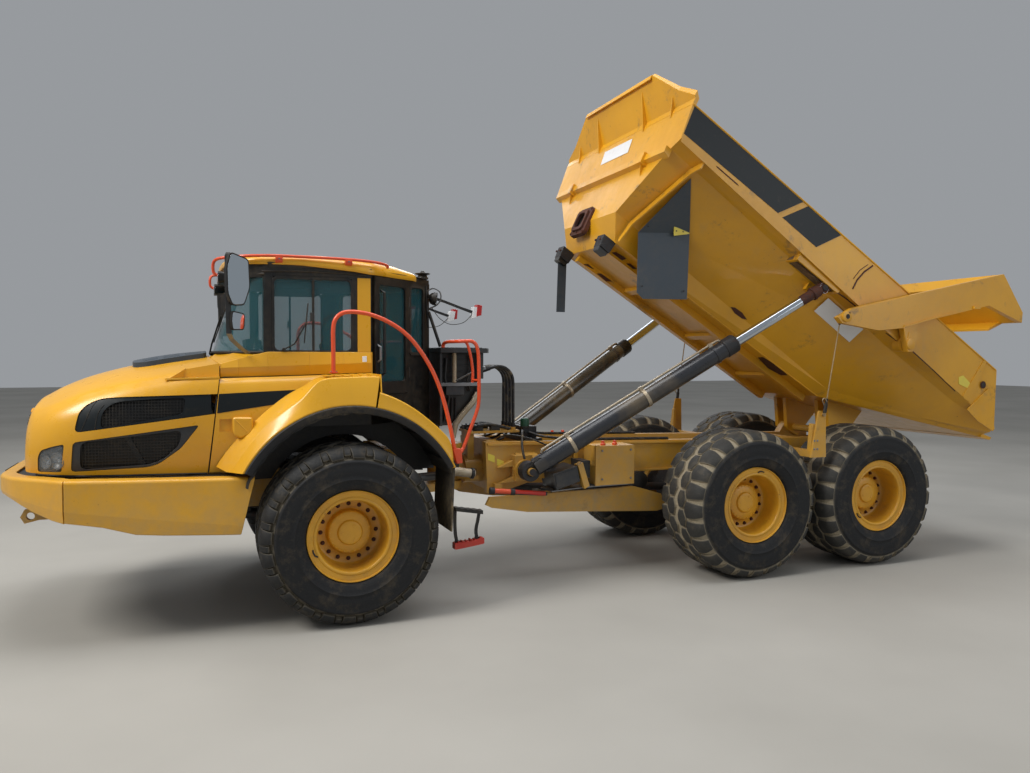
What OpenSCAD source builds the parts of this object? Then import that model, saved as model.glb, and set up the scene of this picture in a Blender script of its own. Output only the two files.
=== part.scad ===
// Articulated dump truck, six wheels, bed raised and overhung tailgate open.
// Millimetres. +X is the front, +Y the truck's left, +Z up. Inside the modules
// x = 0 is the front axle; place() then moves everything so that the frame's
// origin is on the ground under the middle of the whole length.

/* [Wheels] */
// Tyre outer radius
tyre_r = 775; // [770:1:780]
// Tyre width across the sidewalls
tyre_w = 750; // [740:1:756]
// Centre of each wheel from the truck's middle plane
track_y = 1108; // [1105:1:1112]
// Middle axle behind the front axle
mid_back = 4175; // [4170:1:4180]
// Rear axle behind the front axle
rear_back = 5845; // [5840:1:5850]

/* [Hitch] */
// Steering pivot behind the front axle
hitch_back = 1210; // [1205:1:1215]
// Height of the roll bearing's axis
hitch_z = 1110; // [1105:1:1115]

/* [Bed] */
// Raised angle of the bed in the rest pose
tip = 31.8; // [31.6:0.1:32]
// Bed hinge behind the front axle
bed_hinge_back = 6100; // [6098:1:6102]
// Bed hinge height
bed_hinge_z = 1400; // [1398:1:1402]
// Half width over the bed's top rails
rail_y = 1450; // [1445:1:1452]
// Half width inside the bed at the top
inner_y = 1353; // [1350:1:1356]
// Thickness of the bed's sloping walls and floor
bed_t = 40; // [36:1:44]

/* [Hoist] */
// Lower pin behind the front axle
hoist_low_back = 1915; // [1912:1:1918]
// Lower pin height
hoist_low_z = 1149; // [1146:1:1152]
// Lower pin from the middle plane
hoist_low_y = 700; // [698:1:702]
// Barrel radius
barrel_r = 92; // [88:1:94]
// Rod radius
rod_r = 55; // [50:1:58]

/* [Cab] */
// Half width of the cab
cab_y = 950; // [945:1:952]
// Roof edge height
roof_z = 3120; // [3115:1:3125]
// Cab wall thickness
cab_t = 60; // [55:1:62]

/* [Hidden] */
$fn = 48;
OX = 2556.5;
hx = -hitch_back;
bx = -bed_hinge_back;
YELLOW = "#e8a317";
DARK = "#24262a";
RUB = "#17181a";

// ---------- helpers ----------
module place() { translate([OX, 0, 0]) children(); }
// move from the lowered bed's position to the raised one
module raised() {
  translate([bx, 0, bed_hinge_z]) rotate([0, -tip, 0]) translate([-bx, 0, -bed_hinge_z]) children();
}
module both() { children(); mirror([0, 1, 0]) children(); }
// flat plate: outline in x and z, between two y planes
module slab(pts, y0, y1) { translate([0, y1, 0]) rotate([90, 0, 0]) linear_extrude(y1 - y0) polygon(pts); }
// block from its low corner to its high corner
module blk(a, b) { translate(a) cube([b[0] - a[0], b[1] - a[1], b[2] - a[2]]); }
// straight round bar between two points
module bar(a, b, r) {
  d = b - a; l = norm(d);
  translate(a) rotate([0, acos(d[2] / l), atan2(d[1], d[0])]) cylinder(r = r, h = l);
}
// bent pipe through a list of points, with ball corners a little proud of it
module pipe(pts, r) {
  for (i = [0:len(pts) - 2]) bar(pts[i], pts[i + 1], r);
  for (i = [1:len(pts) - 2]) translate(pts[i]) sphere(r = r * 1.1);
}
module disc_y(x, z, y0, y1, r) { translate([x, y0, z]) rotate([-90, 0, 0]) cylinder(r = r, h = y1 - y0); }
// closed skin over stations; a station is the left half's points from the bottom up
function flip(a) = [for (i = [len(a) - 1:-1:0]) a[i]];
module loft(stations) {
  st = stations[0][0][0] > stations[1][0][0] ? stations : flip(stations);
  k = len(st[0]); m = len(st);
  pts = [for (s = st) each concat(s, [for (p = s) [p[0], -p[1], p[2]]])];
  function L(j, i) = j * 2 * k + i;
  function R(j, i) = j * 2 * k + k + i;
  quads = concat(
    [for (j = [0:m - 2]) for (i = [0:k - 2]) [L(j, i), L(j, i + 1), L(j + 1, i + 1), L(j + 1, i)]],
    [for (j = [0:m - 2]) for (i = [0:k - 2]) [R(j, i), R(j + 1, i), R(j + 1, i + 1), R(j, i + 1)]],
    [for (j = [0:m - 2]) [L(j, 0), L(j + 1, 0), R(j + 1, 0), R(j, 0)]],
    [for (j = [0:m - 2]) [L(j, k - 1), R(j, k - 1), R(j + 1, k - 1), L(j + 1, k - 1)]],
    [for (i = [0:k - 2]) [L(0, i), R(0, i), R(0, i + 1), L(0, i + 1)]],
    [for (i = [0:k - 2]) [L(m - 1, i), L(m - 1, i + 1), R(m - 1, i + 1), R(m - 1, i)]]);
  polyhedron(points = pts, faces = [for (q = quads) each [[q[0], q[1], q[2]], [q[0], q[2], q[3]]]]);
}
// swept tube of n sides through points
function unit(v) = v / norm(v);
function tangent(p, i) = unit(p[min(i + 1, len(p) - 1)] - p[max(i - 1, 0)]);
module tube(p, r, n) {
  m = len(p);
  rings = [for (i = [0:m - 1]) let (t = tangent(p, i), a = unit(cross(t, [0, 1, 0.001])), b = cross(t, a))
    for (k = [0:n - 1]) p[i] + r * (cos(360 * k / n) * a + sin(360 * k / n) * b)];
  polyhedron(points = rings, faces = concat(
    [[for (k = [0:n - 1]) k]],
    [[for (k = [n - 1:-1:0]) (m - 1) * n + k]],
    [for (i = [0:m - 2]) for (k = [0:n - 1]) each [
      [i * n + k, (i + 1) * n + k, (i + 1) * n + (k + 1) % n],
      [i * n + k, (i + 1) * n + (k + 1) % n, i * n + (k + 1) % n]]]));
}

// ---------- wheels ----------
// half sections [radius, distance from the wheel's middle plane]
TYRE = [[330, 298], [395, 298], [400, 322], [450, 352], [540, 371], [620, 375], [690, 364], [735, 340], [762, 305], [775, 262]];
RIM = [[0, 150], [100, 150], [104, 126], [187, 118], [190, 52], [285, 52], [305, 110], [305, 316], [394, 316], [394, 298],
  [330, 298], [330, -298], [394, -298], [394, -316], [305, -316], [305, 30], [0, 30]];
module wheel_at(x, s) { translate([x, s * track_y, tyre_r]) mirror([0, s < 0 ? 1 : 0, 0]) rotate([-90, 0, 0]) children(); }
module tyre() {
  color(RUB) rotate_extrude($fn = 96) scale([1, 1]) polygon(concat(
    [for (p = TYRE) [p[0] * tyre_r / 775, p[1] * tyre_w / 750]],
    [for (i = [len(TYRE) - 1:-1:0]) [TYRE[i][0] * tyre_r / 775, -TYRE[i][1] * tyre_w / 750]]));
}
module rim() { color(YELLOW) rotate_extrude($fn = 96) polygon(RIM); }

// ---------- front unit ----------
module front_frame() color(YELLOW) place() difference() {
  union() {
    both() blk([-500, 400, 920], [2440, 460, 1260]);
    blk([2380, -400, 940], [2440, 400, 1240]);
    // engine mounts
    for (x = [1050, 1950]) both() blk([x, 360, 1100], [x + 120, 400, 1180]);
    // tower plates for the suspension struts
    both() blk([-130, 460, 1300], [130, 660, 1340]);
    both() slab([[-130, 1180], [130, 1180], [130, 1340], [-130, 1340]], 460, 490);
    // brackets that carry the bumper
    for (x = [1150, 1950]) both() blk([x, 460, 1080], [x + 60, 1210, 1200]);
    // brackets that carry the front of the cab
    both() blk([880, 460, 1160], [940, 640, 1600]);
    // hitch plates, bottom and top, and the posts between them
    for (z = [[920, 1000], [1330, 1400]]) translate([0, 0, z[0]]) linear_extrude(z[1] - z[0]) {
      translate([hx, 0]) circle(r = 200);
      polygon([[-499, 460], [hx, 200], [hx, -200], [-499, -460]]);
    }
    both() blk([-500, 400, 920], [-440, 460, 1400]);
    // beam that carries the rear of the cab and the steps
    blk([-900, -640, 1400], [-840, 640, 1460]);
    // front tow eyes
    both() slab([[2380, 930], [2480, 930], [2590, 905], [2620, 960], [2590, 1020], [2440, 1060], [2380, 1060]], 490, 540);
    both() blk([2380, 460, 940], [2440, 560, 1060]);
    // steering cylinder anchors
    both() blk([-300, 460, 1020], [-200, 690, 1060]);
    both() blk([-300, 460, 1150], [-200, 690, 1190]);
  }
  translate([hx, 0, 800]) cylinder(r = 60, h = 700);
  for (s = [-1, 1]) disc_y(2545, 965, s * 515 - 60, s * 515 + 60, 32);
  for (s = [-1, 1]) translate([-250, s * 640, 1000]) cylinder(r = 25, h = 220);
}
module front_axle() color(YELLOW) place() {
  disc_y(0, tyre_r, -1128, 1128, 110);
  both() disc_y(0, tyre_r, 780, 1120, 190);
  translate([-210, 0, tyre_r]) rotate([0, 90, 0]) cylinder(r = 240, h = 420);
  // suspension struts and lower links
  for (s = [-1, 1]) {
    translate([0, s * 570, tyre_r + 90]) cylinder(r = 60, h = 1300 - tyre_r - 90);
    bar([0, s * 520, tyre_r - 60], [820, s * 300, tyre_r + 60], 50);
    blk([770, s * 300 - 50, tyre_r + 60], [870, s * 300 + 50, 920]);
  }
  blk([780, -460, 900], [860, 460, 919]);
}
module engine_and_gearbox() color("#4a4d50") place() {
  blk([1050, -355, 1000], [2150, 355, 1840]);
  blk([760, -355, 1000], [1050, 355, 1600]);
  blk([-560, -280, 1090], [760, 280, 1320]);
  blk([-490, -230, 640], [-260, 230, 1090]);
  translate([-261, 0, tyre_r]) rotate([0, 90, 0]) cylinder(r = 45, h = 50);
}
// bumper outline seen from above, left half [x, y]
BUMP = [[785, 1300], [2210, 1300], [2600, 920], [2764, 560]];
module bumper() color(YELLOW) place() difference() {
  intersection() {
    translate([0, 0, 700]) linear_extrude(800) polygon(concat(BUMP, [for (i = [3:-1:0]) [BUMP[i][0], -BUMP[i][1]]]));
    slab([[785, 1311], [900, 834], [1700, 930], [2210, 1040], [2640, 1150], [2764, 1175], [2764, 1335], [2210, 1380]], -1400, 1400);
  }
  // inside, open below and behind
  translate([0, 0, 600]) linear_extrude(720) polygon([[700, 1210], [2170, 1210], [2530, 860], [2680, 520], [2680, -520], [2530, -860], [2170, -1210], [700, -1210]]);
  // well under the hood
  translate([0, 0, 1200]) linear_extrude(300) polygon([[700, 1140], [1800, 1140], [2200, 1105], [2440, 1000], [2560, 860],
    [2560, -860], [2440, -1000], [2200, -1105], [1800, -1140], [700, -1140]]);
}
FENDER = [[1150, 1360], [1045, 2190], [200, 2190], [-280, 2100], [-500, 1930], [-720, 1720], [-880, 1520], [-970, 1330], [820, 1330], [820, 1360]];
FENDER_IN = [[1150, 1360], [1045, 2190], [-200, 2190], [-205, 1925], [-500, 1925], [-720, 1720], [-880, 1520], [-970, 1330], [820, 1330], [820, 1360]];
arch = [-30, 865, 1030];
module fenders() color(YELLOW) place() both() {
  difference() {
    union() {
      slab(FENDER_IN, 960, 1120);
      intersection() {
        slab(FENDER, 1120, 1380);
        disc_y(arch[0], arch[1], 1120, 1380, 1140);
      }
      slab([[-280, 1900], [330, 1900], [330, 2170], [200, 2190], [-280, 2100]], 1110, 1300);
    }
    disc_y(arch[0], arch[1], 900, 1450, arch[2]);
    // locker behind the hood seam, open to the inside
    slab([[1080, 1420], [1000, 2130], [420, 2130], [500, 1900], [960, 1420]], 900, 1090);
  }
  // inner wing that carries the outer one
  difference() {
    slab([[700, 1600], [640, 1660], [-640, 1660], [-760, 1600], [-760, 1560], [700, 1560]], 641, 960);
    disc_y(arch[0], arch[1], 600, 1000, 700);
  }
}
module mudflaps() color(RUB) place() both() slab([[-905, 1328], [-880, 740], [-895, 740], [-920, 1328]], 800, 1370);

// ---------- cab ----------
// cab outline from above, left half, front to back [x, y]
CAB = [[1090, 520], [960, 800], [640, 950], [-250, 950], [-900, 400], [-960, 350]];
function cab_plan(d) = let (c = [for (p = CAB) [p[0] > 0 ? p[0] - d : p[0] + d * (p[1] > 900 ? 0.3 : 1), p[1] - d]])
  concat(c, [for (i = [len(c) - 1:-1:0]) [c[i][0], -c[i][1]]]);
module cab_body(d) intersection() {
  translate([0, 0, 1500]) linear_extrude(1700) polygon(cab_plan(d));
  slab([[1030 - d, 1690 + d], [1030 - d, 2290], [1090 - d, 2330], [890 - d, 3080 - d], [-960 + d, 3080 - d], [-960 + d, 1690 + d]], -1000, 1000);
}
// everything that the windows take out of the walls
module cab_windows() {
  slab([[690, 2350], [1300, 2350], [1300, 3000], [690, 3000]], -1000, 1000);
  slab([[-80, 2350], [610, 2350], [610, 3010], [-80, 3010]], -1000, 1000);
  slab([[-1100, 2350], [-920, 2350], [-920, 2960], [-1100, 2960]], -300, 300);
  // quarter panes in the right rear corner and behind the door
  for (w = [[0.72, 0.97, 1], [0.08, 0.6, -1]])
    translate([-250, w[2] * 950, 2350]) rotate([0, 0, w[2] > 0 ? -139.8 : 139.8])
      translate([w[0] * 851, -150, 0]) cube([(w[1] - w[0]) * 851, 300, 640]);
}
module cab_doorway(g) translate([-250, 950, 1960 - g]) rotate([0, 0, -139.8]) translate([20 - g, -200, 0]) cube([540 + 2 * g, 400, 1090 + 2 * g]);
ROOF = [
  [[960, 700, 3081], [990, 720, 3115], [940, 640, 3155], [880, 300, 3180]],
  [[640, 950, 3081], [640, 975, 3128], [600, 900, 3165], [600, 450, 3210]],
  [[-250, 950, 3081], [-250, 975, 3100], [-250, 900, 3150], [-250, 450, 3205]],
  [[-620, 650, 3081], [-640, 660, 3092], [-610, 580, 3130], [-580, 300, 3165]],
  [[-740, 530, 3081], [-765, 540, 3088], [-735, 480, 3108], [-710, 280, 3125]]];
module cab_shell() color(YELLOW) place() {
  difference() {
    cab_body(0);
    cab_body(cab_t);
    cab_windows();
    cab_doorway(0);
  }
  loft(ROOF);
  // legs that stand on the frame's brackets
  for (p = [[880, 1601], [-900, 1461]]) both() blk([p[0], 480, p[1]], [p[0] + 60, 620, 1691]);
}
module cab_glass() color("#9fb8bd", 0.4) place() difference() {
  intersection() {
    difference() { cab_body(14); cab_body(26); }
    cab_windows();
  }
  cab_doorway(0);
}
module cab_seat() color(RUB) place() {
  blk([-420, -250, 1751], [80, 250, 1960]);
  blk([-480, -270, 1960], [90, 270, 2110]);
  slab([[-480, 2110], [-330, 2110], [-430, 2800], [-540, 2800]], -250, 250);
  both() blk([-380, 290, 1751], [60, 400, 2300]);
}
module cab_dash() color(DARK) place() {
  slab([[945, 1756], [945, 2300], [820, 2390], [700, 2380], [720, 1756]], -560, 560);
  bar([690, 0, 1800], [460, 0, 2300], 35);
  translate([455, 0, 2310]) rotate([0, -25, 0]) rotate_extrude() translate([205, 0]) circle(r = 18);
  translate([455, 0, 2310]) rotate([0, -25, 0]) blk([-205, -20, -12], [205, 20, 12]);
}
module cab_door() color(DARK) place() difference() {
  translate([-250, 950, 1966]) rotate([0, 0, -139.8]) translate([30, -30, 0]) cube([524, 50, 1078]);
  translate([-250, 950, 2080]) rotate([0, 0, -139.8]) translate([90, -100, 0]) cube([400, 200, 890]);
}
module door_glass() color("#9fb8bd", 0.4) place()
  translate([-250, 950, 2080]) rotate([0, 0, -139.8]) translate([90, -10, 0]) cube([400, 12, 890]);
module cooler_box() color(DARK) place() {
  slab([[-1020, 1600], [-1150, 1600], [-1450, 1900], [-1450, 2360], [-1020, 2360]], -540, 540);
  translate([0, 0, 2352]) linear_extrude(48) polygon([[-1010, 600], [-1495, 600], [-1640, 240], [-1640, -240], [-1495, -600], [-1010, -600]]);
  both() blk([-1110, 150, 1401], [-1050, 210, 1610]);
  // bulkhead with the fittings of the hoses
  blk([-1600, -190, 2080], [-1440, 190, 2356]);
  for (y = [-135, -45, 45, 135]) translate([-1644, y, 2180]) rotate([0, 90, 0]) cylinder(r = 32, h = 50);
}
module access_steps() color(DARK) place() both() {
  // carrier from the frame's rear beam to the rails' feet
  blk([-1010, 560, 1401], [-901, 950, 1440]);
  blk([-1010, 940, 1401], [-946, 1170, 1440]);
  // arm behind the mudflap and the step at its end
  blk([-962, 1100, 872], [-946, 1160, 1410]);
  blk([-976, 1100, 872], [-946, 1200, 900]);
  blk([-1215, 1195, 872], [-946, 1290, 900]);
  // hanging step on two straps
  slab([[-952, 880], [-968, 880], [-975, 600], [-958, 600]], 1225, 1255);
  slab([[-1178, 880], [-1194, 880], [-1180, 615], [-1164, 615]], 1225, 1255);
  slab([[-940, 560], [-1230, 590], [-1230, 625], [-940, 605]], 1200, 1280);
}
module handrails() color("#e2511b") place() both() {
  tube([[140, 1270, 2184], [140, 1270, 2560], [120, 1270, 2630], [70, 1270, 2680], [0, 1270, 2697], [-100, 1270, 2692], [-200, 1270, 2672], [-310, 1270, 2630],
    [-420, 1270, 2570], [-520, 1270, 2490], [-600, 1270, 2400], [-690, 1270, 2270], [-760, 1270, 2140], [-820, 1270, 1990], [-870, 1270, 1820],
    [-918, 1270, 1640], [-962, 1270, 1480], [-988, 1270, 1350]], 19, 10);
  blk([-1014, 1180, 1340], [-968, 1295, 1380]);
  blk([-1014, 1120, 1352], [-968, 1185, 1400]);
  // rail that starts on the cooler's deck and comes down behind the steps
  tube([[-1040, 580, 2402], [-1042, 585, 2432], [-1048, 620, 2450], [-1065, 800, 2455], [-1090, 925, 2457], [-1140, 945, 2459], [-1215, 945, 2459], [-1262, 945, 2425], [-1283, 945, 2340],
    [-1290, 945, 2200], [-1290, 945, 1900], [-1262, 945, 1775], [-1200, 945, 1610], [-1150, 945, 1490], [-1110, 945, 1437], [-1070, 945, 1421], [-1013, 945, 1420]], 17, 10);
  // rail round the roof
  tube([[905, 745, 3014], [1055, 745, 3016], [1082, 745, 3038], [1088, 745, 3110], [1078, 750, 3148], [1040, 790, 3164], [900, 885, 3174], [780, 950, 3180], [600, 985, 3185],
    [0, 985, 3182], [-200, 982, 3174], [-330, 945, 3163], [-411, 880, 3155]], 14, 10);
  for (x = [557, -44]) translate([x, 976, 3105]) cylinder(r = 11, h = 72);
}
module mirrors() color(RUB) place() both() {
  pipe([[900, 930, 3100], [960, 1080, 3160], [960, 1120, 2500], [1000, 1090, 2212]], 17);
  translate([0, 0, 2740]) linear_extrude(430) polygon([[800, 1060], [825, 1035], [1000, 1180], [975, 1205]]);
  translate([0, 0, 2520]) linear_extrude(175) polygon([[850, 1085], [872, 1062], [965, 1160], [943, 1182]]);
  bar([900, 1125, 2950], [960, 1105, 2950], 14);
  bar([905, 1125, 2600], [960, 1115, 2600], 14);
}

// ---------- hood and grille: stations from the cab to the nose, points from the bottom up [x, y, z] ----------
HOOD = [
  [[1160, 1080, 1362], [1105, 1120, 1760], [1055, 1060, 2170], [1050, 985, 2215], [1130, 600, 2310], [1130, 300, 2335]],
  [[1750, 1085, 1362], [1750, 1120, 1740], [1750, 1020, 2080], [1750, 930, 2140], [1750, 600, 2220], [1750, 300, 2250]],
  [[2150, 1050, 1365], [2150, 1080, 1700], [2150, 950, 1970], [2150, 860, 2030], [2150, 560, 2100], [2150, 280, 2130]],
  [[2370, 960, 1370], [2385, 980, 1670], [2360, 850, 1880], [2350, 770, 1930], [2350, 520, 1995], [2350, 260, 2020]],
  [[2470, 830, 1380], [2505, 850, 1660], [2485, 740, 1830], [2475, 680, 1870], [2465, 480, 1925], [2460, 240, 1945]]];
// the same stations moved inward by the skin's thickness
function inside(st, t, x0, x1) = [for (j = [0:len(st) - 1]) [for (i = [0:len(st[j]) - 1]) let (p = st[j][i])
  [p[0] + (j == 0 ? x0 : j == len(st) - 1 ? x1 : 0), p[1] - t, i == 0 ? p[2] - 200 : p[2] - (i > 1 ? t : 0)]]];
module hood() color(YELLOW) place() difference() {
  loft(HOOD);
  loft(inside(HOOD, 40, -200, -40));
  blk([2300, -600, 1300], [2600, 600, 1850]);
}
module grille() color(DARK) place()
  slab([[2440, 1390], [2474, 1390], [2505, 1660], [2487, 1838], [2447, 1838], [2463, 1660], [2445, 1480]], -592, 592);

// ---------- hitch and steering ----------
module hitch_link() color(YELLOW) place() {
  translate([hx, 0, 1001]) cylinder(r = 170, h = 328);
  translate([hx, 0, 921]) cylinder(r = 59.95, h = 478);
  translate([-1900, 0, hitch_z]) rotate([0, 90, 0]) cylinder(r = 150, h = 480);
  translate([-1425, 0, hitch_z]) rotate([0, 90, 0]) cylinder(r = 105, h = 1425 + hx);
  // bracket that carries the feet of the hoses over the rear frame
  blk([-1520, -110, 1200], [-1450, 110, 1510]);
  blk([-2010, -200, 1500], [-1450, 200, 1525]);
  for (y = [-150, -50, 50, 150]) translate([-1954, y, 1520]) cylinder(r = 27, h = 36);
  // ears under the steering rods' eyes, with their pins
  both() {
    translate([0, 0, 1030]) linear_extrude(34) polygon([[hx + 30, 100], [hx - 60, 130], [hx - 210, 290], [hx - 300, 290], [hx - 300, 130], [hx - 100, 60]]);
    translate([hx - 250, 250, 1030]) cylinder(r = 25, h = 38);
  }
}
// steering cylinder from the front anchor to the hitch ear, at the rest length
st_a = [-250, 640, 1105];
st_b = [hx - 250, 250, 1105];
st_dir = unit(st_b - st_a);
module steer_barrel(s) color(DARK) place() mirror([0, s, 0]) {
  difference() {
    union() {
      translate(st_a - [0, 0, 44]) cylinder(r = 45, h = 88);
      bar(st_a + st_dir * 40, st_a + st_dir * 880, 44);
    }
    bar(st_a + st_dir * 90, st_a + st_dir * 900, 28.05);
  }
  translate(st_a - [0, 0, 84]) cylinder(r = 24.95, h = 168);
}
module steer_rod(s) color("#c9ccd0") place() mirror([0, s, 0]) {
  bar(st_a + st_dir * 560, st_b - st_dir * 30, 28);
  translate(st_b - [0, 0, 32]) cylinder(r = 42, h = 64);
}

// ---------- rear unit ----------
module rear_frame() color(YELLOW) place() difference() {
  union() {
    // main rails, deep in front and shallower over the bogie
    both() slab([[-1560, 900], [-1540, 1430], [-4600, 1360], [-6350, 1330], [-6350, 1130], [-4600, 1040], [-2200, 1040], [-1700, 900]], 330, 430);
    // front bulkhead round the roll bearing
    slab([[-1625, 900], [-1605, 1430], [-1720, 1430], [-1720, 900]], -330, 330);
    for (x = [-3300, -4900, -5750]) blk([x, -330, 1160], [x + 100, 330, 1320]);
    // hoist pin brackets
    both() blk([-2010, 430, 1030], [-1820, 560, 1290]);
    both() disc_y(-hoist_low_back, hoist_low_z, 430, 600, 100);
    both() disc_y(-hoist_low_back, hoist_low_z, 600, 800, 40);
    // bed hinge ears
    both() slab([[-5900, 1330], [-6000, 1470], [-6200, 1470], [-6250, 1330]], 330, 430);
    disc_y(bx, bed_hinge_z, -500, 500, 45);
    // outriggers for the gate stays
    both() blk([-5000, 430, 1240], [-4900, 1390, 1310]);
    both() slab([[-5090, 1240], [-4890, 1240], [-4990, 1740], [-5080, 1740]], 1390, 1415);
    both() disc_y(-5040, 1700, 1415, 1424, 22);
    // seat of the valve block over the frame's front, and the block
    blk([-2215, -331, 1335], [-2025, 331, 1436]);
    blk([-2190, -160, 1430], [-2040, 230, 1560]);
    // steering lock bar and its ears
    both() blk([-1700, 430, 930], [-1620, 500, 1000]);
    // rear tow eye
    slab([[-6350, 1150], [-6560, 1160], [-6625, 1195], [-6625, 1250], [-6590, 1275], [-6350, 1275]], -40, 40);
    blk([-6370, -330, 1130], [-6349, 330, 1280]);
    // bogie trunnion brackets
    both() blk([-5100, 430, 800], [-4920, 560, 1260]);
  }
  translate([-1905, 0, hitch_z]) rotate([0, 90, 0]) cylinder(r = 150.05, h = 500);
  disc_y(-6560, 1220, -100, 100, 28);
}
module bogie_beams() color(YELLOW) place() both() {
  // walking beam between the two axles
  difference() {
    slab([[-4000, 700], [-4100, 930], [-4800, 860], [-5010, 900], [-5220, 860], [-5920, 930], [-6020, 700], [-5700, 620], [-4320, 620]], 565, 650);
    for (x = [-mid_back, -rear_back]) disc_y(x, tyre_r, 500, 700, 120);
    disc_y(-5010, 810, 500, 700, 50.05);
  }
  disc_y(-5010, 810, 561, 650, 50);
  // thrust frame from the front of the rear unit to the middle axle
  slab([[-1540, 880], [-1500, 800], [-1560, 770], [-1960, 700], [-3510, 610], [-3640, 640], [-3560, 800], [-3220, 900], [-2000, 880]], 520, 560);
}
module rear_axles() color(YELLOW) place() for (x = [-mid_back, -rear_back]) {
  disc_y(x, tyre_r, -1128, 1128, 120);
  both() disc_y(x, tyre_r, 780, 1120, 190);
  translate([x - 200, 0, tyre_r]) rotate([0, 90, 0]) cylinder(r = 230, h = 400);
  // propeller shafts
  if (x > -5000) {
    bar([x + 200, 0, tyre_r], [-1990, 0, 880], 45);
    translate([x - 200 - 1270, 0, tyre_r]) rotate([0, 90, 0]) cylinder(r = 45, h = 1270);
  }
}
module side_boxes() color(DARK) place() both() {
  slab([[-2150, 1120], [-2190, 950], [-2455, 1025], [-2420, 1185]], 431, 780);
  blk([-2610, 431, 1044], [-2515, 700, 1225]);
  blk([-3100, 431, 970], [-2670, 755, 1373]);
  disc_y(-3308, 957, 431, 515, 95);
  bar([-1570, 640, 945], [-2090, 692, 905], 22);
  blk([-2120, 431, 886], [-2060, 700, 920]);
}

// ---------- bed, drawn lowered; stations [x, y, z]: floor edge, wall top, rail foot, rail top ----------
BED = [
  [[-2290, 600, 1550], [-2110, 640, 1810], [-2045, 1300, 2400], [-2030, rail_y, 2470], [-1955, rail_y, 2840]],
  [[-5500, 610, 1560], [-5500, 700, 1670], [-5500, 1280, 2260], [-5500, rail_y, 2320], [-5500, rail_y, 2840]],
  [[-6640, 1000, 1913], [-6640, 1050, 1960], [-6640, 1330, 2240], [-6640, rail_y, 2300], [-6640, rail_y, 2840]],
  [[-7370, 1270, 2140], [-7350, 1310, 2170], [-7335, 1400, 2200], [-7310, rail_y, 2250], [-6970, rail_y, 2840]]];
// the space inside: the same points moved in by the plates' thickness
BED_IN = [
  [[-2340, 600 - bed_t, 1550 + bed_t], [-2160, 640 - bed_t, 1830], [-2095, 1300 - bed_t, 2420], [-2080, inner_y, 2490], [-1998, inner_y, 2890]],
  [[-5500, 610 - bed_t, 1560 + bed_t], [-5500, 700 - bed_t, 1690], [-5500, 1280 - bed_t, 2280], [-5500, inner_y, 2350], [-5500, inner_y, 2890]],
  [[-6640, 1000 - bed_t, 1913 + bed_t], [-6640, 1050 - bed_t, 1990], [-6640, 1290, 2270], [-6640, inner_y, 2330], [-6640, inner_y, 2890]],
  [[-7470, 1230, 2195], [-7450, 1270, 2225], [-7435, 1330, 2250], [-7410, inner_y, 2310], [-7020, inner_y, 2890]]];
function raise_pt(p) = let (d = p - [bx, p[1], bed_hinge_z])
  [bx + d[0] * cos(tip) - d[2] * sin(tip), p[1], bed_hinge_z + d[0] * sin(tip) + d[2] * cos(tip)];
module dump_bed() color(YELLOW) place() raised() difference() {
  union() {
    difference() {
      loft(BED);
      loft(BED_IN);
    }
    // lip plate at the tail
    slab([[-7350, 2130], [-7500, 2175], [-7510, 2215], [-7340, 2175]], -1300, 1300);
    // headboard rib
    slab([[-2075, 2310], [-2000, 2330], [-1990, 2400], [-2065, 2400]], -1300, 1300);
    // spill guard and its gussets
    intersection() {
      slab([[-1998, 2830], [-1990, 2920], [-1665, 3235], [-1655, 3215], [-1950, 2900], [-1955, 2830]], -1450, 1450);
      translate([0, 0, 2000]) linear_extrude(1500) polygon([[-1650, 760], [-1650, -760], [-1850, -1200], [-1930, -1450], [-2020, -1450], [-2020, 1450], [-1930, 1450], [-1850, 1200]]);
    }
    for (y = [-1070, -520, 520, 1070]) slab([[-1960, 2820], [-1970, 2910], abs(y) > 600 ? [-1840, 3040] : [-1690, 3190], [-1960, 2790]], y - 10, y + 10);
    // hinge ears under the floor
    for (y = [294, 466]) both() slab([[-5750, 1660], [-6300, 1838], [-6200, 1330], [-6140, 1320], [-6050, 1320], [-5990, 1340]], y - 30, y + 30);
    // sills that rest on the frame
    both() blk([-5500, 340, 1480], [-2350, 420, 1580]);
    // plates beside the hoist rods' eyes
    both() slab([[-4430, 2190], [-4230, 2190], [-4230, 2380], [-4430, 2380]], 1200, 1284);
    // deeper wall over the rods' eyes
    both() blk([-4500, 1225, 2290], [-3850, 1430, 2388]);
    // tailgate pivots
    both() disc_y(-5559, 2318, 1370, 1479, 85);
    both() disc_y(-5559, 2318, 1400, 1560, 30);
  }
  for (y = [294, 466]) for (s = [-1, 1]) disc_y(bx, bed_hinge_z, s * y - 40, s * y + 40, 45.05);
  // room for the rods' eyes
  both() blk([-4460, 1250, 2150], [-3880, 1412, 2350]);
}
gate_pin = raise_pt([-5559, 0, 2318]);
module tailgate() color(YELLOW) place() {
  both() difference() {
    slab([[-5100, 2740], [-5300, 2840], [-7550, 3290], [-7877, 2850], [-7866, 2730], [-7320, 2920], [-6230, 2700], [-6160, 2380], [-6090, 2380], [-6020, 2640], [-5660, 2610], [-5160, 2680]], 1482, 1552);
    disc_y(gate_pin[0], gate_pin[2], 1400, 1600, 30.05);
  }
  // gate plate and the lower plate that reaches into the bed
  slab([[-7510, 3170], [-7550, 3290], [-7877, 2850], [-7866, 2730], [-7830, 2735]], -1482, 1482);
  slab([[-7866, 2730], [-7640, 2640], [-7640, 2665], [-7850, 2760]], -1300, 1300);
}
module gate_stays() color("#6d6f72") place() both() {
  bar([-5210, 1468, 2740], [-5040, 1436, 1700], 7);
  disc_y(-5040, 1700, 1425, 1444, 20);
}
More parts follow.
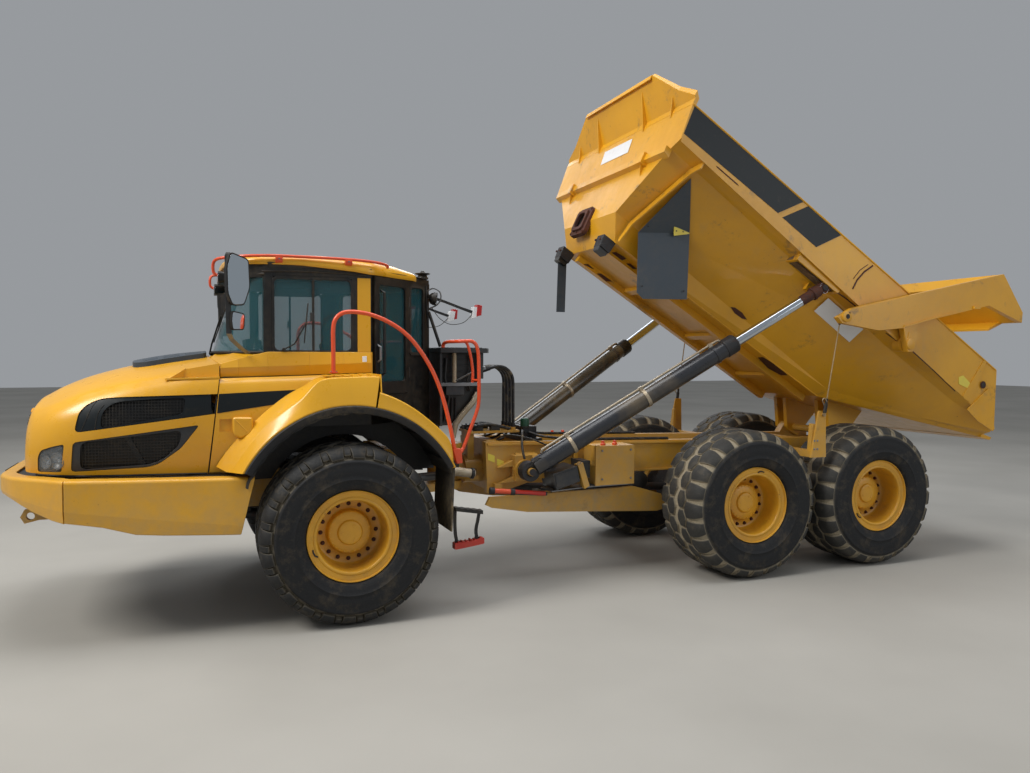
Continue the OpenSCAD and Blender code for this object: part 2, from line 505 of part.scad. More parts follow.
// hoist cylinder, from the lower pin to the raised upper eye
ho_a = [-hoist_low_back, hoist_low_y, hoist_low_z];
ho_b = raise_pt([-4330, 1370, 2258]);
ho_dir = unit(ho_b - ho_a);
module hoist_barrel(s) color(DARK) place() mirror([0, s, 0]) difference() {
  union() {
    disc_y(ho_a[0], ho_a[2], 640, 760, 95);
    bar(ho_a + ho_dir * 75, ho_a + ho_dir * 2540, barrel_r);
    bar(ho_a + ho_dir * 2440, ho_a + ho_dir * 2560, barrel_r + 8);
  }
  bar(ho_a + ho_dir * 180, ho_a + ho_dir * 2700, rod_r + 0.05);
  disc_y(ho_a[0], ho_a[2], 600, 800, 50);
}
module hoist_rod(s) color("#c9ccd0") place() mirror([0, s, 0]) {
  bar(ho_a + ho_dir * 1300, ho_b - ho_dir * 60, rod_r);
  translate(ho_b) rotate([90, 0, 0]) cylinder(r = 60, h = 70, center = true);
}

// ---------- hoses: route points [x, y, z] ----------
HOSE = [[-1650, 0, 2180], [-1698, 0, 2193], [-1747, 0, 2206], [-1807, 0, 2211], [-1864, 0, 2194], [-1912, 0, 2157], [-1943, 0, 2106], [-1954, 0, 2047],
  [-1954, 0, 1960], [-1954, 0, 1870], [-1954, 0, 1780], [-1954, 0, 1690], [-1954, 0, 1620], [-1954, 0, 1560]];
// sideways place of each hose at its fitting and at its foot
HOSE_Y = [[-135, -150], [-45, -50], [45, 50], [135, 150]];
module hose(i) color(RUB) place() tube([for (j = [0:len(HOSE) - 1])
  [HOSE[j][0], HOSE_Y[i][0] + (HOSE_Y[i][1] - HOSE_Y[i][0]) * j / (len(HOSE) - 1), HOSE[j][2]]], 17, 8);

module tyre_of(x, s) place() wheel_at(x, s) tyre();
module rim_of(x, s) place() wheel_at(x, s) rim();

tyre_of(0, 1);  // tyre_front_left
tyre_of(0, -1);  // tyre_front_right
tyre_of(-mid_back, 1);  // tyre_mid_left
tyre_of(-mid_back, -1);  // tyre_mid_right
tyre_of(-rear_back, 1);  // tyre_rear_left
tyre_of(-rear_back, -1);  // tyre_rear_right
rim_of(0, 1);  // rim_front_left
rim_of(0, -1);  // rim_front_right
rim_of(-mid_back, 1);  // rim_mid_left
rim_of(-mid_back, -1);  // rim_mid_right
rim_of(-rear_back, 1);  // rim_rear_left
rim_of(-rear_back, -1);  // rim_rear_right
front_frame();
front_axle();
engine_and_gearbox();
bumper();
fenders();
mudflaps();
cab_shell();
cab_glass();
cab_seat();
cab_dash();
cooler_box();
access_steps();
handrails();
mirrors();
hood();
grille();
cab_door();
door_glass();
steer_barrel(0);  // steer_barrel_left
steer_barrel(1);  // steer_barrel_right
steer_rod(0);  // steer_rod_left
steer_rod(1);  // steer_rod_right
hitch_link();
rear_frame();
bogie_beams();
rear_axles();
side_boxes();
dump_bed();
tailgate();
gate_stays();
hoist_barrel(0);  // hoist_barrel_left
hoist_barrel(1);  // hoist_barrel_right
hoist_rod(0);  // hoist_rod_left
hoist_rod(1);  // hoist_rod_right
hose(0);  // hose_1
hose(1);  // hose_2
hose(2);  // hose_3
hose(3);  // hose_4
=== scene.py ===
"""Articulated dump truck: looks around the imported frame. Metres; +X front, +Y the truck's left, +Z up.
Lengths inside the builders are given from the front axle; V() adds the frame's offset."""
import math
import random

import bmesh
import bpy
from mathutils import Matrix, Vector


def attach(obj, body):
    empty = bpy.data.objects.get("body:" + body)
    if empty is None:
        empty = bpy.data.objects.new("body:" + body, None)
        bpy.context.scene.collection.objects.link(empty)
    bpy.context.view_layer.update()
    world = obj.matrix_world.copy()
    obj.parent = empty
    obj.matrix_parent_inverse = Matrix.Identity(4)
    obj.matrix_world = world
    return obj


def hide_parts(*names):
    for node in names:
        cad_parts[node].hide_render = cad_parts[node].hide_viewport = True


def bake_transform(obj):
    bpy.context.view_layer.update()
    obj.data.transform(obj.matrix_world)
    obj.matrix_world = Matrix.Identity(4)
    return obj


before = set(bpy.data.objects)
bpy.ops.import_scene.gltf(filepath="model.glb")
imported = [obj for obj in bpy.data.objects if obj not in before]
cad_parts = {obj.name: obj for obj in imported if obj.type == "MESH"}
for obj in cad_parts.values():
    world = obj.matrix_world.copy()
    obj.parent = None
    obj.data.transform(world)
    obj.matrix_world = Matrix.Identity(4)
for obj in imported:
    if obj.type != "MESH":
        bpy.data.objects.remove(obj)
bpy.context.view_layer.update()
random.seed(7)
OX = 2.5565
TIP = math.radians(31.8)
BX, BZ = -6.100, 1.400


def V(x, y, z):
    return Vector((x + OX, y, z))


def R(x, y, z):
    """a point of the lowered bed, moved to where the raised bed has it"""
    dx, dz = x - BX, z - BZ
    return V(BX + dx * math.cos(TIP) - dz * math.sin(TIP), y, BZ + dx * math.sin(TIP) + dz * math.cos(TIP))


# ------------------------------------------------------------------ camera
CAM = (1.2513554, 8.3514541, 2.3108797)
YAW, PITCH, ROLL, FOCAL = -1.9456493, -0.0361612, 0.0024171, 815.1349
f = Vector((math.cos(PITCH) * math.cos(YAW), math.cos(PITCH) * math.sin(YAW), math.sin(PITCH)))
r0 = f.cross(Vector((0, 0, 1))).normalized()
u0 = r0.cross(f)
cr, sr = math.cos(ROLL), math.sin(ROLL)
right = cr * r0 + sr * u0
up = -sr * r0 + cr * u0
cam_data = bpy.data.cameras.new("camera")
cam_data.sensor_fit = "HORIZONTAL"
cam_data.sensor_width = 36.0
cam_data.lens = FOCAL * 36.0 / 1030.0
cam_data.clip_end = 200
camera = bpy.data.objects.new("camera", cam_data)
bpy.context.scene.collection.objects.link(camera)
m = Matrix((right, up, -f)).transposed().to_4x4()
m.translation = V(*CAM)
camera.matrix_world = m
bpy.context.scene.camera = camera


# ------------------------------------------------------------------ materials
class Mat:
    """small helper over one node tree"""

    def __init__(self, name, **bsdf):
        self.m = bpy.data.materials.new(name)
        self.m.use_nodes = True
        self.t = self.m.node_tree
        self.b = self.t.nodes["Principled BSDF"]
        for k, v in bsdf.items():
            self.set(k.replace("_", " "), v)
        self.co = None

    def set(self, socket, value):
        if isinstance(value, tuple) and len(value) == 3:
            value = (*value, 1)
        self.b.inputs[socket].default_value = value

    def node(self, kind, **props):
        n = self.t.nodes.new(kind)
        for k, v in props.items():
            setattr(n, k, v)
        return n

    def link(self, a, b):
        self.t.links.new(a, b)

    def coords(self, scale=(1, 1, 1)):
        if self.co is None:
            self.co = self.node("ShaderNodeTexCoord").outputs["Object"]
        mp = self.node("ShaderNodeMapping")
        mp.inputs["Scale"].default_value = scale
        self.link(self.co, mp.inputs["Vector"])
        return mp.outputs["Vector"]

    def noise(self, scale, detail=4.0, rough=0.55, stretch=(1, 1, 1), distortion=0.0):
        n = self.node("ShaderNodeTexNoise")
        n.inputs["Scale"].default_value = scale
        n.inputs["Detail"].default_value = detail
        n.inputs["Roughness"].default_value = rough
        n.inputs["Distortion"].default_value = distortion
        self.link(self.coords(stretch), n.inputs["Vector"])
        return n.outputs["Fac"]

    def voronoi(self, scale, feature="F1", stretch=(1, 1, 1), out="Distance"):
        n = self.node("ShaderNodeTexVoronoi", feature=feature)
        n.inputs["Scale"].default_value = scale
        self.link(self.coords(stretch), n.inputs["Vector"])
        return n.outputs[out]

    def ramp(self, fac, a, b, lo=0.0, hi=1.0):
        """map fac from a..b to lo..hi, clamped"""
        n = self.node("ShaderNodeMapRange")
        n.inputs["From Min"].default_value = a
        n.inputs["From Max"].default_value = b
        n.inputs["To Min"].default_value = lo
        n.inputs["To Max"].default_value = hi
        self.link(fac, n.inputs["Value"])
        return n.outputs["Result"]

    def math(self, op, a, b=None, clamp=False):
        n = self.node("ShaderNodeMath", operation=op, use_clamp=clamp)
        for i, v in enumerate((a, b)):
            if v is None:
                continue
            if isinstance(v, (int, float)):
                n.inputs[i].default_value = v
            else:
                self.link(v, n.inputs[i])
        return n.outputs[0]

    def mix(self, fac, a, b):
        n = self.node("ShaderNodeMix", data_type="RGBA")
        for k, v in (("Factor", fac), ("A", a), ("B", b)):
            s = [i for i in n.inputs if i.name == k and (i.type == "RGBA" or k == "Factor")][0]
            if isinstance(v, tuple):
                s.default_value = (*v, 1) if len(v) == 3 else v
            elif isinstance(v, (int, float)):
                s.default_value = v
            else:
                self.link(v, s)
        return [o for o in n.outputs if o.type == "RGBA"][0]

    def xyz(self, axis):
        n = self.node("ShaderNodeSeparateXYZ")
        if self.co is None:
            self.co = self.node("ShaderNodeTexCoord").outputs["Object"]
        self.link(self.co, n.inputs[0])
        return n.outputs[axis]

    def bump(self, height, strength=0.3, distance=0.01):
        n = self.node("ShaderNodeBump")
        n.inputs["Strength"].default_value = strength
        n.inputs["Distance"].default_value = distance
        self.link(height, n.inputs["Height"])
        self.link(n.outputs["Normal"], self.b.inputs["Normal"])

    def colour(self, c):
        self.link(c, self.b.inputs["Base Color"])

    def rough(self, r):
        self.link(r, self.b.inputs["Roughness"])


def hexc(h):
    v = [int(h[i : i + 2], 16) / 255 for i in (1, 3, 5)]
    return tuple(c / 12.92 if c <= 0.04045 else ((c + 0.055) / 1.055) ** 2.4 for c in v)


Y_MAIN = hexc("#e6ab24")
Y_DEEP = hexc("#d39816")
DUST = hexc("#a8926c")
RUST = hexc("#6b3a1c")
MUD = hexc("#7d6240")


def paint(name, base, deep, dust=0.35, chips=0.3, low=None, rough=0.34, dustc=DUST, seedscale=1.0, patches=0.0):
    """enamel with soft colour variation, dust, small chips with rust and, with low=(z0, z1), mud that fades upwards"""
    a = Mat(name, Metallic=0.0, Roughness=rough, Coat_Weight=0.25, Coat_Roughness=0.18)
    big = a.noise(0.55 * seedscale, 5, 0.6)
    c = a.mix(a.ramp(big, 0.35, 0.7), base, deep)
    fine = a.noise(9 * seedscale, 6, 0.7)
    dusty = a.math("MULTIPLY", a.ramp(big, 0.42, 0.75), a.ramp(fine, 0.38, 0.72, 0, dust), True)
    streak = a.noise(3.2, 5, 0.65, (1.6, 1.6, 0.22))
    dusty = a.math("ADD", dusty, a.ramp(streak, 0.60, 0.82, 0, dust * 0.6), True)
    if low:
        g = a.ramp(a.xyz("Z"), low[0], low[1], 1, 0)
        g = a.math("MULTIPLY", g, a.ramp(fine, 0.25, 0.62, 0.15, 1.0))
        dusty = a.math("ADD", dusty, a.math("MULTIPLY", g, 0.75), True)
    c = a.mix(dusty, c, dustc)
    if patches:
        p = a.noise(2.1, 7, 0.72, distortion=0.6)
        spot = a.noise(13, 5, 0.7)
        pm = a.math("MULTIPLY", a.ramp(p, 0.56, 0.66), a.ramp(spot, 0.45, 0.6, 0, patches), True)
        c = a.mix(pm, c, MUD)
    if chips:
        v = a.noise(38, 3, 0.5)
        w = a.noise(2.3, 3, 0.5)
        mask = a.math("MULTIPLY", a.ramp(v, 0.70, 0.735), a.ramp(w, 0.52, 0.62, 0, chips), True)
        c = a.mix(mask, c, RUST)
        a.bump(a.math("SUBTRACT", a.noise(60, 2, 0.5), a.math("MULTIPLY", mask, 1.5)), 0.12, 0.002)
    a.colour(c)
    a.rough(a.math("ADD", a.ramp(fine, 0.3, 0.75, rough - 0.06, rough + 0.12), a.math("MULTIPLY", dusty, 0.35), True))
    return a.m


M = {}
M["yellow"] = paint("yellow_enamel", Y_MAIN, Y_DEEP, dust=0.16, chips=0.12, rough=0.30)
M["yellow_low"] = paint("yellow_enamel_low", Y_MAIN, Y_DEEP, dust=0.30, chips=0.3, low=(0.3, 1.5), rough=0.36)
M["yellow_frame"] = paint("yellow_frame", hexc("#d9a01e"), hexc("#b98314"), dust=0.5, chips=0.6, low=(0.4, 1.9), rough=0.42, patches=0.4)
M["yellow_bed"] = paint("yellow_bed", hexc("#e3a71f"), hexc("#cc9114"), dust=0.35, chips=0.9, rough=0.38, patches=0.75)
M["yellow_rim"] = paint("yellow_rim", hexc("#e2a92a"), hexc("#c08618"), dust=0.45, chips=0.8, rough=0.42, patches=0.4, seedscale=2.0)


def worn_steel(name, base, dark, rough=0.5, metal=0.75, rust=0.5):
    a = Mat(name, Metallic=metal, Roughness=rough)
    n1 = a.noise(2.2, 7, 0.65, (1, 1, 1), 0.4)
    n2 = a.noise(26, 5, 0.7)
    scratch = a.noise(8, 4, 0.7, (0.35, 5, 5))
    c = a.mix(a.ramp(n1, 0.35, 0.68), base, dark)
    c = a.mix(a.math("MULTIPLY", a.ramp(n2, 0.48, 0.66), rust, True), c, RUST)
    c = a.mix(a.ramp(scratch, 0.62, 0.8, 0, 0.6), c, hexc("#b9b2a4"))
    a.colour(c)
    a.rough(a.ramp(n2, 0.3, 0.7, rough - 0.12, rough + 0.2))
    a.bump(a.math("ADD", a.math("MULTIPLY", n2, 0.6), scratch), 0.25, 0.004)
    return a.m


M["bed_inside"] = worn_steel("bed_inside_steel", hexc("#8b8073"), hexc("#6a5a49"), 0.5, 0.55, 0.35)
M["gate_inside"] = worn_steel("gate_inside_steel", hexc("#8f8272"), hexc("#6e5d4b"), 0.6, 0.4, 0.4)
M["rusty"] = worn_steel("rusty_iron", hexc("#5b3b33"), hexc("#3a2420"), 0.75, 0.3, 0.7)
M["iron"] = worn_steel("oily_iron", hexc("#3c3d3f"), hexc("#232426"), 0.55, 0.5, 0.15)


def dark(name, base, dust=0.3, rough=0.45, grain=0.0, low=None):
    a = Mat(name, Metallic=0.0, Roughness=rough)
    n = a.noise(1.3, 6, 0.65)
    fine = a.noise(18, 5, 0.7)
    d = a.math("MULTIPLY", a.ramp(n, 0.4, 0.75), a.ramp(fine, 0.35, 0.7, 0, dust), True)
    if low:
        g = a.ramp(a.xyz("Z"), low[0], low[1], 1, 0)
        d = a.math("ADD", d, a.math("MULTIPLY", g, a.ramp(fine, 0.3, 0.7, 0.1, 0.7)), True)
    a.colour(a.mix(d, base, DUST))
    a.rough(a.math("ADD", a.ramp(fine, 0.3, 0.7, rough - 0.08, rough + 0.1), a.math("MULTIPLY", d, 0.3), True))
    if grain:
        a.bump(a.noise(220, 2, 0.5), grain, 0.001)
    return a.m


M["charcoal"] = dark("charcoal_paint", hexc("#2b2e33"), 0.22, 0.38)
M["slate"] = dark("slate_paint", hexc("#3a444e"), 0.14, 0.42)
dm = Mat("charcoal_decal", Roughness=0.42, Specular_IOR_Level=0.35)
dm.colour(dm.mix(dm.ramp(dm.noise(14, 5, 0.65), 0.58, 0.78, 0.0, 0.30), hexc("#0d1519"), hexc("#4a4132")))
dm.bump(dm.noise(60, 3, 0.6), 0.10, 0.001)
M["decal"] = dm.m
M["black"] = dark("black_parts", hexc("#101113"), 0.18, 0.42, 0.15)
M["rubber"] = dark("black_rubber", hexc("#15161a"), 0.35, 0.62, 0.3)
M["flap"] = dark("mudflap_rubber", hexc("#17181b"), 0.5, 0.7, 0.3, (0.5, 1.4))
M["plastic"] = dark("dark_plastic", hexc("#26292d"), 0.2, 0.5, 0.3)
M["grey_metal"] = worn_steel("grey_metal", hexc("#8a8c8e"), hexc("#6c6e70"), 0.4, 0.7, 0.08)
M["white_plate"] = dark("white_plate", hexc("#e2e4e6"), 0.25, 0.35)
M["pale_sticker"] = dark("pale_sticker", hexc("#e3cf4a"), 0.3, 0.4)
M["red_paint"] = paint("red_paint", hexc("#c8281c"), hexc("#9d1c12"), dust=0.4, chips=0.4, rough=0.4)
M["orange"] = paint("orange_rail_paint", hexc("#e4532a"), hexc("#c8421c"), dust=0.2, chips=0.35, rough=0.32)
M["headliner"] = dark("cab_headliner", hexc("#4a4c50"), 0.0, 0.8)
M["red_lamp"] = Mat("red_lens", Base_Color=hexc("#b01812"), Roughness=0.15, Coat_Weight=0.6).m
M["amber_lamp"] = Mat("amber_lens", Base_Color=hexc("#e07a10"), Roughness=0.15, Coat_Weight=0.6).m
M["mirror"] = Mat("mirror_glass", Base_Color=hexc("#c9d2d8"), Metallic=1.0, Roughness=0.04).m
M["chrome"] = Mat("hard_chrome", Base_Color=hexc("#c9d0d8"), Metallic=1.0, Roughness=0.09).m
M["green_cap"] = Mat("green_cap", Base_Color=hexc("#1f4d38"), Roughness=0.4).m


def cylinder_mat(name, base, worn):
    a = Mat(name, Metallic=0.0, Roughness=0.3, Coat_Weight=0.35, Coat_Roughness=0.15)
    n = a.noise(7, 5, 0.7)
    big = a.noise(1.1, 4, 0.6)
    c = a.mix(a.ramp(n, 0.55, 0.75, 0, 0.6), base, worn)
    c = a.mix(a.ramp(big, 0.5, 0.75, 0, 0.35), c, DUST)
    a.colour(c)
    a.rough(a.ramp(n, 0.3, 0.75, 0.24, 0.48))
    return a.m


M["barrel"] = cylinder_mat("barrel_paint", hexc("#24262b"), hexc("#3d4046"))
M["barrel_old"] = cylinder_mat("barrel_paint_worn", hexc("#3a352c"), hexc("#66583e"))
M["pipe_steel"] = worn_steel("pipe_steel", hexc("#b8ac98"), hexc("#96876c"), 0.4, 0.6, 0.15)
M["wire"] = worn_steel("wire_rope", hexc("#b39a72"), hexc("#8f7a58"), 0.5, 0.4, 0.2)


def tyre_mat(name, dust_amount, groove):
    """rubber whose grooves hold pale dust; height above the carcass comes from an attribute made with the tread"""
    a = Mat(name, Metallic=0.0, Roughness=0.75)
    at = a.node("ShaderNodeAttribute", attribute_name="tread")
    h = at.outputs["Fac"]
    n = a.noise(6, 6, 0.7)
    fine = a.noise(70, 4, 0.7)
    c = a.mix(a.ramp(fine, 0.4, 0.7, 0, 0.5), hexc("#0c0e11"), hexc("#191b20"))
    # dusty tread: tops get a grey film, edges of the grooves a paler one
    film = a.math("MULTIPLY", a.ramp(h, 0.30, 0.65), a.ramp(n, 0.3, 0.62, dust_amount * 0.4, dust_amount * 0.8), True)
    c = a.mix(film, c, hexc("#4d4b45"))
    g = a.math("MULTIPLY", a.ramp(h, 0.62, 0.95), a.ramp(fine, 0.25, 0.6, 0.6, 1.0), True)
    c = a.mix(a.math("MULTIPLY", g, groove, True), c, hexc("#a89c84"))
    low = a.math("MULTIPLY", a.ramp(n, 0.52, 0.75), 0.14)
    c = a.mix(low, c, DUST)
    a.colour(c)
    a.rough(a.ramp(fine, 0.3, 0.7, 0.62, 0.86))
    a.bump(a.math("ADD", fine, a.math("MULTIPLY", n, 0.6)), 0.35, 0.003)
    return a.m


M["tyre_front"] = tyre_mat("tyre_rubber_front", 0.22, 0.35)
M["tyre_rear"] = tyre_mat("tyre_rubber_rear", 0.75, 0.9)


def glass(name, tint, alpha=0.25):
    a = Mat(name, Base_Color=tint, Roughness=0.02, Metallic=0.0, Alpha=alpha, Coat_Weight=0.5, Coat_Roughness=0.02)
    a.set("Specular IOR Level", 0.6)
    a.m.surface_render_method = "BLENDED"
    return a.m


M["glass"] = glass("cab_pane", hexc("#3a6f78"), 0.30)
M["lens"] = glass("lamp_lens", hexc("#aab2b8"), 0.14)
seat = Mat("seat_cloth", Roughness=0.9, Sheen_Weight=0.3)
wv = seat.node("ShaderNodeTexWave", wave_type="BANDS")
wv.inputs["Scale"].default_value = 90
seat.link(seat.coords(), wv.inputs["Vector"])
seat.colour(seat.mix(wv.outputs["Fac"], hexc("#1b1c20"), hexc("#2d2f35")))
seat.bump(wv.outputs["Fac"], 0.3, 0.002)
M["seat"] = seat.m


def hose_mat():
    a = Mat("hose_rubber", Roughness=0.5)
    n = a.noise(12, 5, 0.7)
    a.colour(a.mix(a.ramp(n, 0.5, 0.75, 0, 0.35), hexc("#101114"), DUST))
    a.rough(a.ramp(n, 0.3, 0.7, 0.38, 0.62))
    a.bump(a.noise(120, 2, 0.5), 0.2, 0.001)
    return a.m


M["hose"] = hose_mat()


# ------------------------------------------------------------------ mesh building
class Build:
    """collects closed shapes, each with a material index, into one mesh"""

    def __init__(self, *mats):
        self.bm = bmesh.new()
        self.mats = list(mats)

    def _mi(self, mat):
        if mat is None:
            return 0
        if mat not in self.mats:
            self.mats.append(mat)
        return self.mats.index(mat)

    def faces(self, pts, quads, mat=None):
        vs = [self.bm.verts.new(p) for p in pts]
        mi = self._mi(mat)
        out = []
        for q in quads:
            try:
                fc = self.bm.faces.new([vs[i] for i in q])
                fc.material_index = mi
                out.append(fc)
            except ValueError:
                pass
        return vs, out

    def loop_solid(self, rings, mat=None, caps=True):
        """rings of equal count joined by quads; end caps as n-gons"""
        n = len(rings[0])
        pts = [p for ring in rings for p in ring]
        quads = []
        for j in range(len(rings) - 1):
            for i in range(n):
                k = (i + 1) % n
                quads.append((j * n + i, j * n + k, (j + 1) * n + k, (j + 1) * n + i))
        if caps:
            quads.append(tuple(range(n - 1, -1, -1)))
            quads.append(tuple((len(rings) - 1) * n + i for i in range(n)))
        return self.faces(pts, quads, mat)

    def prism(self, pts, y0, y1, mat=None, fn=None):
        """outline in x and z between two y planes; fn maps (x, y, z) to the frame"""
        fn = fn or V
        return self.loop_solid([[fn(x, y0, z) for x, z in pts], [fn(x, y1, z) for x, z in pts]], mat)

    def prism_z(self, pts, z0, z1, mat=None, fn=None):
        fn = fn or V
        return self.loop_solid([[fn(x, y, z0) for x, y in pts], [fn(x, y, z1) for x, y in pts]], mat)

    def prism_x(self, pts, x0, x1, mat=None, fn=None):
        fn = fn or V
        return self.loop_solid([[fn(x0, y, z) for y, z in pts], [fn(x1, y, z) for y, z in pts]], mat)

    def box(self, lo, hi, mat=None, fn=None):
        return self.prism([(lo[0], lo[2]), (hi[0], lo[2]), (hi[0], hi[2]), (lo[0], hi[2])], lo[1], hi[1], mat, fn)

    def plate(self, pts, t, mat=None, both=False):
        """flat polygon given in the frame, with thickness t along its normal"""
        n = Vector((0, 0, 0))
        for i in range(len(pts)):
            a, b = pts[i], pts[(i + 1) % len(pts)]
            n += a.cross(b)
        n.normalize()
        off = n * t
        base = [p - off * 0.5 for p in pts] if both else pts
        return self.loop_solid([base, [p + off for p in base]], mat)

    def tube(self, path, r, n=14, mat=None, caps=True, r2=None):
        """round bar along a list of frame points"""
        rings = []
        ref = None
        for i, p in enumerate(path):
            a = path[max(i - 1, 0)]
            b = path[min(i + 1, len(path) - 1)]
            t = (b - a).normalized()
            if ref is None:
                ref = t.orthogonal().normalized()
            u = (ref - t * ref.dot(t)).normalized()
            ref = u
            w = t.cross(u)
            rad = r if r2 is None else r + (r2 - r) * i / (len(path) - 1)
            # wider where the path bends so that the bar keeps its thickness
            if 0 < i < len(path) - 1:
                c = (path[i] - path[i - 1]).normalized().dot((path[i + 1] - path[i]).normalized())
                rad = rad / max(0.8, math.sqrt((1 + c) / 2))
            rings.append([p + rad * (math.cos(2 * math.pi * k / n) * u + math.sin(2 * math.pi * k / n) * w) for k in range(n)])
        return self.loop_solid(rings, mat, caps)

    def lathe(self, prof, origin, axis, n=48, mat=None, closed=False):
        """prof: (radius, distance along the axis)"""
        ax = Vector(axis).normalized()
        u = ax.orthogonal().normalized()
        w = ax.cross(u)
        pts, quads = [], []
        m_ = len(prof)
        idx = []
        for r, h in prof:
            if r < 1e-5:
                idx.append([len(pts)] * n)
                pts.append(origin + ax * h)
            else:
                idx.append(list(range(len(pts), len(pts) + n)))
                pts += [origin + ax * h + r * (math.cos(2 * math.pi * k / n) * u + math.sin(2 * math.pi * k / n) * w) for k in range(n)]
        rows = m_ if closed else m_ - 1
        for j in range(rows):
            a, b = idx[j], idx[(j + 1) % m_]
            for k in range(n):
                q = [a[k], a[(k + 1) % n], b[(k + 1) % n], b[k]]
                q = [v for i, v in enumerate(q) if v not in q[:i]]
                if len(q) > 2:
                    quads.append(tuple(q))
        return self.faces(pts, quads, mat)

    def disc(self, c, axis, r, h, mat=None, n=24, chamfer=0.15):
        """short closed cylinder from c along axis, edges chamfered"""
        k = min(r, abs(h)) * chamfer
        return self.lathe([(0, 0), (r - k, 0), (r, k if h > 0 else -k), (r, h - (k if h > 0 else -k)), (r - k, h), (0, h)], c, axis, n, mat)

    def bolt(self, c, axis, r=0.012, h=0.012, mat=None):
        return self.lathe([(0, 0), (r, 0), (r, h * 0.8), (r * 0.85, h), (0, h)], c, axis, 6, mat)

    def loft(self, stations, mat=None, caps=True, closed=True):
        if closed:
            return self.loop_solid(stations, mat, caps)
        n = len(stations[0])
        pts = [p for s in stations for p in s]
        quads = [(j * n + i, j * n + i + 1, (j + 1) * n + i + 1, (j + 1) * n + i) for j in range(len(stations) - 1) for i in range(n - 1)]
        return self.faces(pts, quads, mat)

    def done(self, name, body, slot=None, replaces=(), bevel=0.0, seg=2, angle=32, solidify=0.0, weld=0.0, flat=False):
        if weld:
            bmesh.ops.remove_doubles(self.bm, verts=self.bm.verts, dist=weld)
        bmesh.ops.recalc_face_normals(self.bm, faces=self.bm.faces)
        me = bpy.data.meshes.new(name)
        self.bm.to_mesh(me)
        self.bm.free()
        for mt in self.mats:
            me.materials.append(M[mt] if isinstance(mt, str) else mt)
        ob = bpy.data.objects.new(name, me)
        bpy.context.scene.collection.objects.link(ob)
        return finish_piece(ob, body, replaces, bevel, seg, angle, solidify, flat)


def finish_piece(ob, body, replaces=(), bevel=0.0, seg=2, angle=32, solidify=0.0, flat=False):
    me = ob.data
    if not flat:
        me.shade_smooth()
    if solidify:
        s = ob.modifiers.new("thick", "SOLIDIFY")
        s.thickness = solidify
        s.offset = -1
    if bevel:
        b = ob.modifiers.new("bevel", "BEVEL")
        b.width = bevel
        b.segments = seg
        b.limit_method = "ANGLE"
        b.angle_limit = math.radians(angle)
        b.use_clamp_overlap = True
        w = ob.modifiers.new("normals", "WEIGHTED_NORMAL")
        w.keep_sharp = False
        w.weight = 60
    elif not flat:
        me.set_sharp_from_angle(angle=math.radians(angle))
    if body:
        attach(ob, body)
    if replaces:
        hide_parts(*replaces)
    return ob


def apply_all(ob):
    """turn the modifiers into the mesh"""
    dg = bpy.context.evaluated_depsgraph_get()
    me = bpy.data.meshes.new_from_object(ob.evaluated_get(dg))
    ob.modifiers.clear()
    old = ob.data
    ob.data = me
    bpy.data.meshes.remove(old)
    return ob


def cut(ob, cutter):
    """boolean difference, applied; the cutter is removed"""
    b = ob.modifiers.new("cut", "BOOLEAN")
    b.operation = "DIFFERENCE"
    b.solver = "EXACT"
    b.object = cutter
    apply_all(ob)
    bpy.data.objects.remove(cutter)
    return ob


def raw(build, name, centre=None):
    """object without riding, for cutters and for pieces that are cut before they are finished; an open skin faces away from centre"""
    bmesh.ops.recalc_face_normals(build.bm, faces=build.bm.faces)
    if centre is not None:
        if sum((fc.calc_center_median() - centre).dot(fc.normal) * fc.calc_area() for fc in build.bm.faces) < 0:
            bmesh.ops.reverse_faces(build.bm, faces=build.bm.faces)
    me = bpy.data.meshes.new(name)
    build.bm.to_mesh(me)
    build.bm.free()
    for mt in build.mats:
        me.materials.append(M[mt] if isinstance(mt, str) else mt)
    ob = bpy.data.objects.new(name, me)
    bpy.context.scene.collection.objects.link(ob)
    return ob


def spline(pts, k=6):
    """Catmull-Rom through points (any dimension), k steps between neighbours"""
    out = []
    n = len(pts)
    for i in range(n - 1):
        p0, p1, p2, p3 = pts[max(i - 1, 0)], pts[i], pts[i + 1], pts[min(i + 2, n - 1)]
        for j in range(k):
            t = j / k
            out.append(tuple(0.5 * (2 * b + (c - a) * t + (2 * a - 5 * b + 4 * c - d) * t * t + (3 * b - a - 3 * c + d) * t ** 3) for a, b, c, d in zip(p0, p1, p2, p3)))
    out.append(tuple(pts[-1]))
    return out


def mirrored(pts):
    return [(x, -y, z) for x, y, z in pts]


SIDES = (("left", 1), ("right", -1))


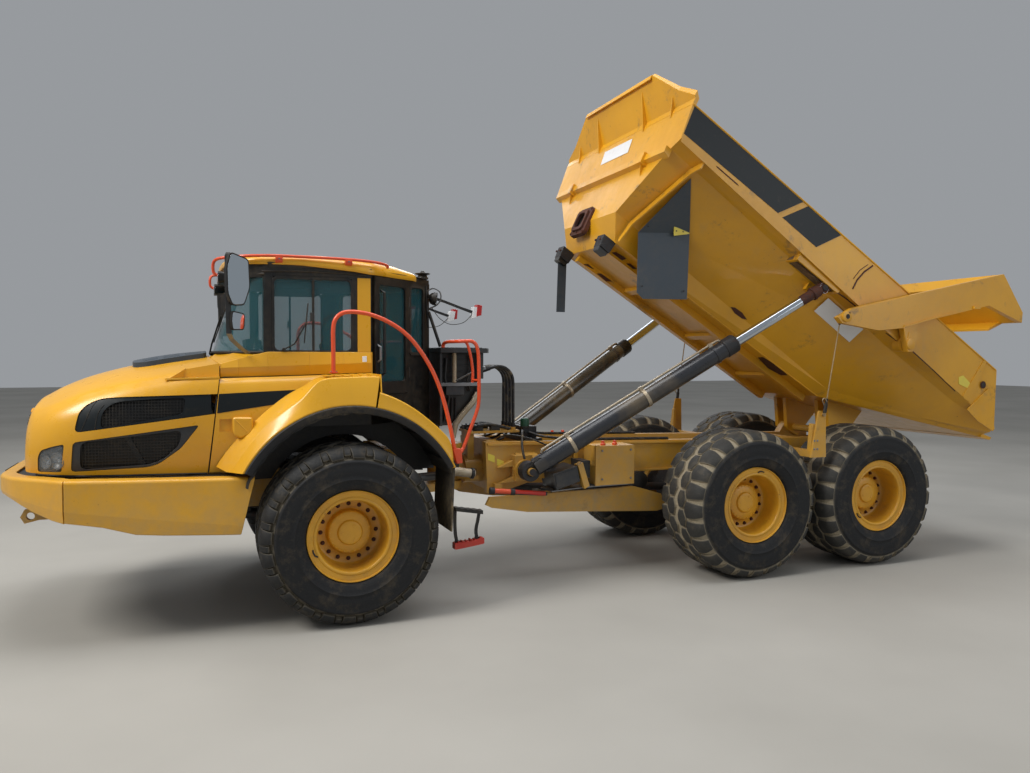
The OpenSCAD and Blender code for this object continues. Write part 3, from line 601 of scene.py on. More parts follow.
def project(outline, bvh, origin_axis, cell=0.06, offset=0.002, thick=0.003, plane="xz", mat="decal"):
    """a thin panel whose outline is given in a plane and laid on a surface found by rays; returns an unfinished object.
    outline is in front-axle lengths; plane xz looks along y, plane xy looks down"""
    bm = bmesh.new()
    if plane == "xz":
        vs = [bm.verts.new((x + OX, 0, z)) for x, z in outline]
    else:
        vs = [bm.verts.new((x + OX, y, 0)) for x, y in outline]
    bm.faces.new(vs)
    lo = [min(v.co[i] for v in bm.verts) for i in range(3)]
    hi = [max(v.co[i] for v in bm.verts) for i in range(3)]
    for i in range(3):
        if hi[i] - lo[i] < 1e-6:
            continue
        k = max(1, int((hi[i] - lo[i]) / cell))
        for j in range(1, k):
            co = Vector((0, 0, 0))
            co[i] = lo[i] + (hi[i] - lo[i]) * j / k
            no = Vector((0, 0, 0))
            no[i] = 1
            bmesh.ops.bisect_plane(bm, geom=bm.verts[:] + bm.edges[:] + bm.faces[:], dist=1e-6, plane_co=co, plane_no=no)
    d = Vector(origin_axis)
    last = None
    for v in bm.verts:
        start = v.co - d * 6
        if plane == "xz":
            start.y = -d.y * 3
        else:
            start.z = -d.z * 5
        hit, no, _, _ = bvh.ray_cast(start, d)
        if hit is None:
            near, no, _, _ = bvh.find_nearest(v.co + (last if last else Vector((0, 0, 0))))
            hit = near
        v.co = hit - d * offset
    ext = bmesh.ops.extrude_face_region(bm, geom=bm.faces[:])
    for v in [e for e in ext["geom"] if isinstance(e, bmesh.types.BMVert)]:
        v.co -= d * thick
    b = Build(mat)
    b.bm.free()
    b.bm = bm
    return b


from mathutils.bvhtree import BVHTree


def tree(ob):
    return BVHTree.FromObject(ob, bpy.context.evaluated_depsgraph_get())


def arc(cx, cz, r, a0, a1, n):
    return [(cx + r * math.cos(math.radians(a0 + (a1 - a0) * i / n)), cz + r * math.sin(math.radians(a0 + (a1 - a0) * i / n))) for i in range(n + 1)]


# ------------------------------------------------------------------ hoses over the hitch
ROUTE = [(-1.650, 2.180), (-1.698, 2.193), (-1.747, 2.206), (-1.807, 2.211), (-1.864, 2.194), (-1.912, 2.157), (-1.943, 2.106), (-1.954, 2.047),
         (-1.954, 1.960), (-1.954, 1.870), (-1.954, 1.780), (-1.954, 1.690), (-1.954, 1.620), (-1.954, 1.560)]
HOSE_Y = ((-0.135, -0.150), (-0.045, -0.050), (0.045, 0.050), (0.135, 0.150))
for i, (ya, yb) in enumerate(HOSE_Y):
    pts = [(x, ya + (yb - ya) * j / (len(ROUTE) - 1), z) for j, (x, z) in enumerate(ROUTE)]
    path = [V(*p) for p in spline(pts, 3)]
    b = Build("hose")
    b.tube(path, 0.017, 16)
    ob = b.done("hitch_hose_%d" % (i + 1), None, "black_rubber", ("hose_%d" % (i + 1),), angle=60)
    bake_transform(ob)
    f1 = Build("iron")
    f1.tube([V(-1.600, ya, 2.1666), V(-1.652, ya, 2.1805)], 0.026, 6)
    f1.tube([V(-1.645, ya, 2.1787), V(-1.690, ya, 2.1908)], 0.0235, 18)
    f1.done("hose_fitting_top_%d" % (i + 1), "front_unit", "machinery_iron", bevel=0.002)
    f2 = Build("iron")
    f2.tube([V(-1.954, yb, 1.522), V(-1.954, yb, 1.556)], 0.027, 6)
    f2.tube([V(-1.954, yb, 1.552), V(-1.954, yb, 1.600)], 0.0235, 18)
    f2.done("hose_fitting_foot_%d" % (i + 1), "hitch", "machinery_iron", bevel=0.002)


# ------------------------------------------------------------------ wheels
PROF = [(0.0, 0.7745), (0.10, 0.7742), (0.20, 0.7725), (0.262, 0.7680), (0.300, 0.7560), (0.330, 0.7340), (0.350, 0.7050), (0.361, 0.6750)]
ARC = [0.0]
for (ya, ra), (yb, rb) in zip(PROF, PROF[1:]):
    ARC.append(ARC[-1] + math.hypot(yb - ya, rb - ra))


def tread_point(a, s, drop):
    """a degrees round the tyre, s metres across the tread from the middle, drop below the tread surface"""
    q = min(abs(s), ARC[-1] - 1e-6)
    i = max(k for k in range(len(ARC) - 1) if ARC[k] <= q)
    t = (q - ARC[i]) / (ARC[i + 1] - ARC[i])
    (ya, ra), (yb, rb) = PROF[i], PROF[i + 1]
    y, r = ya + (yb - ya) * t, ra + (rb - ra) * t
    dy, dr = (yb - ya), (rb - ra)
    n = math.hypot(dy, dr)
    y, r = y + drop * dr / n, r - drop * dy / n
    y = y if s >= 0 else -y
    th = math.radians(a)
    return Vector((r * math.cos(th), y, r * math.sin(th)))


def block(bm, layer, poly, depth, a0, jitter=0.0):
    """one tread block from a convex outline of (degrees, metres across)"""
    ss = sorted({round(s, 5) for _, s in poly})
    rows = []
    for s0, s1 in zip(ss, ss[1:]):
        rows += [s0, s0 + min(0.012, (s1 - s0) / 3), s1 - min(0.012, (s1 - s0) / 3)]
        k = int((s1 - s0) / 0.05)
        rows += [s0 + (s1 - s0) * j / (k + 1) for j in range(1, k + 1)]
    rows = sorted(set(rows + [ss[-1]]))

    def span(s):
        xs = []
        for (aa, sa), (ab, sb) in zip(poly, poly[1:] + poly[:1]):
            if abs(sa - sb) < 1e-9:
                if abs(s - sa) < 1e-6:
                    xs += [aa, ab]
            elif min(sa, sb) - 1e-6 <= s <= max(sa, sb) + 1e-6:
                xs.append(aa + (ab - aa) * (s - sa) / (sb - sa))
        return min(xs), max(xs)

    cols = (0.0, 0.07, 0.5, 0.93, 1.0)
    grid = []
    lift = random.uniform(-jitter, jitter)
    for j, s in enumerate(rows):
        lo, hi = span(s)
        line = []
        for k, c in enumerate(cols):
            rim = j in (0, len(rows) - 1) or k in (0, len(cols) - 1)
            v = bm.verts.new(tread_point(a0 + lo + (hi - lo) * c, s, (0.0065 if rim else 0.0) + lift))
            v[layer] = 0.80 if rim else 0.58
            line.append(v)
        grid.append(line)
    for j in range(len(rows) - 1):
        for k in range(len(cols) - 1):
            bm.faces.new((grid[j][k], grid[j][k + 1], grid[j + 1][k + 1], grid[j + 1][k]))
    # walls down to the carcass
    edge = [(0, k) for k in range(len(cols))] + [(j, len(cols) - 1) for j in range(1, len(rows))] + [(len(rows) - 1, k) for k in range(len(cols) - 2, -1, -1)] + [(j, 0) for j in range(len(rows) - 2, 0, -1)]
    foot = []
    for j, k in edge:
        s = rows[j]
        lo, hi = span(s)
        grow = 0.25 if k == len(cols) - 1 else -0.25 if k == 0 else 0
        v = bm.verts.new(tread_point(a0 + lo + (hi - lo) * cols[k] + grow, s + (0.003 if j == len(rows) - 1 else -0.003 if j == 0 else 0), depth + 0.006))
        v[layer] = 1.0
        foot.append(v)
    n = len(edge)
    for i in range(n):
        a, b = edge[i], edge[(i + 1) % n]
        bm.faces.new((grid[b[0]][b[1]], grid[a[0]][a[1]], foot[i], foot[(i + 1) % n]))


def tyre_mesh(name, depth, gap, mat, small, jitter, count=24):
    bm = bmesh.new()
    layer = bm.verts.layers.float.new("tread")
    half = 180.0 / count
    p = half - gap
    gs = gap * 0.0135  # the same gap across
    for k in range(count):
        a = k * 2 * half
        for side in (1, -1):
            off = 0 if side > 0 else half
            # rows from the middle outwards: two hexagon rows and the shoulder lug, each shifted by half a pitch
            hexa = [(-p, 0.045 + gs), (0, 0.008 + gs), (p, 0.045 + gs), (p, 0.135 - gs), (0, 0.172 - gs), (-p, 0.135 - gs)]
            lug = [(0, 0.128 + 2 * gs), (p, 0.165 + 2 * gs), (p * 0.90, 0.30), (p * 0.72, ARC[-1] - 0.006), (-p * 0.72, ARC[-1] - 0.006), (-p * 0.90, 0.30), (-p, 0.165 + 2 * gs)]
            block(bm, layer, [(x, side * s) for x, s in hexa], depth, a + off, jitter)
            block(bm, layer, [(x, side * s) for x, s in lug], depth, a + off + half, jitter)
            if small:
                w = gap * 0.55 + 1.1
                block(bm, layer, [(x, side * s) for x, s in [(-w, 0.235), (w, 0.235), (w, 0.375), (-w, 0.375)]], depth * 0.72, a + off, jitter)
    if small:
        for v in bm.verts:
            pass
    # carcass
    d = depth
    outer = [(0.0, 0.7745 - d, 1.0), (0.10, 0.7742 - d, 1.0), (0.20, 0.7725 - d, 1.0), (0.262, 0.768 - d, 1.0), (0.294, 0.752 - d, 1.0), (0.322, 0.728 - d, 0.95), (0.340, 0.700 - d * 0.7, 0.9),
             (0.3535, 0.672 - d * 0.3, 0.55), (0.3600, 0.655, 0.15), (0.3660, 0.650, 0.2), (0.3690, 0.640, 0.2), (0.3670, 0.632, 0.12), (0.3715, 0.60, 0.05), (0.3735, 0.57, 0.0), (0.3730, 0.535, 0.0), (0.3700, 0.508, 0.0),
             (0.3740, 0.502, 0.15), (0.3740, 0.494, 0.15), (0.3680, 0.488, 0.0), (0.3630, 0.462, 0.0), (0.3540, 0.437, 0.0), (0.3420, 0.418, 0.0), (0.3380, 0.412, 0.1), (0.3310, 0.407, 0.1), (0.3200, 0.4045, 0.0), (0.3080, 0.400, 0.0), (0.2850, 0.394, 0.0), (0.2700, 0.385, 0.0), (0.2650, 0.340, 0.0)]
    prof = outer + [(-y, r, h) for y, r, h in reversed(outer)][:-1]
    n = 120
    rings = []
    for y, r, h in prof:
        ring = []
        for k in range(n):
            th = 2 * math.pi * k / n
            v = bm.verts.new((r * math.cos(th), y, r * math.sin(th)))
            v[layer] = h
            ring.append(v)
        rings.append(ring)
    for j in range(len(rings)):
        a, b = rings[j], rings[(j + 1) % len(rings)]
        for k in range(n):
            bm.faces.new((a[k], a[(k + 1) % n], b[(k + 1) % n], b[k]))
    bmesh.ops.remove_doubles(bm, verts=bm.verts, dist=1e-5)
    bmesh.ops.recalc_face_normals(bm, faces=bm.faces)
    me = bpy.data.meshes.new(name)
    bm.to_mesh(me)
    bm.free()
    me.materials.append(M[mat])
    me.shade_smooth()
    me.set_sharp_from_angle(angle=math.radians(42))
    return me


TYRES = {"front": tyre_mesh("tyre_front", 0.050, 1.75, "tyre_front", True, 0.0012),
         "rear": tyre_mesh("tyre_rear", 0.024, 0.72, "tyre_rear", False, 0.0015)}


def rim_mesh():
    b = Build("yellow_rim", "rusty", "iron")
    prof = [(0.340, 0.298), (0.391, 0.299), (0.3955, 0.304), (0.3960, 0.311), (0.3925, 0.3158), (0.3870, 0.3150), (0.3835, 0.3080), (0.3810, 0.2940), (0.3740, 0.2850), (0.3600, 0.2800), (0.3500, 0.2830),
            (0.3430, 0.2930), (0.3350, 0.3010), (0.3250, 0.3045), (0.3150, 0.3030), (0.3080, 0.2960), (0.3050, 0.2850), (0.3020, 0.2400), (0.2990, 0.1600), (0.2950, 0.0900), (0.2870, 0.0640), (0.2760, 0.0545),
            (0.2500, 0.0520), (0.2060, 0.0520), (0.1975, 0.0560), (0.1915, 0.0660), (0.1890, 0.1000), (0.1865, 0.1120), (0.1790, 0.1185), (0.1640, 0.1210), (0.1560, 0.1240), (0.1240, 0.1270), (0.1120, 0.1290), (0.1075, 0.1340),
            (0.1045, 0.1430), (0.0990, 0.1480), (0.0900, 0.1505), (0.0600, 0.1520), (0.0, 0.1530)]
    b.lathe(prof, Vector((0, 0, 0)), (0, 1, 0), 96, "yellow_rim")
    back = [(0.0, 0.030), (0.285, 0.030), (0.298, 0.010), (0.302, -0.280), (0.306, -0.298), (0.316, -0.3045), (0.330, -0.302), (0.344, -0.288), (0.378, -0.288), (0.384, -0.306), (0.3925, -0.3155), (0.396, -0.308), (0.391, -0.299),
            (0.340, -0.298), (0.335, -0.260), (0.335, 0.260), (0.340, 0.298)]
    b.lathe(back, Vector((0, 0, 0)), (0, 1, 0), 96, "yellow_rim")
    for k in range(16):
        th = 2 * math.pi * k / 16
        c = Vector((0.243 * math.cos(th), 0.051, 0.243 * math.sin(th)))
        b.lathe([(0, 0), (0.019, 0), (0.019, 0.004), (0, 0.004)], c, (0, 1, 0), 16, "rusty")
        b.bolt(c + Vector((0, 0.004, 0)), (0, 1, 0), 0.0145, 0.020, "rusty")
    for k in range(24):
        th = 2 * math.pi * (k + 0.5) / 24
        b.bolt(Vector((0.172 * math.cos(th), 0.1195, 0.172 * math.sin(th))), (0, 1, 0), 0.0075, 0.006, "yellow_rim")
    for k in range(3):
        th = 2 * math.pi * k / 3 + 0.4
        b.bolt(Vector((0.070 * math.cos(th), 0.1515, 0.070 * math.sin(th))), (0, 1, 0), 0.012, 0.004, "yellow_rim")
    # valve guard in the gutter
    for da, w in ((-0.07, 0.030), (0.07, 0.026)):
        c, s = math.cos(da), math.sin(da)
        pts = [Vector((r * c - t * s, 0, r * s + t * c)) for r, t in ((0.352, -w), (0.385, -w * 0.8), (0.385, w * 0.8), (0.352, w))]
        b.loop_solid([[p + Vector((0, 0.279, 0)) for p in pts], [p + Vector((0, 0.300, 0)) for p in pts]], "yellow_rim")
    b.tube([Vector((0.335, 0.301, -0.030)), Vector((0.352, 0.304, -0.010)), Vector((0.356, 0.304, 0.020)), Vector((0.350, 0.303, 0.045))], 0.0065, 8, "iron")
    bmesh.ops.remove_doubles(b.bm, verts=b.bm.verts, dist=1e-5)
    bmesh.ops.recalc_face_normals(b.bm, faces=b.bm.faces)
    me = bpy.data.meshes.new("rim")
    b.bm.to_mesh(me)
    b.bm.free()
    for mt in b.mats:
        me.materials.append(M[mt])
    me.shade_smooth()
    me.set_sharp_from_angle(angle=math.radians(38))
    return me


RIM = rim_mesh()
for n, x, turn in (("front", 0.0, -22), ("mid", -4.175, 100), ("rear", -5.845, -38)):
    for side, s in SIDES:
        for kind, me in (("tyre", TYRES["front" if n == "front" else "rear"]), ("rim", RIM)):
            ob = bpy.data.objects.new("%s_%s_%s_detail" % (kind, n, side), me)
            bpy.context.scene.collection.objects.link(ob)
            spin = math.radians(-turn if s > 0 else turn) if kind == "rim" else math.radians({"front": 4, "mid": 9, "rear": 2}[n])
            ob.matrix_world = Matrix.Translation(V(x, s * 1.108, 0.775)) @ Matrix.Rotation(0 if s > 0 else math.pi, 4, "Z") @ Matrix.Rotation(spin, 4, "Y")
            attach(ob, "wheel_%s_%s" % (n, side))
            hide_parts("%s_%s_%s" % (kind, n, side))


# ------------------------------------------------------------------ helpers for the front unit
def rounded(cx, cz, w, h, r, n=5):
    """rectangle with round corners, as (u, v) points"""
    out = []
    for sx, sz, a in ((1, 1, 0), (-1, 1, 90), (-1, -1, 180), (1, -1, 270)):
        for k in range(n + 1):
            t = math.radians(a + 90 * k / n)
            out.append((cx + sx * (w / 2 - r) + r * math.cos(t), cz + sz * (h / 2 - r) + r * math.sin(t)))
    return out


def soften(poly, r, n=4):
    """polygon with its corners rounded"""
    out = []
    m_ = len(poly)
    for i in range(m_):
        p, a, b = Vector(poly[i]), Vector(poly[i - 1]), Vector(poly[(i + 1) % m_])
        da, db = (a - p), (b - p)
        k = min(r, da.length * 0.45, db.length * 0.45)
        p0, p1 = p + da.normalized() * k, p + db.normalized() * k
        for j in range(n + 1):
            t = j / n
            out.append(tuple(p0 * (1 - t) ** 2 + p * 2 * t * (1 - t) + p1 * t * t))
    return out


def shrink(poly, d):
    """move a polygon's edges inward by d"""
    area_ = sum(poly[i][0] * poly[(i + 1) % len(poly)][1] - poly[(i + 1) % len(poly)][0] * poly[i][1] for i in range(len(poly)))
    s = 1 if area_ > 0 else -1
    out = []
    m_ = len(poly)
    for i in range(m_):
        p, a, b = Vector(poly[i]), Vector(poly[i - 1]), Vector(poly[(i + 1) % m_])
        u, v = (p - a).normalized(), (b - p).normalized()
        nu, nv = Vector((-u.y, u.x)) * s, Vector((-v.y, v.x)) * s
        w = (nu + nv)
        w = w / max(0.35, w.length_squared / 2)
        out.append(tuple(p + w * d))
    return out


def frame_ring(b, outer, inner, y0, y1, mat, fn):
    """a flat ring between two outlines of equal count"""
    n = len(outer)
    rows = [[fn(x, y0, z) for x, z in outer], [fn(x, y1, z) for x, z in outer], [fn(x, y1, z) for x, z in inner], [fn(x, y0, z) for x, z in inner]]
    pts = [p for r_ in rows for p in r_]
    quads = [(j * n + i, j * n + (i + 1) % n, ((j + 1) % 4) * n + (i + 1) % n, ((j + 1) % 4) * n + i) for j in range(4) for i in range(n)]
    b.faces(pts, quads, mat)


def grid_of(stations, ku, kv):
    rows = [spline(s, ku) for s in stations]
    cols = [spline(c, kv) for c in zip(*rows)]
    return [list(r_) for r_ in zip(*cols)]


def inside_poly(poly, x, z):
    hit = False
    for i in range(len(poly)):
        (xa, za), (xb, zb) = poly[i], poly[i - 1]
        if (za > z) != (zb > z) and x < (xb - xa) * (z - za) / (zb - za) + xa:
            hit = not hit
    return hit


def mesh_bars(b, poly, bvh, s, depth, dx, dz, r, mat):
    """woven bars that follow a surface at a depth, inside an outline in x and z; s is the side"""
    xs = [p[0] for p in poly]
    zs = [p[1] for p in poly]

    def at(x, z):
        hit, _, _, _ = bvh.ray_cast(V(x, s * 3, z), Vector((0, -s, 0)))
        return None if hit is None else hit + Vector((0, -s * depth, 0))

    def runs(fixed, lo, hi, horizontal):
        run = []
        k = int((hi - lo) / 0.03) + 1
        for i in range(k + 1):
            t = lo + (hi - lo) * i / k
            x, z = (t, fixed) if horizontal else (fixed, t)
            p = at(x, z) if inside_poly(poly, x, z) else None
            if p is None:
                if len(run) > 1:
                    b.tube(run, r, 4, mat)
                run = []
            else:
                run.append(p)
        if len(run) > 1:
            b.tube(run, r, 4, mat)

    z = min(zs) + dz
    while z < max(zs):
        runs(z, min(xs), max(xs), True)
        z += dz
    x = min(xs) + dx
    while x < max(xs):
        runs(x, min(zs), max(zs), False)
        x += dx


# ------------------------------------------------------------------ hood
HOOD = [
    [(1.157, 1.080, 1.338), (1.130, 1.105, 1.55), (1.105, 1.118, 1.75), (1.080, 1.114, 1.95), (1.064, 1.092, 2.075), (1.054, 1.045, 2.165), (1.048, 0.955, 2.232), (1.125, 0.60, 2.300), (1.125, 0.28, 2.318), (1.125, 0, 2.320)],
    [(1.45, 1.085, 1.346), (1.45, 1.108, 1.55), (1.45, 1.119, 1.74), (1.45, 1.109, 1.92), (1.45, 1.080, 2.03), (1.45, 1.025, 2.11), (1.45, 0.935, 2.172), (1.45, 0.60, 2.252), (1.45, 0.28, 2.282), (1.45, 0, 2.286)],
    [(1.80, 1.083, 1.353), (1.80, 1.106, 1.54), (1.80, 1.115, 1.71), (1.80, 1.098, 1.87), (1.80, 1.062, 1.975), (1.80, 1.000, 2.05), (1.80, 0.905, 2.105), (1.80, 0.58, 2.188), (1.80, 0.28, 2.216), (1.80, 0, 2.220)],
    [(2.10, 1.062, 1.360), (2.10, 1.088, 1.53), (2.10, 1.094, 1.67), (2.10, 1.071, 1.81), (2.10, 1.028, 1.90), (2.10, 0.960, 1.968), (2.10, 0.865, 2.022), (2.10, 0.55, 2.103), (2.10, 0.27, 2.132), (2.10, 0, 2.136)],
    [(2.32, 0.985, 1.366), (2.325, 1.012, 1.51), (2.325, 1.014, 1.63), (2.32, 0.988, 1.75), (2.315, 0.945, 1.832), (2.31, 0.880, 1.893), (2.30, 0.790, 1.943), (2.29, 0.50, 2.028), (2.29, 0.25, 2.055), (2.29, 0, 2.058)],
    [(2.455, 0.880, 1.370), (2.462, 0.905, 1.49), (2.460, 0.903, 1.60), (2.450, 0.880, 1.71), (2.440, 0.840, 1.79), (2.428, 0.785, 1.852), (2.412, 0.710, 1.902), (2.400, 0.45, 1.975), (2.400, 0.22, 1.995), (2.400, 0, 1.998)],
    [(2.518, 0.795, 1.371), (2.522, 0.815, 1.48), (2.518, 0.812, 1.585), (2.510, 0.795, 1.69), (2.500, 0.760, 1.772), (2.492, 0.712, 1.835), (2.480, 0.645, 1.882), (2.466, 0.42, 1.940), (2.466, 0.2, 1.954), (2.466, 0, 1.956)],
    [(2.540, 0.735, 1.372), (2.542, 0.745, 1.475), (2.538, 0.742, 1.575), (2.532, 0.73, 1.675), (2.524, 0.70, 1.75), (2.516, 0.655, 1.808), (2.505, 0.60, 1.850), (2.495, 0.40, 1.900), (2.495, 0.2, 1.912), (2.495, 0, 1.914)],
]
grid = grid_of(HOOD, 5, 6)
LAST = [[(x + 0.006, y * 0.9, z if i < 12 else z - 0.02) for i, (x, y, z) in enumerate(grid[-1])],
        [(x - 0.006, max(0.598, y * 0.83) if i < 34 else min(y, 0.598 * (45 - i) / 11), min(z, 1.856)) for i, (x, y, z) in enumerate(grid[-1])]]
rim_n = len(grid[-1])
edge_path = []
for i in range(rim_n):
    # the opening's edge: up the side to 1.856, then across the top
    t = i / (rim_n - 1)
    if t < 0.62:
        edge_path.append((2.520 - 0.022 * (t / 0.62), 0.598, 1.372 + (1.856 - 1.372) * t / 0.62))
    else:
        edge_path.append((2.498, 0.598 * (1 - (t - 0.62) / 0.38), 1.856))
rows = grid + [[(0.4 * a[0] + 0.6 * c[0] + 0.004, 0.4 * a[1] + 0.6 * c[1], 0.4 * a[2] + 0.6 * c[2]) for a, c in zip(grid[-1], edge_path)], edge_path]
b = Build("yellow")
b.loft([[V(*p) for p in r_] + [V(x, -y, z) for x, y, z in reversed(r_[:-1])] for r_ in rows], "yellow", closed=False)
skin = raw(b, "hood_skin", V(1.8, 0, 1.4))
for p in skin.data.polygons:
    p.use_smooth = True
hood_tree = tree(skin)
s_ = skin.modifiers.new("thick", "SOLIDIFY")
s_.thickness = 0.022
s_.offset = -1
apply_all(skin)

UP_VENT = soften([(2.147, 1.70), (2.112, 1.862), (2.053, 1.925), (1.954, 1.969), (1.81, 1.980), (1.02, 1.997), (1.02, 1.829), (1.079, 1.832)], 0.05)
UP_OPEN = soften([(1.955, 1.730), (1.948, 1.84), (1.904, 1.905), (1.82, 1.945), (1.379, 1.970), (1.322, 1.962), (1.342, 1.836)], 0.04)
LOW_VENT = soften([(2.155, 1.626), (2.175, 1.387), (1.611, 1.403), (1.527, 1.428), (1.362, 1.549), (1.214, 1.742)], 0.035)
LOW_OPEN = soften([(2.098, 1.622), (2.108, 1.405), (1.600, 1.428), (1.50, 1.462), (1.375, 1.575), (1.352, 1.700)], 0.05)
LAMP = soften([(2.218, 1.612), (2.244, 1.385), (2.425, 1.385), (2.419, 1.507), (2.393, 1.561), (2.315, 1.590)], 0.022)
cutter = Build("black")
for s in (1, -1):
    for poly in (UP_VENT, LOW_VENT, LAMP):
        cutter.prism(poly, s * 0.80, s * 1.4)
    cutter.loop_solid([[V(x, s * y, z) for x, y, z in ((1.478, 1.035, 2.1112), (1.345, 0.938, 2.1135), (0.95, 0.982, 2.125), (0.95, 1.3, 2.125), (1.478, 1.3, 2.1112))],
                       [V(x, s * y, z) for x, y, z in ((1.478, 1.035, 2.1122), (1.300, 0.930, 2.30), (0.95, 0.972, 2.30), (0.95, 1.3, 2.30), (1.478, 1.3, 2.1122))]])
cut(skin, raw(cutter, "hood_cutter"))
finish_piece(skin, "hood", ("hood",), bevel=0.0035, seg=2, angle=50)

for side, s in SIDES:
    d = (0, -s, 0)
    # vents: recessed panel with an opening, dark mesh and a black back
    for name, poly, hole, mat in (("upper_vent", UP_VENT, UP_OPEN, "decal"), ("lower_vent", LOW_VENT, LOW_OPEN, "charcoal")):
        pan = raw(project(shrink(poly, 0.002), hood_tree, d, 0.05, -0.013, 0.005, mat=mat), "%s_%s" % (name, side))
        cb = Build("black")
        cb.prism(hole, s * 0.7, s * 1.4)
        cut(pan, raw(cb, "c"))
        finish_piece(pan, "hood", (), 0.0015, 1, 50)
        bb = Build("black")
        mesh_bars(bb, shrink(hole, -0.012), hood_tree, s, 0.020, 0.024, 0.024, 0.0028, "black")
        if name == "lower_vent":
            pts = []
            for x, z in ((1.765, 1.665), (1.735, 1.60), (1.70, 1.53), (1.665, 1.46), (1.64, 1.40)):
                hit, _, _, _ = hood_tree.ray_cast(V(x, s * 3, z), Vector((0, -s, 0)))
                pts.append(hit + Vector((0, -s * 0.030, 0)))
            for i in range(len(pts) - 1):
                a_, c_ = pts[i], pts[i + 1]
                bb.loop_solid([[a_ + Vector((0.022, 0, 0)), a_ - Vector((0.022, 0, 0)), a_ - Vector((0.022, s * 0.01, 0)), a_ + Vector((0.022, -s * 0.01, 0))],
                               [c_ + Vector((0.022, 0, 0)), c_ - Vector((0.022, 0, 0)), c_ - Vector((0.022, s * 0.01, 0)), c_ + Vector((0.022, -s * 0.01, 0))]], "plastic")
        bb.done("%s_mesh_%s" % (name, side), "hood", "dark_paint", angle=60)
        back = project(shrink(hole, -0.03), hood_tree, d, 0.06, -0.055, 0.004, mat="black")
        back.done("%s_back_%s" % (name, side), "hood", "dark_paint")
    # division lines at the front of the upper vent
    lb = Build("black")
    for pts in (((2.095, 1.715), (2.060, 1.80), (2.020, 1.90), (1.985, 1.945)), ((1.995, 1.728), (1.985, 1.80), (1.965, 1.87), (1.93, 1.92))):
        path = []
        for x, z in spline(list(pts), 4):
            hit, _, _, _ = hood_tree.ray_cast(V(x, s * 3, z), Vector((0, -s, 0)))
            path.append(hit + Vector((0, -s * 0.0085, 0)))
        lb.tube(path, 0.0035, 6)
    lb.done("upper_vent_lines_%s" % side, "hood", "dark_paint")
    # headlight: bowl, two lamps, clear lens
    bowl = project(shrink(LAMP, 0.001), hood_tree, d, 0.04, -0.075, 0.004, mat="plastic")
    bowl.done("headlight_back_%s" % side, "hood", "dark_paint")
    hb = Build("plastic", "chrome", "grey_metal", "lens")
    for (x, z, rr) in ((2.290, 1.475, 0.062), (2.375, 1.462, 0.048)):
        hit, no, _, _ = hood_tree.ray_cast(V(x, s * 3, z), Vector((0, -s, 0)))
        ax = Vector((0.62, s * 0.78, 0)).normalized()
        c0 = hit - ax * 0.065
        hb.lathe([(0.010, 0.012), (rr * 0.55, 0.016), (rr * 0.85, 0.032), (rr, 0.046), (rr + 0.007, 0.046), (rr + 0.007, 0.0), (0.010, 0.0)], c0, ax, 32, "grey_metal")
        hb.lathe([(0.0, 0.034), (0.016, 0.030), (0.020, 0.014), (0.0, 0.012)], c0, ax, 16, "chrome")
        hb.lathe([(0.0, 0.050), (rr * 0.6, 0.048), (rr, 0.044), (rr, 0.041), (0.0, 0.043)], c0, ax, 28, "lens")
    hb.done("headlight_lamps_%s" % side, "hood", "dark_paint", angle=40)
    rimw = Build("plastic")
    hit = [hood_tree.ray_cast(V(x, s * 3, z), Vector((0, -s, 0)))[0] for x, z in LAMP]
    if all(h is not None for h in hit):
        ins = [hood_tree.ray_cast(V(x, s * 3, z), Vector((0, -s, 0)))[0] for x, z in shrink(LAMP, 0.012)]
        n_ = len(hit)
        off, deep = Vector((0, -s * 0.006, 0)), Vector((0, -s * 0.07, 0))
        prs = [p + off for p in hit] + [p + off for p in ins] + [p + deep for p in ins] + [p + deep for p in hit]
        rimw.faces(prs, [(j * n_ + i, j * n_ + (i + 1) % n_, ((j + 1) % 4) * n_ + (i + 1) % n_, ((j + 1) % 4) * n_ + i) for j in range(4) for i in range(n_)], "plastic")
    rimw.done("headlight_rim_%s" % side, "hood", "dark_paint", angle=50)
    lens = project(shrink(LAMP, 0.006), hood_tree, d, 0.04, -0.009, 0.003, mat="lens")
    lens.done("headlight_lens_%s" % side, "hood", "window_glass")
    # notch under the bonnet's shoulder: ledge, wall and its pointed front
    nb = Build("yellow")
    W = lambda x, y, z: V(x, s * y, z)
    nb.plate([W(1.478, 1.032, 2.1115), W(1.345, 0.938, 2.1135), W(1.052, 0.974, 2.1225), W(1.052, 1.078, 2.1225), W(1.25, 1.062, 2.118)], -0.016 * s)
    nb.plate([W(1.345, 0.938, 2.1135), W(1.052, 0.974, 2.1225), W(1.052, 0.964, 2.250), W(1.328, 0.930, 2.200)], 0.016 * s)
    nb.plate([W(1.478, 1.032, 2.1115), W(1.345, 0.938, 2.1135), W(1.322, 0.930, 2.215)], 0.016 * s)
    nb.done("hood_notch_%s" % side, "hood", "yellow_paint", bevel=0.002)
    # black insert in the nose slot
    sl = Build("black")
    q = []
    for y, z in ((0.618, 1.748), (0.70, 1.748), (0.680, 1.835), (0.618, 1.838)):
        hit = hood_tree.ray_cast(V(4, s * y, z), Vector((-1, 0, 0)))[0]
        q.append(hit + Vector((0.001, 0, 0)))
    sl.plate(q, 0.007, "black", True)
    for k in range(4):
        a_, c_ = q[0].lerp(q[3], (k + 0.7) / 4.4), q[1].lerp(q[2], (k + 0.7) / 4.4)
        sl.tube([a_ + Vector((0.004, 0, 0)), c_ + Vector((0.004, 0, 0))], 0.0045, 6, "plastic")
    sl.done("nose_slot_%s" % side, "hood", "dark_paint", bevel=0.002)
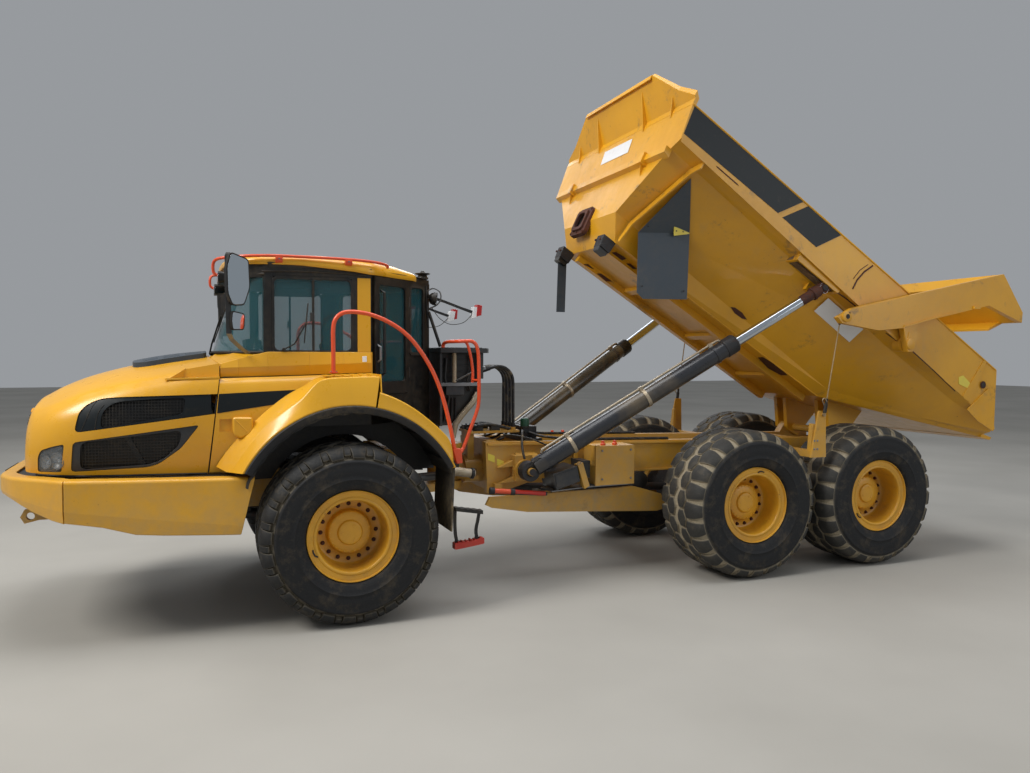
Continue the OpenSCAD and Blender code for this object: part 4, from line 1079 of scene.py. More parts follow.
    # black rubber strip along the bottom of the hood; its black is also painted shade for the dark line between hood
    # and bumper
    rb = Build("rubber")
    rb.tube([W(2.44, 0.885, 1.362), W(2.32, 0.98, 1.358), W(2.10, 1.055, 1.352), W(1.80, 1.075, 1.345), W(1.45, 1.078, 1.338), W(1.16, 1.073, 1.330)], 0.010, 8)
    rb.done("hood_seal_painted_shade_%s" % side, "hood", "black_rubber")

# slotted panel on the bonnet
top = raw(project(soften([(1.150, -0.585), (1.150, 0.585), (1.62, 0.60), (1.735, 0.54), (1.76, 0.42), (1.76, -0.42), (1.735, -0.54), (1.62, -0.60)], 0.05), hood_tree, (0, 0, -1), 0.06, -0.006, 0.050, "xy", "slate"), "bonnet_panel")
cb = Build("black")
for row, (x0, x1) in enumerate(((1.19, 1.33), (1.37, 1.51), (1.55, 1.68))):
    for k in range(15):
        y = -0.525 + k * 0.075
        cb.box((x0, y - 0.013, 2.0), (x1, y + 0.013, 2.6))
cut(top, raw(cb, "c"))
finish_piece(top, "hood", (), 0.010, 3, 50)
project(soften([(1.17, -0.56), (1.17, 0.56), (1.70, 0.54), (1.70, -0.54)], 0.04), hood_tree, (0, 0, -1), 0.1, 0.002, 0.010, "xy", "black").done("bonnet_panel_back", "hood", "dark_paint")

# grille: frame, mesh and bars
GX = lambda z: 2.514 - 0.012 * ((z - 1.4) / 0.45)
b = Build("yellow", "black", "plastic")
outer_ = rounded(0, 1.618, 1.180, 0.446, 0.05)
inner_ = rounded(0, 1.618, 1.080, 0.350, 0.035)
n_ = len(outer_)
pts = [V(GX(z), y, z) for y, z in outer_] + [V(GX(z) + 0.004, y * 0.99, z) for y, z in inner_] + [V(GX(z) - 0.05, y, z) for y, z in inner_] + [V(GX(z) - 0.05, y, z) for y, z in outer_]
b.faces(pts, [(j * n_ + i, j * n_ + (i + 1) % n_, ((j + 1) % 4) * n_ + (i + 1) % n_, ((j + 1) % 4) * n_ + i) for j in range(4) for i in range(n_)], "yellow")
b.loop_solid([[V(GX(z) - 0.052, y, z) for y, z in inner_], [V(GX(z) - 0.046, y, z) for y, z in inner_]], "black")
for k in range(9):
    z = 1.462 + k * 0.039
    b.loop_solid([[V(GX(z) - 0.040, -0.54, z), V(GX(z) - 0.006, -0.54, z - 0.006), V(GX(z) - 0.006, -0.54, z + 0.006), V(GX(z) - 0.040, -0.54, z + 0.012)],
                  [V(GX(z) - 0.040, 0.54, z), V(GX(z) - 0.006, 0.54, z - 0.006), V(GX(z) - 0.006, 0.54, z + 0.006), V(GX(z) - 0.040, 0.54, z + 0.012)]], "black")
for y in (-0.27, 0, 0.27):
    b.box((GX(1.6) - 0.045, y - 0.012, 1.445), (GX(1.6) - 0.012, y + 0.012, 1.79), "plastic")
b.done("grille_detail", "grille", "yellow_paint", ("grille",), bevel=0.004)

# ------------------------------------------------------------------ bumper
def bumper_section(x, y, nx, ny, zb, zf, zt, xr=None):
    """outside in: bottom return, bottom, fold, top, rounding, top return; nx, ny points inwards"""
    q = [(0.10, zb + 0.004), (0.022, zb), (0.010, zb + 0.006), (0.0, zf), (0.0, zf + 0.004), (0.0, zt - 0.030), (0.004, zt - 0.016), (0.014, zt - 0.005), (0.030, zt), (0.115, zt + 0.002), (0.115, zt - 0.016), (0.020, zt - 0.030), (0.016, zf), (0.10, zb + 0.02)]
    out = []
    for d, z in q:
        out.append((x + nx * d + (xr(z) if xr else 0), y + ny * d, z))
    return out


slant = lambda z: 0.0 + (1.311 - z) * 0.24
SIDE_B = [(0.790, 1.300, 0, -1, 0.834, 0.906, 1.311, slant), (0.960, 1.300, 0, -1, 0.836, 0.918, 1.313, None), (1.291, 1.300, 0, -1, 0.857, 0.966, 1.321, None), (1.50, 1.300, 0, -1, 0.872, 0.996, 1.327, None),
          (1.696, 1.300, 0, -1, 0.893, 1.026, 1.333, None), (1.80, 1.300, 0, -1, 0.925, 1.042, 1.336, None), (1.929, 1.300, 0, -1, 0.966, 1.062, 1.340, None), (2.05, 1.300, 0, -1, 0.990, 1.082, 1.345, None), (2.196, 1.300, 0, -1, 1.018, 1.106, 1.350, None)]
FRONT_B = [(2.206, 1.300, -0.35, -0.93, 1.014, 1.108, 1.350, None), (2.30, 1.212, -0.70, -0.71, 1.030, 1.122, 1.351, None), (2.45, 1.066, -0.70, -0.71, 1.080, 1.150, 1.350, None), (2.560, 0.955, -0.78, -0.62, 1.130, 1.180, 1.348, None),
           (2.625, 0.865, -0.88, -0.47, 1.158, 1.195, 1.345, None), (2.690, 0.730, -0.92, -0.39, 1.170, 1.205, 1.342, None), (2.740, 0.610, -0.95, -0.30, 1.176, 1.212, 1.340, None), (2.760, 0.520, -1, -0.1, 1.178, 1.214, 1.340, None), (2.764, 0.25, -1, 0, 1.178, 1.214, 1.340, None), (2.764, 0, -1, 0, 1.178, 1.214, 1.340, None)]
for side, s in SIDES:
    b = Build("yellow_low")
    b.loft([[V(x, s * y, z) for x, y, z in bumper_section(*st)] for st in SIDE_B], "yellow_low")
    b.done("bumper_%s" % side, "front_unit", "yellow_paint", ("bumper",) if s > 0 else (), bevel=0.004, seg=2, angle=35)
    bb = Build("black", "iron")
    # brackets inside
    for x in (1.15, 1.95):
        bb.box((x, min(s * 0.46, s * 1.27), 1.08), (x + 0.06, max(s * 0.46, s * 1.27), 1.20), "iron")
    bb.done("bumper_brackets_%s" % side, "front_unit", "dark_paint", bevel=0.004)
b = Build("yellow_low")
half = [bumper_section(*st) for st in FRONT_B]
full = [[V(*p) for p in st] for st in half] + [[V(x, -y, z) for x, y, z in st] for st in reversed(half[:-1])]
b.loft(full, "yellow_low")
b.done("bumper_front", "front_unit", "yellow_paint", bevel=0.004, seg=2, angle=35)
b = Build("black", "plastic", "yellow_low")
# deck under the hood, black as painted shade for the dark gap between hood and bumper, and belly plate in the nose
deck = [(0.80, 1.19), (2.19, 1.19), (2.50, 0.88), (2.65, 0.56), (2.65, -0.56), (2.50, -0.88), (2.19, -1.19), (0.80, -1.19)]
ring_in = [(0.82, 1.06), (2.0, 1.06), (2.34, 0.80), (2.42, 0.5), (2.42, -0.5), (2.34, -0.80), (2.0, -1.06), (0.82, -1.06)]
n_ = len(deck)
pts = [V(x, y, 1.322) for x, y in deck] + [V(x, y, 1.322) for x, y in ring_in] + [V(x, y, 1.312) for x, y in ring_in] + [V(x, y, 1.312) for x, y in deck]
b.faces(pts, [(j * n_ + i, j * n_ + (i + 1) % n_, ((j + 1) % 4) * n_ + (i + 1) % n_, ((j + 1) % 4) * n_ + i) for j in range(4) for i in range(n_)], "black")
b.prism_z([(2.20, 1.16), (2.50, 0.84), (2.66, 0.52), (2.66, -0.52), (2.50, -0.84), (2.20, -1.16), (2.10, -0.60), (2.10, 0.60)], 1.180, 1.188, "black")
b.done("bumper_inner", "front_unit", "dark_paint", bevel=0.002)
# number plate carrier, left blank
b = Build("plastic", "white_plate")
b.box((2.764, -0.27, 1.220), (2.772, 0.27, 1.332), "plastic")
b.done("plate_carrier", "front_unit", "dark_paint", bevel=0.003)


# ------------------------------------------------------------------ fenders
def seam_x(z):
    return 1.157 - 0.022 * 0 - 0.106 * (z - 1.338) / (2.232 - 1.338)


def zt(x):
    return 2.124 + (1.04 - x) * 0.0276


FEN = []
for x0, fr in ((None, 0.0), (0.95, 1), (0.70, 1), (0.40, 1), (0.10, 1), (-0.25, 1)):
    sec = []
    top_z = zt(1.04 if x0 is None else x0)
    for y, z in ((1.084, 1.338), (1.106, 1.55), (1.117, 1.75), (1.113, 1.95), (1.100, 2.03), (1.078, 2.085), (1.045, 2.116), (1.030, 2.122), (0.965, 2.123)):
        zz = z + (top_z - 2.123) * max(0, (z - 1.7) / 0.42)
        sec.append(((seam_x(z) - 0.013) if x0 is None else x0, y, zz))
    FEN.append(sec)

ACX, ACZ = -0.030, 0.865
FLARE = [  # angle, crest radius, crest y, inner radius, inner y
    (25.0, 1.130, 1.262, 1.236, 1.110), (35, 1.122, 1.268, 1.218, 1.114), (45, 1.125, 1.275, 1.206, 1.116), (55, 1.138, 1.295, 1.216, 1.118), (63, 1.155, 1.315, 1.238, 1.112), (68, 1.180, 1.330, 1.248, 1.108), (72.1, 1.228, 1.334, 1.262, 1.10),
    (77.4, 1.283, 1.336, 1.292, 1.06), (86.5, 1.274, 1.338, 1.279, 1.05), (93, 1.278, 1.338, 1.283, 1.05), (99.7, 1.293, 1.338, 1.297, 1.05)]
FLARE_R = [(100.6, 1.160, 1.372, 1.158, 1.09), (106, 1.146, 1.372, 1.142, 1.09), (113, 1.130, 1.372, 1.124, 1.09), (120, 1.115, 1.372, 1.110, 1.09), (127, 1.104, 1.372, 1.098, 1.09), (134, 1.101, 1.372, 1.095, 1.09), (140, 1.096, 1.370, 1.090, 1.09),
           (146, 1.052, 1.368, 1.046, 1.09), (150, 1.015, 1.366, 1.010, 1.09), (152.8, 0.992, 1.364, 0.988, 1.09)]


def lip_r(a):
    return 1.028 if a < 80 else 1.028 - (a - 80) * 0.0006


def arc_pt(a, r, y, s):
    return V(ACX + r * math.cos(math.radians(a)), s * y, ACZ + r * math.sin(math.radians(a)))


def flare_rows(table, steps):
    dense = spline([t for t in table], steps)
    rows_ = []
    for a, rc, yc, ri, yi in dense:
        lr = lip_r(a)
        rc, ri = max(rc, lr + 0.010), max(ri, lr + 0.004)
        k = 0.55
        rows_.append((a, [(lr - 0.004, 1.366), (lr + 0.002, 1.378), (lr + 0.010, 1.383), (lr + 0.020, 1.382), (lr + (rc - lr) * k, 1.378 + (yc - 1.378) * k ** 1.6), (rc - 0.012, yc + 0.004), (rc - 0.003, yc - 0.004), (rc + (ri - rc) * 0.08, yc - 0.022), (ri, yi)]))
    return rows_


for side, s in SIDES:
    b = Build("yellow")
    g = grid_of([spline(st, 1) for st in FEN], 4, 5)
    b.loft([[V(x, s * y, z) for x, y, z in r_] for r_ in g], "yellow", closed=False)
    pan = raw(b, "fender_panel_%s" % side, V(0.4, 0, 1.6))
    for p in pan.data.polygons:
        p.use_smooth = True
    fender_tree = tree(pan)
    s_ = pan.modifiers.new("thick", "SOLIDIFY")
    s_.thickness = 0.016
    s_.offset = -1
    apply_all(pan)
    # cut the wheel arch and the square recess out of the panel
    cb = Build("black")
    cb.lathe([(0, 0.7), (1.06, 0.7), (1.06, 1.5), (0, 1.5)], V(ACX, 0, ACZ), (0, s, 0), 96)
    cb.box((0.964, min(s * 0.9, s * 1.3), 1.680), (1.060, max(s * 0.9, s * 1.3), 1.783))
    cut(pan, raw(cb, "c"))
    finish_piece(pan, "front_unit", ("fenders",) if s > 0 else (), 0.003, 2, 50)
    # flare: front with the deck, then the crescent
    b = Build("yellow")
    for table in (FLARE, FLARE_R):
        rows_ = flare_rows(table, 3)
        outer_rows = [[arc_pt(a, r_, y, s) for r_, y in sec] for a, sec in rows_]
        inner_rows = [[arc_pt(a, r_ - (0.012 if 3 < i < 8 or i == 8 else 0.0), y - (0.012 if i < 6 else 0.0), s) for i, (r_, y) in enumerate(sec)] for a, sec in rows_]
        n1 = len(outer_rows[0])
        rings = [o + list(reversed(i_)) for o, i_ in zip(outer_rows, inner_rows)]
        b.loop_solid(rings, "yellow")
    fl = raw(b, "fender_flare_%s" % side)
    cb = Build("black")
    cb.box((0.80, min(s * 0.9, s * 1.5), 1.10), (1.40, max(s * 0.9, s * 1.5), 1.352))
    cut(fl, raw(cb, "c"))
    finish_piece(fl, "front_unit", (), 0.003, 2, 40)
    # end walls of the deck
    b = Build("yellow", "plastic", "white_plate", "rubber")
    W = lambda x, y, z: V(x, s * y, z)
    b.plate([W(-0.256, 1.372, 1.86), W(-0.256, 1.10, 1.86), W(-0.256, 1.03, 2.158), W(-0.256, 1.336, 2.156), W(-0.256, 1.372, 2.0)], 0.010, "yellow", True)
    # step surface on the deck
    for k in range(6):
        x0 = -0.235 + k * 0.078
        b.loop_solid([[W(x0, 1.06, zt(x0) - 0.006), W(x0 + 0.055, 1.06, zt(x0) - 0.006), W(x0 + 0.055, 1.31, 2.139), W(x0, 1.31, 2.141)], [W(x0, 1.06, zt(x0) + 0.004), W(x0 + 0.055, 1.06, zt(x0) + 0.004), W(x0 + 0.055, 1.31, 2.149), W(x0, 1.31, 2.151)]], "yellow")
    # blank plate on the flare
    b.loop_solid([[W(x, 1.3385, z) for x, z in ((-0.005, 1.905), (0.263, 1.903), (0.263, 1.998), (-0.005, 2.0))], [W(x, 1.3435, z) for x, z in ((-0.005, 1.905), (0.263, 1.903), (0.263, 1.998), (-0.005, 2.0))]], "white_plate")
    # square recess and its lug
    b.loop_solid([[W(x, 1.096, z) for x, z in ((0.955, 1.672), (1.068, 1.672), (1.068, 1.79), (0.955, 1.79))], [W(x, 1.100, z) for x, z in ((0.955, 1.672), (1.068, 1.672), (1.068, 1.79), (0.955, 1.79))]], "yellow")
    lug = soften([(0.958, 1.803), (0.794, 1.799), (0.795, 1.68), (0.840, 1.640), (0.90, 1.62), (0.945, 1.648), (0.959, 1.685)], 0.03)
    b.loop_solid([[W(x, 1.105, z) for x, z in lug], [W(x, 1.160, z) for x, z in lug], [W(x, 1.172, z) for x, z in shrink(lug, 0.014)]], "yellow")
    b.tube([W(0.945, 1.17, 1.79), W(0.83, 1.17, 1.665)], 0.006, 6, "yellow")
    b.done("fender_details_%s" % side, "front_unit", "yellow_paint", bevel=0.003)
    # rubber lip
    b = Build("rubber")
    rows_ = []
    for k in range(73):
        a = 28.4 + (152.0 - 28.4) * k / 72
        lr = lip_r(a)
        w_ = 0.060 if a < 130 else 0.060 - (a - 130) * 0.0008
        rows_.append([arc_pt(a, r_, y, s) for r_, y in ((lr + 0.006, 1.368), (lr + 0.004, 1.385), (lr - 0.006, 1.392), (lr - w_ * 0.75, 1.385), (lr - w_, 1.374), (lr - w_, 1.362), (lr - w_ * 0.6, 1.358), (lr - 0.01, 1.360))])
    b.loop_solid(rows_, "rubber")
    b.done("fender_lip_%s" % side, "front_unit", "black_rubber", bevel=0.0)
    # dark liner inside the arch and black wall behind the wheel: painted shade, standing in for the inner fender's
    # yellow in shadow
    b = Build("flap", "black")
    rows_ = []
    for k in range(61):
        a = 22 + (156 - 22) * k / 60
        w_ = 0.006 * math.sin(a * 0.8)
        rows_.append([arc_pt(a, 0.955 + w_, 1.365, s), arc_pt(a, 0.975 + w_, 1.362, s), arc_pt(a, 0.972 + w_, 1.0, s), arc_pt(a, 0.968, 0.66, s), arc_pt(a, 0.958, 0.66, s), arc_pt(a, 0.958 + w_, 1.0, s)])
    b.loop_solid(rows_, "flap")
    for a in (40, 62, 84, 106, 128, 146):
        rows_ = [[arc_pt(a + da, rr, y, s) for rr in (0.950, 0.957)] for da, y in ((-0.6, 0.68), (0.6, 0.68))]
        b.tube([arc_pt(a, 0.953, 0.68, s), arc_pt(a, 0.953, 1.34, s)], 0.007, 6, "flap")
    b.done("arch_liner_painted_shade_%s" % side, "front_unit", "dark_paint")
    b = Build("black", "iron")
    wall = arc(ACX, ACZ, 0.965, 20, 158, 30)
    b.prism([(x, z) for x, z in wall] + arc(ACX, ACZ, 0.72, 150, 28, 20), s * 0.655, s * 0.667, "black")
    b.done("arch_wall_painted_shade_%s" % side, "front_unit", "dark_paint")
    # charcoal band behind the seam
    band = project(soften([(1.062, 1.996), (0.700, 2.012), (0.335, 2.027), (0.40, 1.990), (0.48, 1.945), (0.588, 1.903), (1.078, 1.834)], 0.006, 2), fender_tree, (0, -s, 0), 0.05, 0.0012, 0.0012, mat="decal")
    band.done("side_band_%s" % side, "front_unit", "dark_paint")
    # seam strip between hood and fender
    b = Build("rubber")
    b.tube([V(seam_x(z) - 0.006, s * y, z) for y, z in ((1.070, 1.338), (1.090, 1.55), (1.100, 1.75), (1.096, 1.95), (1.070, 2.06), (1.040, 2.11))], 0.0075, 8)
    b.done("seam_seal_%s" % side, "front_unit", "black_rubber")


# ------------------------------------------------------------------ cab
def cad_look(name, mats, bevel=0.0, seg=2, angle=40):
    """a node whose shape is right keeps its mesh and gets a material and soft edges"""
    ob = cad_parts[name]
    ob.data.materials.clear()
    for mt in mats if isinstance(mats, (list, tuple)) else (mats,):
        ob.data.materials.append(M[mt])
    for sl_ in ob.material_slots:
        sl_.link = "DATA"
    if bevel:
        bv = ob.modifiers.new("bevel", "BEVEL")
        bv.width = bevel
        bv.segments = seg
        bv.limit_method = "ANGLE"
        bv.angle_limit = math.radians(angle)
        w = ob.modifiers.new("normals", "WEIGHTED_NORMAL")
        w.weight = 60
    return ob


cad_look("cab_shell", "black", 0.006)
cad_look("cab_door", "black", 0.006)
cad_look("door_glass", "glass")
cad_look("cab_dash", "plastic", 0.012, 3)


def roof_low(x):
    pts = ((-1.06, 3.046), (-0.78, 3.048), (-0.24, 3.052), (-0.10, 3.072), (0.378, 3.110), (1.10, 3.110))
    for (a_, za), (c_, zc) in zip(pts, pts[1:]):
        if x <= c_:
            return za + (zc - za) * max(0, (x - a_)) / (c_ - a_)
    return pts[-1][1]


def roof_top(x):
    pts = ((-0.85, 3.128), (-0.70, 3.155), (-0.55, 3.185), (-0.25, 3.222), (0.15, 3.236), (0.55, 3.230), (0.85, 3.198), (1.02, 3.160))
    for (a_, za), (c_, zc) in zip(pts, pts[1:]):
        if x <= c_:
            return za + (zc - za) * max(0, (x - a_)) / (c_ - a_)
    return pts[-1][1]


plan = spline([(1.020, 0.0), (1.012, 0.35), (0.985, 0.60), (0.910, 0.79), (0.780, 0.915), (0.60, 0.972), (0.35, 0.985), (0.0, 0.985), (-0.235, 0.980), (-0.345, 0.905), (-0.55, 0.730), (-0.72, 0.590), (-0.775, 0.530), (-0.805, 0.44), (-0.815, 0.25), (-0.815, 0.0)], 4)
loop_ = plan + [(x, -y) for x, y in reversed(plan[1:-1])]
prof = [(0.050, 0.0, 0.004), (0.006, 0.0, 0.0), (0.0, 0.0, 0.005), (0.0, 0.0, 0.034), (0.004, 0.0, 0.044), (0.018, 0.20, 0.052), (0.045, 0.42, 0.052), (0.10, 0.66, 0.052), (0.20, 0.84, 0.052), (0.38, 0.95, 0.052), (0.62, 1.0, 0.052), (0.93, 1.0, 0.052)]
rings = []
for f_, up_, base_ in prof:
    ring = []
    for x, y in loop_:
        xc = max(-0.55, min(0.55, x))
        px, py = x * (1 - f_) + xc * f_, y * (1 - f_)
        ring.append(V(px, py, (roof_low(x) + base_) * (1 - up_) + max(roof_top(px), roof_low(x) + base_) * up_))
    rings.append(ring)
b = Build("yellow", "black")
b.loop_solid(rings, "yellow")
b.done("cab_roof", "front_unit", "yellow_paint", bevel=0.0, angle=60)
# hatch pressed in the roof
b = Build("yellow", "black")
hatch = rounded(0.0, 0, 0.62, 0.70, 0.08)
b.loop_solid([[V(x, y, roof_top(x) - 0.020) for x, y in hatch], [V(x, y, roof_top(x) + 0.012) for x, y in hatch], [V(x * 0.97 - 0.003, y * 0.96, roof_top(x) + 0.020) for x, y in hatch]], "yellow")
# dish lamp and its funnel at the rear of the roof
b.lathe([(0.0, 0.0), (0.055, 0.0), (0.060, 0.012), (0.048, 0.030), (0.030, 0.060), (0.012, 0.085), (0.0, 0.087)], V(-0.876, 0.42, 3.082), (0, 0, 1), 28, "black")
b.lathe([(0.0, 0.040), (0.030, 0.048), (0.072, 0.060), (0.078, 0.058), (0.076, 0.052), (0.034, 0.036), (0.0, 0.030)], V(-0.876, 0.42, 3.082), (0, 0, 1), 28, "black")
b.done("roof_fittings", "front_unit", "yellow_paint", bevel=0.004)

# sill panels, pillars
b = Build("yellow", "black", "rubber", "plastic", "white_plate")
for s in (1, -1):
    W = lambda x, y, z: V(x, s * y, z)
    cr_z = lambda x: 2.208 + (1.04 - x) * 0.034
    xs_ = [1.046, 0.90, 0.655, 0.30, 0.0, -0.246]
    for x0, x1 in zip(xs_, xs_[1:]):
        def sec(x):
            top_ = 2.352 if x < 0.70 else 2.352 - (x - 0.70) * 0.30
            return [W(x, 0.945, zt(x) + 0.006), W(x, 0.9605, zt(x) + 0.006), W(x, 0.9840, cr_z(x)), W(x, 0.9825, cr_z(x) + 0.008), W(x, 0.9610, top_ - 0.006), W(x, 0.9560, top_), W(x, 0.905, top_), W(x, 0.905, zt(x) + 0.006)]
        b.loop_solid([sec(x0), sec(x1)], "yellow")
    # shoulder between the side panel and the foot of the windscreen
    A, B_, C_, D_, E_, F_ = (1.046, 0.957, 2.246), (0.655, 0.957, 2.350), (0.672, 0.890, 2.352), (0.93, 0.795, 2.348), (1.075, 0.540, 2.334), (1.118, 0.600, 2.296)
    top_ = [W(*p) for p in (A, B_, C_, D_, E_, F_)]
    b.loop_solid([top_, [p - Vector((0, 0, 0.05)) for p in top_]], "yellow")
    # rear edge of the panel and the yellow pillar behind the side window
    b.box((-0.262, min(s * 0.90, s * 0.957), 2.130), (-0.246, max(s * 0.90, s * 0.957), 2.352), "yellow")
    b.loop_solid([[W(x, 0.9490, z), W(x, 0.9590, z)] + [W(x2, 0.9590, z), W(x2, 0.9490, z)] for x, x2, z in ((-0.128, -0.246, 2.352), (-0.128, -0.246, 2.60), (-0.128, -0.246, 3.020))], "yellow")
    # dark line where the panel meets the fender
    b.box((-0.262, min(s * 0.93, s * 0.970), 2.118), (1.030, max(s * 0.93, s * 0.970), 2.136), "rubber")
    # frame round the side window
    win = rounded(0.263, 2.678, 0.712, 0.672, 0.055)
    hole = rounded(0.263, 2.678, 0.664, 0.624, 0.042)
    frame_ring(b, win, hole, s * 0.944, s * 0.9545, "black", V)
    b.box((0.254, min(s * 0.940, s * 0.957), 2.36), (0.274, max(s * 0.940, s * 0.957), 3.0), "black")
    b.box((0.262, min(s * 0.956, s * 0.961), 2.62), (0.292, max(s * 0.956, s * 0.961), 2.70), "plastic")
    # rain gutter over the window
    b.tube([W(0.70, 0.957, 3.048), W(0.40, 0.962, 3.060), W(0.0, 0.962, 3.056), W(-0.20, 0.962, 3.040)], 0.0085, 8, "black")
    # pillar beside the windscreen
    b.loop_solid([[W(x0, 0.951, z), W(x0 - 0.058, 0.9525, z), W(x0 - 0.058, 0.90, z), W(x0, 0.90, z)] for x0, z in ((0.688, 2.352), (0.688, 2.70), (0.676, 3.060))], "black")
# small blank label behind the window
b.loop_solid([[V(x, 0.959, z) for x, z in ((-0.165, 2.262), (-0.205, 2.263), (-0.206, 2.315), (-0.166, 2.314))], [V(x, 0.9835 if z < 2.28 else 0.9735, z) for x, z in ((-0.165, 2.262), (-0.205, 2.263), (-0.206, 2.315), (-0.166, 2.314))]], "white_plate")
b.done("cab_panels", "front_unit", "yellow_paint", bevel=0.003, angle=30)

# header band under the roof, all round
b = Build("black")
hp = spline([(0.985, 0.0), (0.970, 0.40), (0.925, 0.68), (0.845, 0.82), (0.72, 0.915), (0.60, 0.952), (0.20, 0.957), (-0.24, 0.955)], 4)
hl = hp + [(-0.906, 0.402), (-0.965, 0.350), (-0.965, 0.0)]
hl = hl + [(x, -y) for x, y in reversed(hl[1:-1])]
b.loop_solid([[V(x, y, max(3.022, 0)) if x > -0.26 else V(x, y, 2.992) for x, y in hl], [V(x, y, 3.125 if x > 0.3 else 3.09) if x > -0.26 else V(x, y, 3.04) for x, y in hl]], "black", caps=False)
inner_hl = [(x * 0.975, y * 0.975) for x, y in hl]
b.loop_solid([[V(x, y, 3.022) if x > -0.26 else V(x, y, 2.992) for x, y in inner_hl], [V(x, y, 3.10) for x, y in inner_hl]], "black", caps=False)
n_ = len(hl)
b.faces([V(x, y, 3.022) if x > -0.26 else V(x, y, 2.992) for x, y in hl] + [V(x, y, 3.022) if x > -0.26 else V(x, y, 2.992) for x, y in inner_hl], [(i, (i + 1) % n_, n_ + (i + 1) % n_, n_ + i) for i in range(n_)], "black")
b.done("cab_header", "front_unit", "dark_paint", angle=30)
# headliner
b = Build("headliner")
b.loop_solid([[V(x * 0.93, y * 0.93, 3.006) for x, y in hl], [V(x * 0.93, y * 0.93, 3.016) for x, y in hl]], "headliner")
b.box((0.05, -0.55, 2.94), (0.55, 0.55, 3.006), "headliner")
b.done("cab_headliner", "front_unit", "dark_paint", bevel=0.006)

# panes
b = Build("glass", "rubber")
rows_g = []
for j in range(15):
    z = 2.347 + (3.028 - 2.347) * j / 14
    xf = 1.098 - (z - 2.32) * 0.2917
    row = []
    for i in range(49):
        y = -0.940 + 1.880 * i / 48
        row.append(V(xf - (xf - 0.668) * (abs(y) / 0.940) ** 6, y, z))
    rows_g.append(row)
front_rows = rows_g
back_rows = [[p + Vector((-0.006, 0, 0)) for p in row] for row in rows_g]
n_ = 49
pts = [p for row in front_rows for p in row] + [p for row in back_rows for p in row]
m_ = 15 * n_
quads = []
for j in range(14):
    for i in range(n_ - 1):
        quads.append((j * n_ + i, j * n_ + i + 1, (j + 1) * n_ + i + 1, (j + 1) * n_ + i))
        quads.append((m_ + j * n_ + i + 1, m_ + j * n_ + i, m_ + (j + 1) * n_ + i, m_ + (j + 1) * n_ + i + 1))
for i in range(n_ - 1):
    quads.append((i + 1, i, m_ + i, m_ + i + 1))
    quads.append((14 * n_ + i, 14 * n_ + i + 1, m_ + 14 * n_ + i + 1, m_ + 14 * n_ + i))
for j in range(14):
    quads.append((j * n_, (j + 1) * n_, m_ + (j + 1) * n_, m_ + j * n_))
    quads.append(((j + 1) * n_ + n_ - 1, j * n_ + n_ - 1, m_ + j * n_ + n_ - 1, m_ + (j + 1) * n_ + n_ - 1))
b.faces(pts, quads, "glass")
for s in (1, -1):
    y0, y1 = sorted((s * 0.934, s * 0.940))
    for x0, x1 in ((-0.070, 0.255), (0.273, 0.596)):
        b.prism(rounded((x0 + x1) / 2, 2.678, x1 - x0, 0.628, 0.02), y0, y1, "glass")
b.prism_x(rounded(0, 2.655, 0.61, 0.62, 0.05), -0.952, -0.946, "glass")
for s, w0, w1 in ((1, 0.72, 0.97), (-1, 0.08, 0.60)):
    dx_, dy_ = -0.76380, -0.64546
    nx_, ny_ = -0.64546, 0.76380
    for lo_, hi_ in ((w0 * 0.851 - 0.01, w1 * 0.851 + 0.01),):
        q = []
        for u_, z in ((lo_, 2.34), (hi_, 2.34), (hi_, 3.0), (lo_, 3.0)):
            q.append(V(-0.250 + dx_ * u_ - nx_ * 0.018, s * (0.950 + dy_ * u_ - ny_ * 0.018), z))
        b.plate(q, 0.006, "glass", True)
b.done("cab_panes", "front_unit", "window_glass", replaces=("cab_glass",), angle=40)

b = Build("rubber", "black", "plastic")
b.tube(front_rows[0], 0.013, 8, "rubber")
b.tube([p + Vector((0.002, 0, 0)) for p in front_rows[-1]], 0.013, 8, "rubber")
for i in (0, 48):
    b.tube([row[i] for row in front_rows], 0.012, 8, "rubber")
# wipers: long one in front, one on the left side pane
b.tube([V(1.115, 0.10, 2.335), V(1.095, 0.16, 2.43), V(1.020, 0.42, 2.68)], 0.008, 8, "black")
b.tube([front_rows[2][24 + 3] + Vector((0.014, 0, 0)), front_rows[7][24 + 11] + Vector((0.012, 0, 0)), front_rows[11][24 + 15] + Vector((0.010, 0, 0))], 0.006, 6, "rubber")
b.disc(V(1.085, 0.10, 2.335), (1, 0, 0.25), 0.022, 0.03, "black")
b.tube([V(0.52, 0.962, 2.372), V(0.43, 0.972, 2.42), V(0.33, 0.966, 2.60)], 0.006, 6, "black")
b.tube([V(0.345, 0.962, 2.43), V(0.31, 0.962, 2.78)], 0.0055, 6, "rubber")
b.disc(V(0.52, 0.955, 2.372), (0, 1, 0), 0.016, 0.02, "black")
b.done("wipers_and_seals", "front_unit", "black_rubber", bevel=0.0, angle=50)

# door trim: hinges, handle, kick plate, seal; the door turns
DD, DN = Vector((-0.76380, -0.64546, 0)), Vector((-0.64546, 0.76380, 0))


def DP(u_, n, z):
    p = Vector((-0.250 + OX, 0.950, z)) + DD * u_ + DN * n
    return p


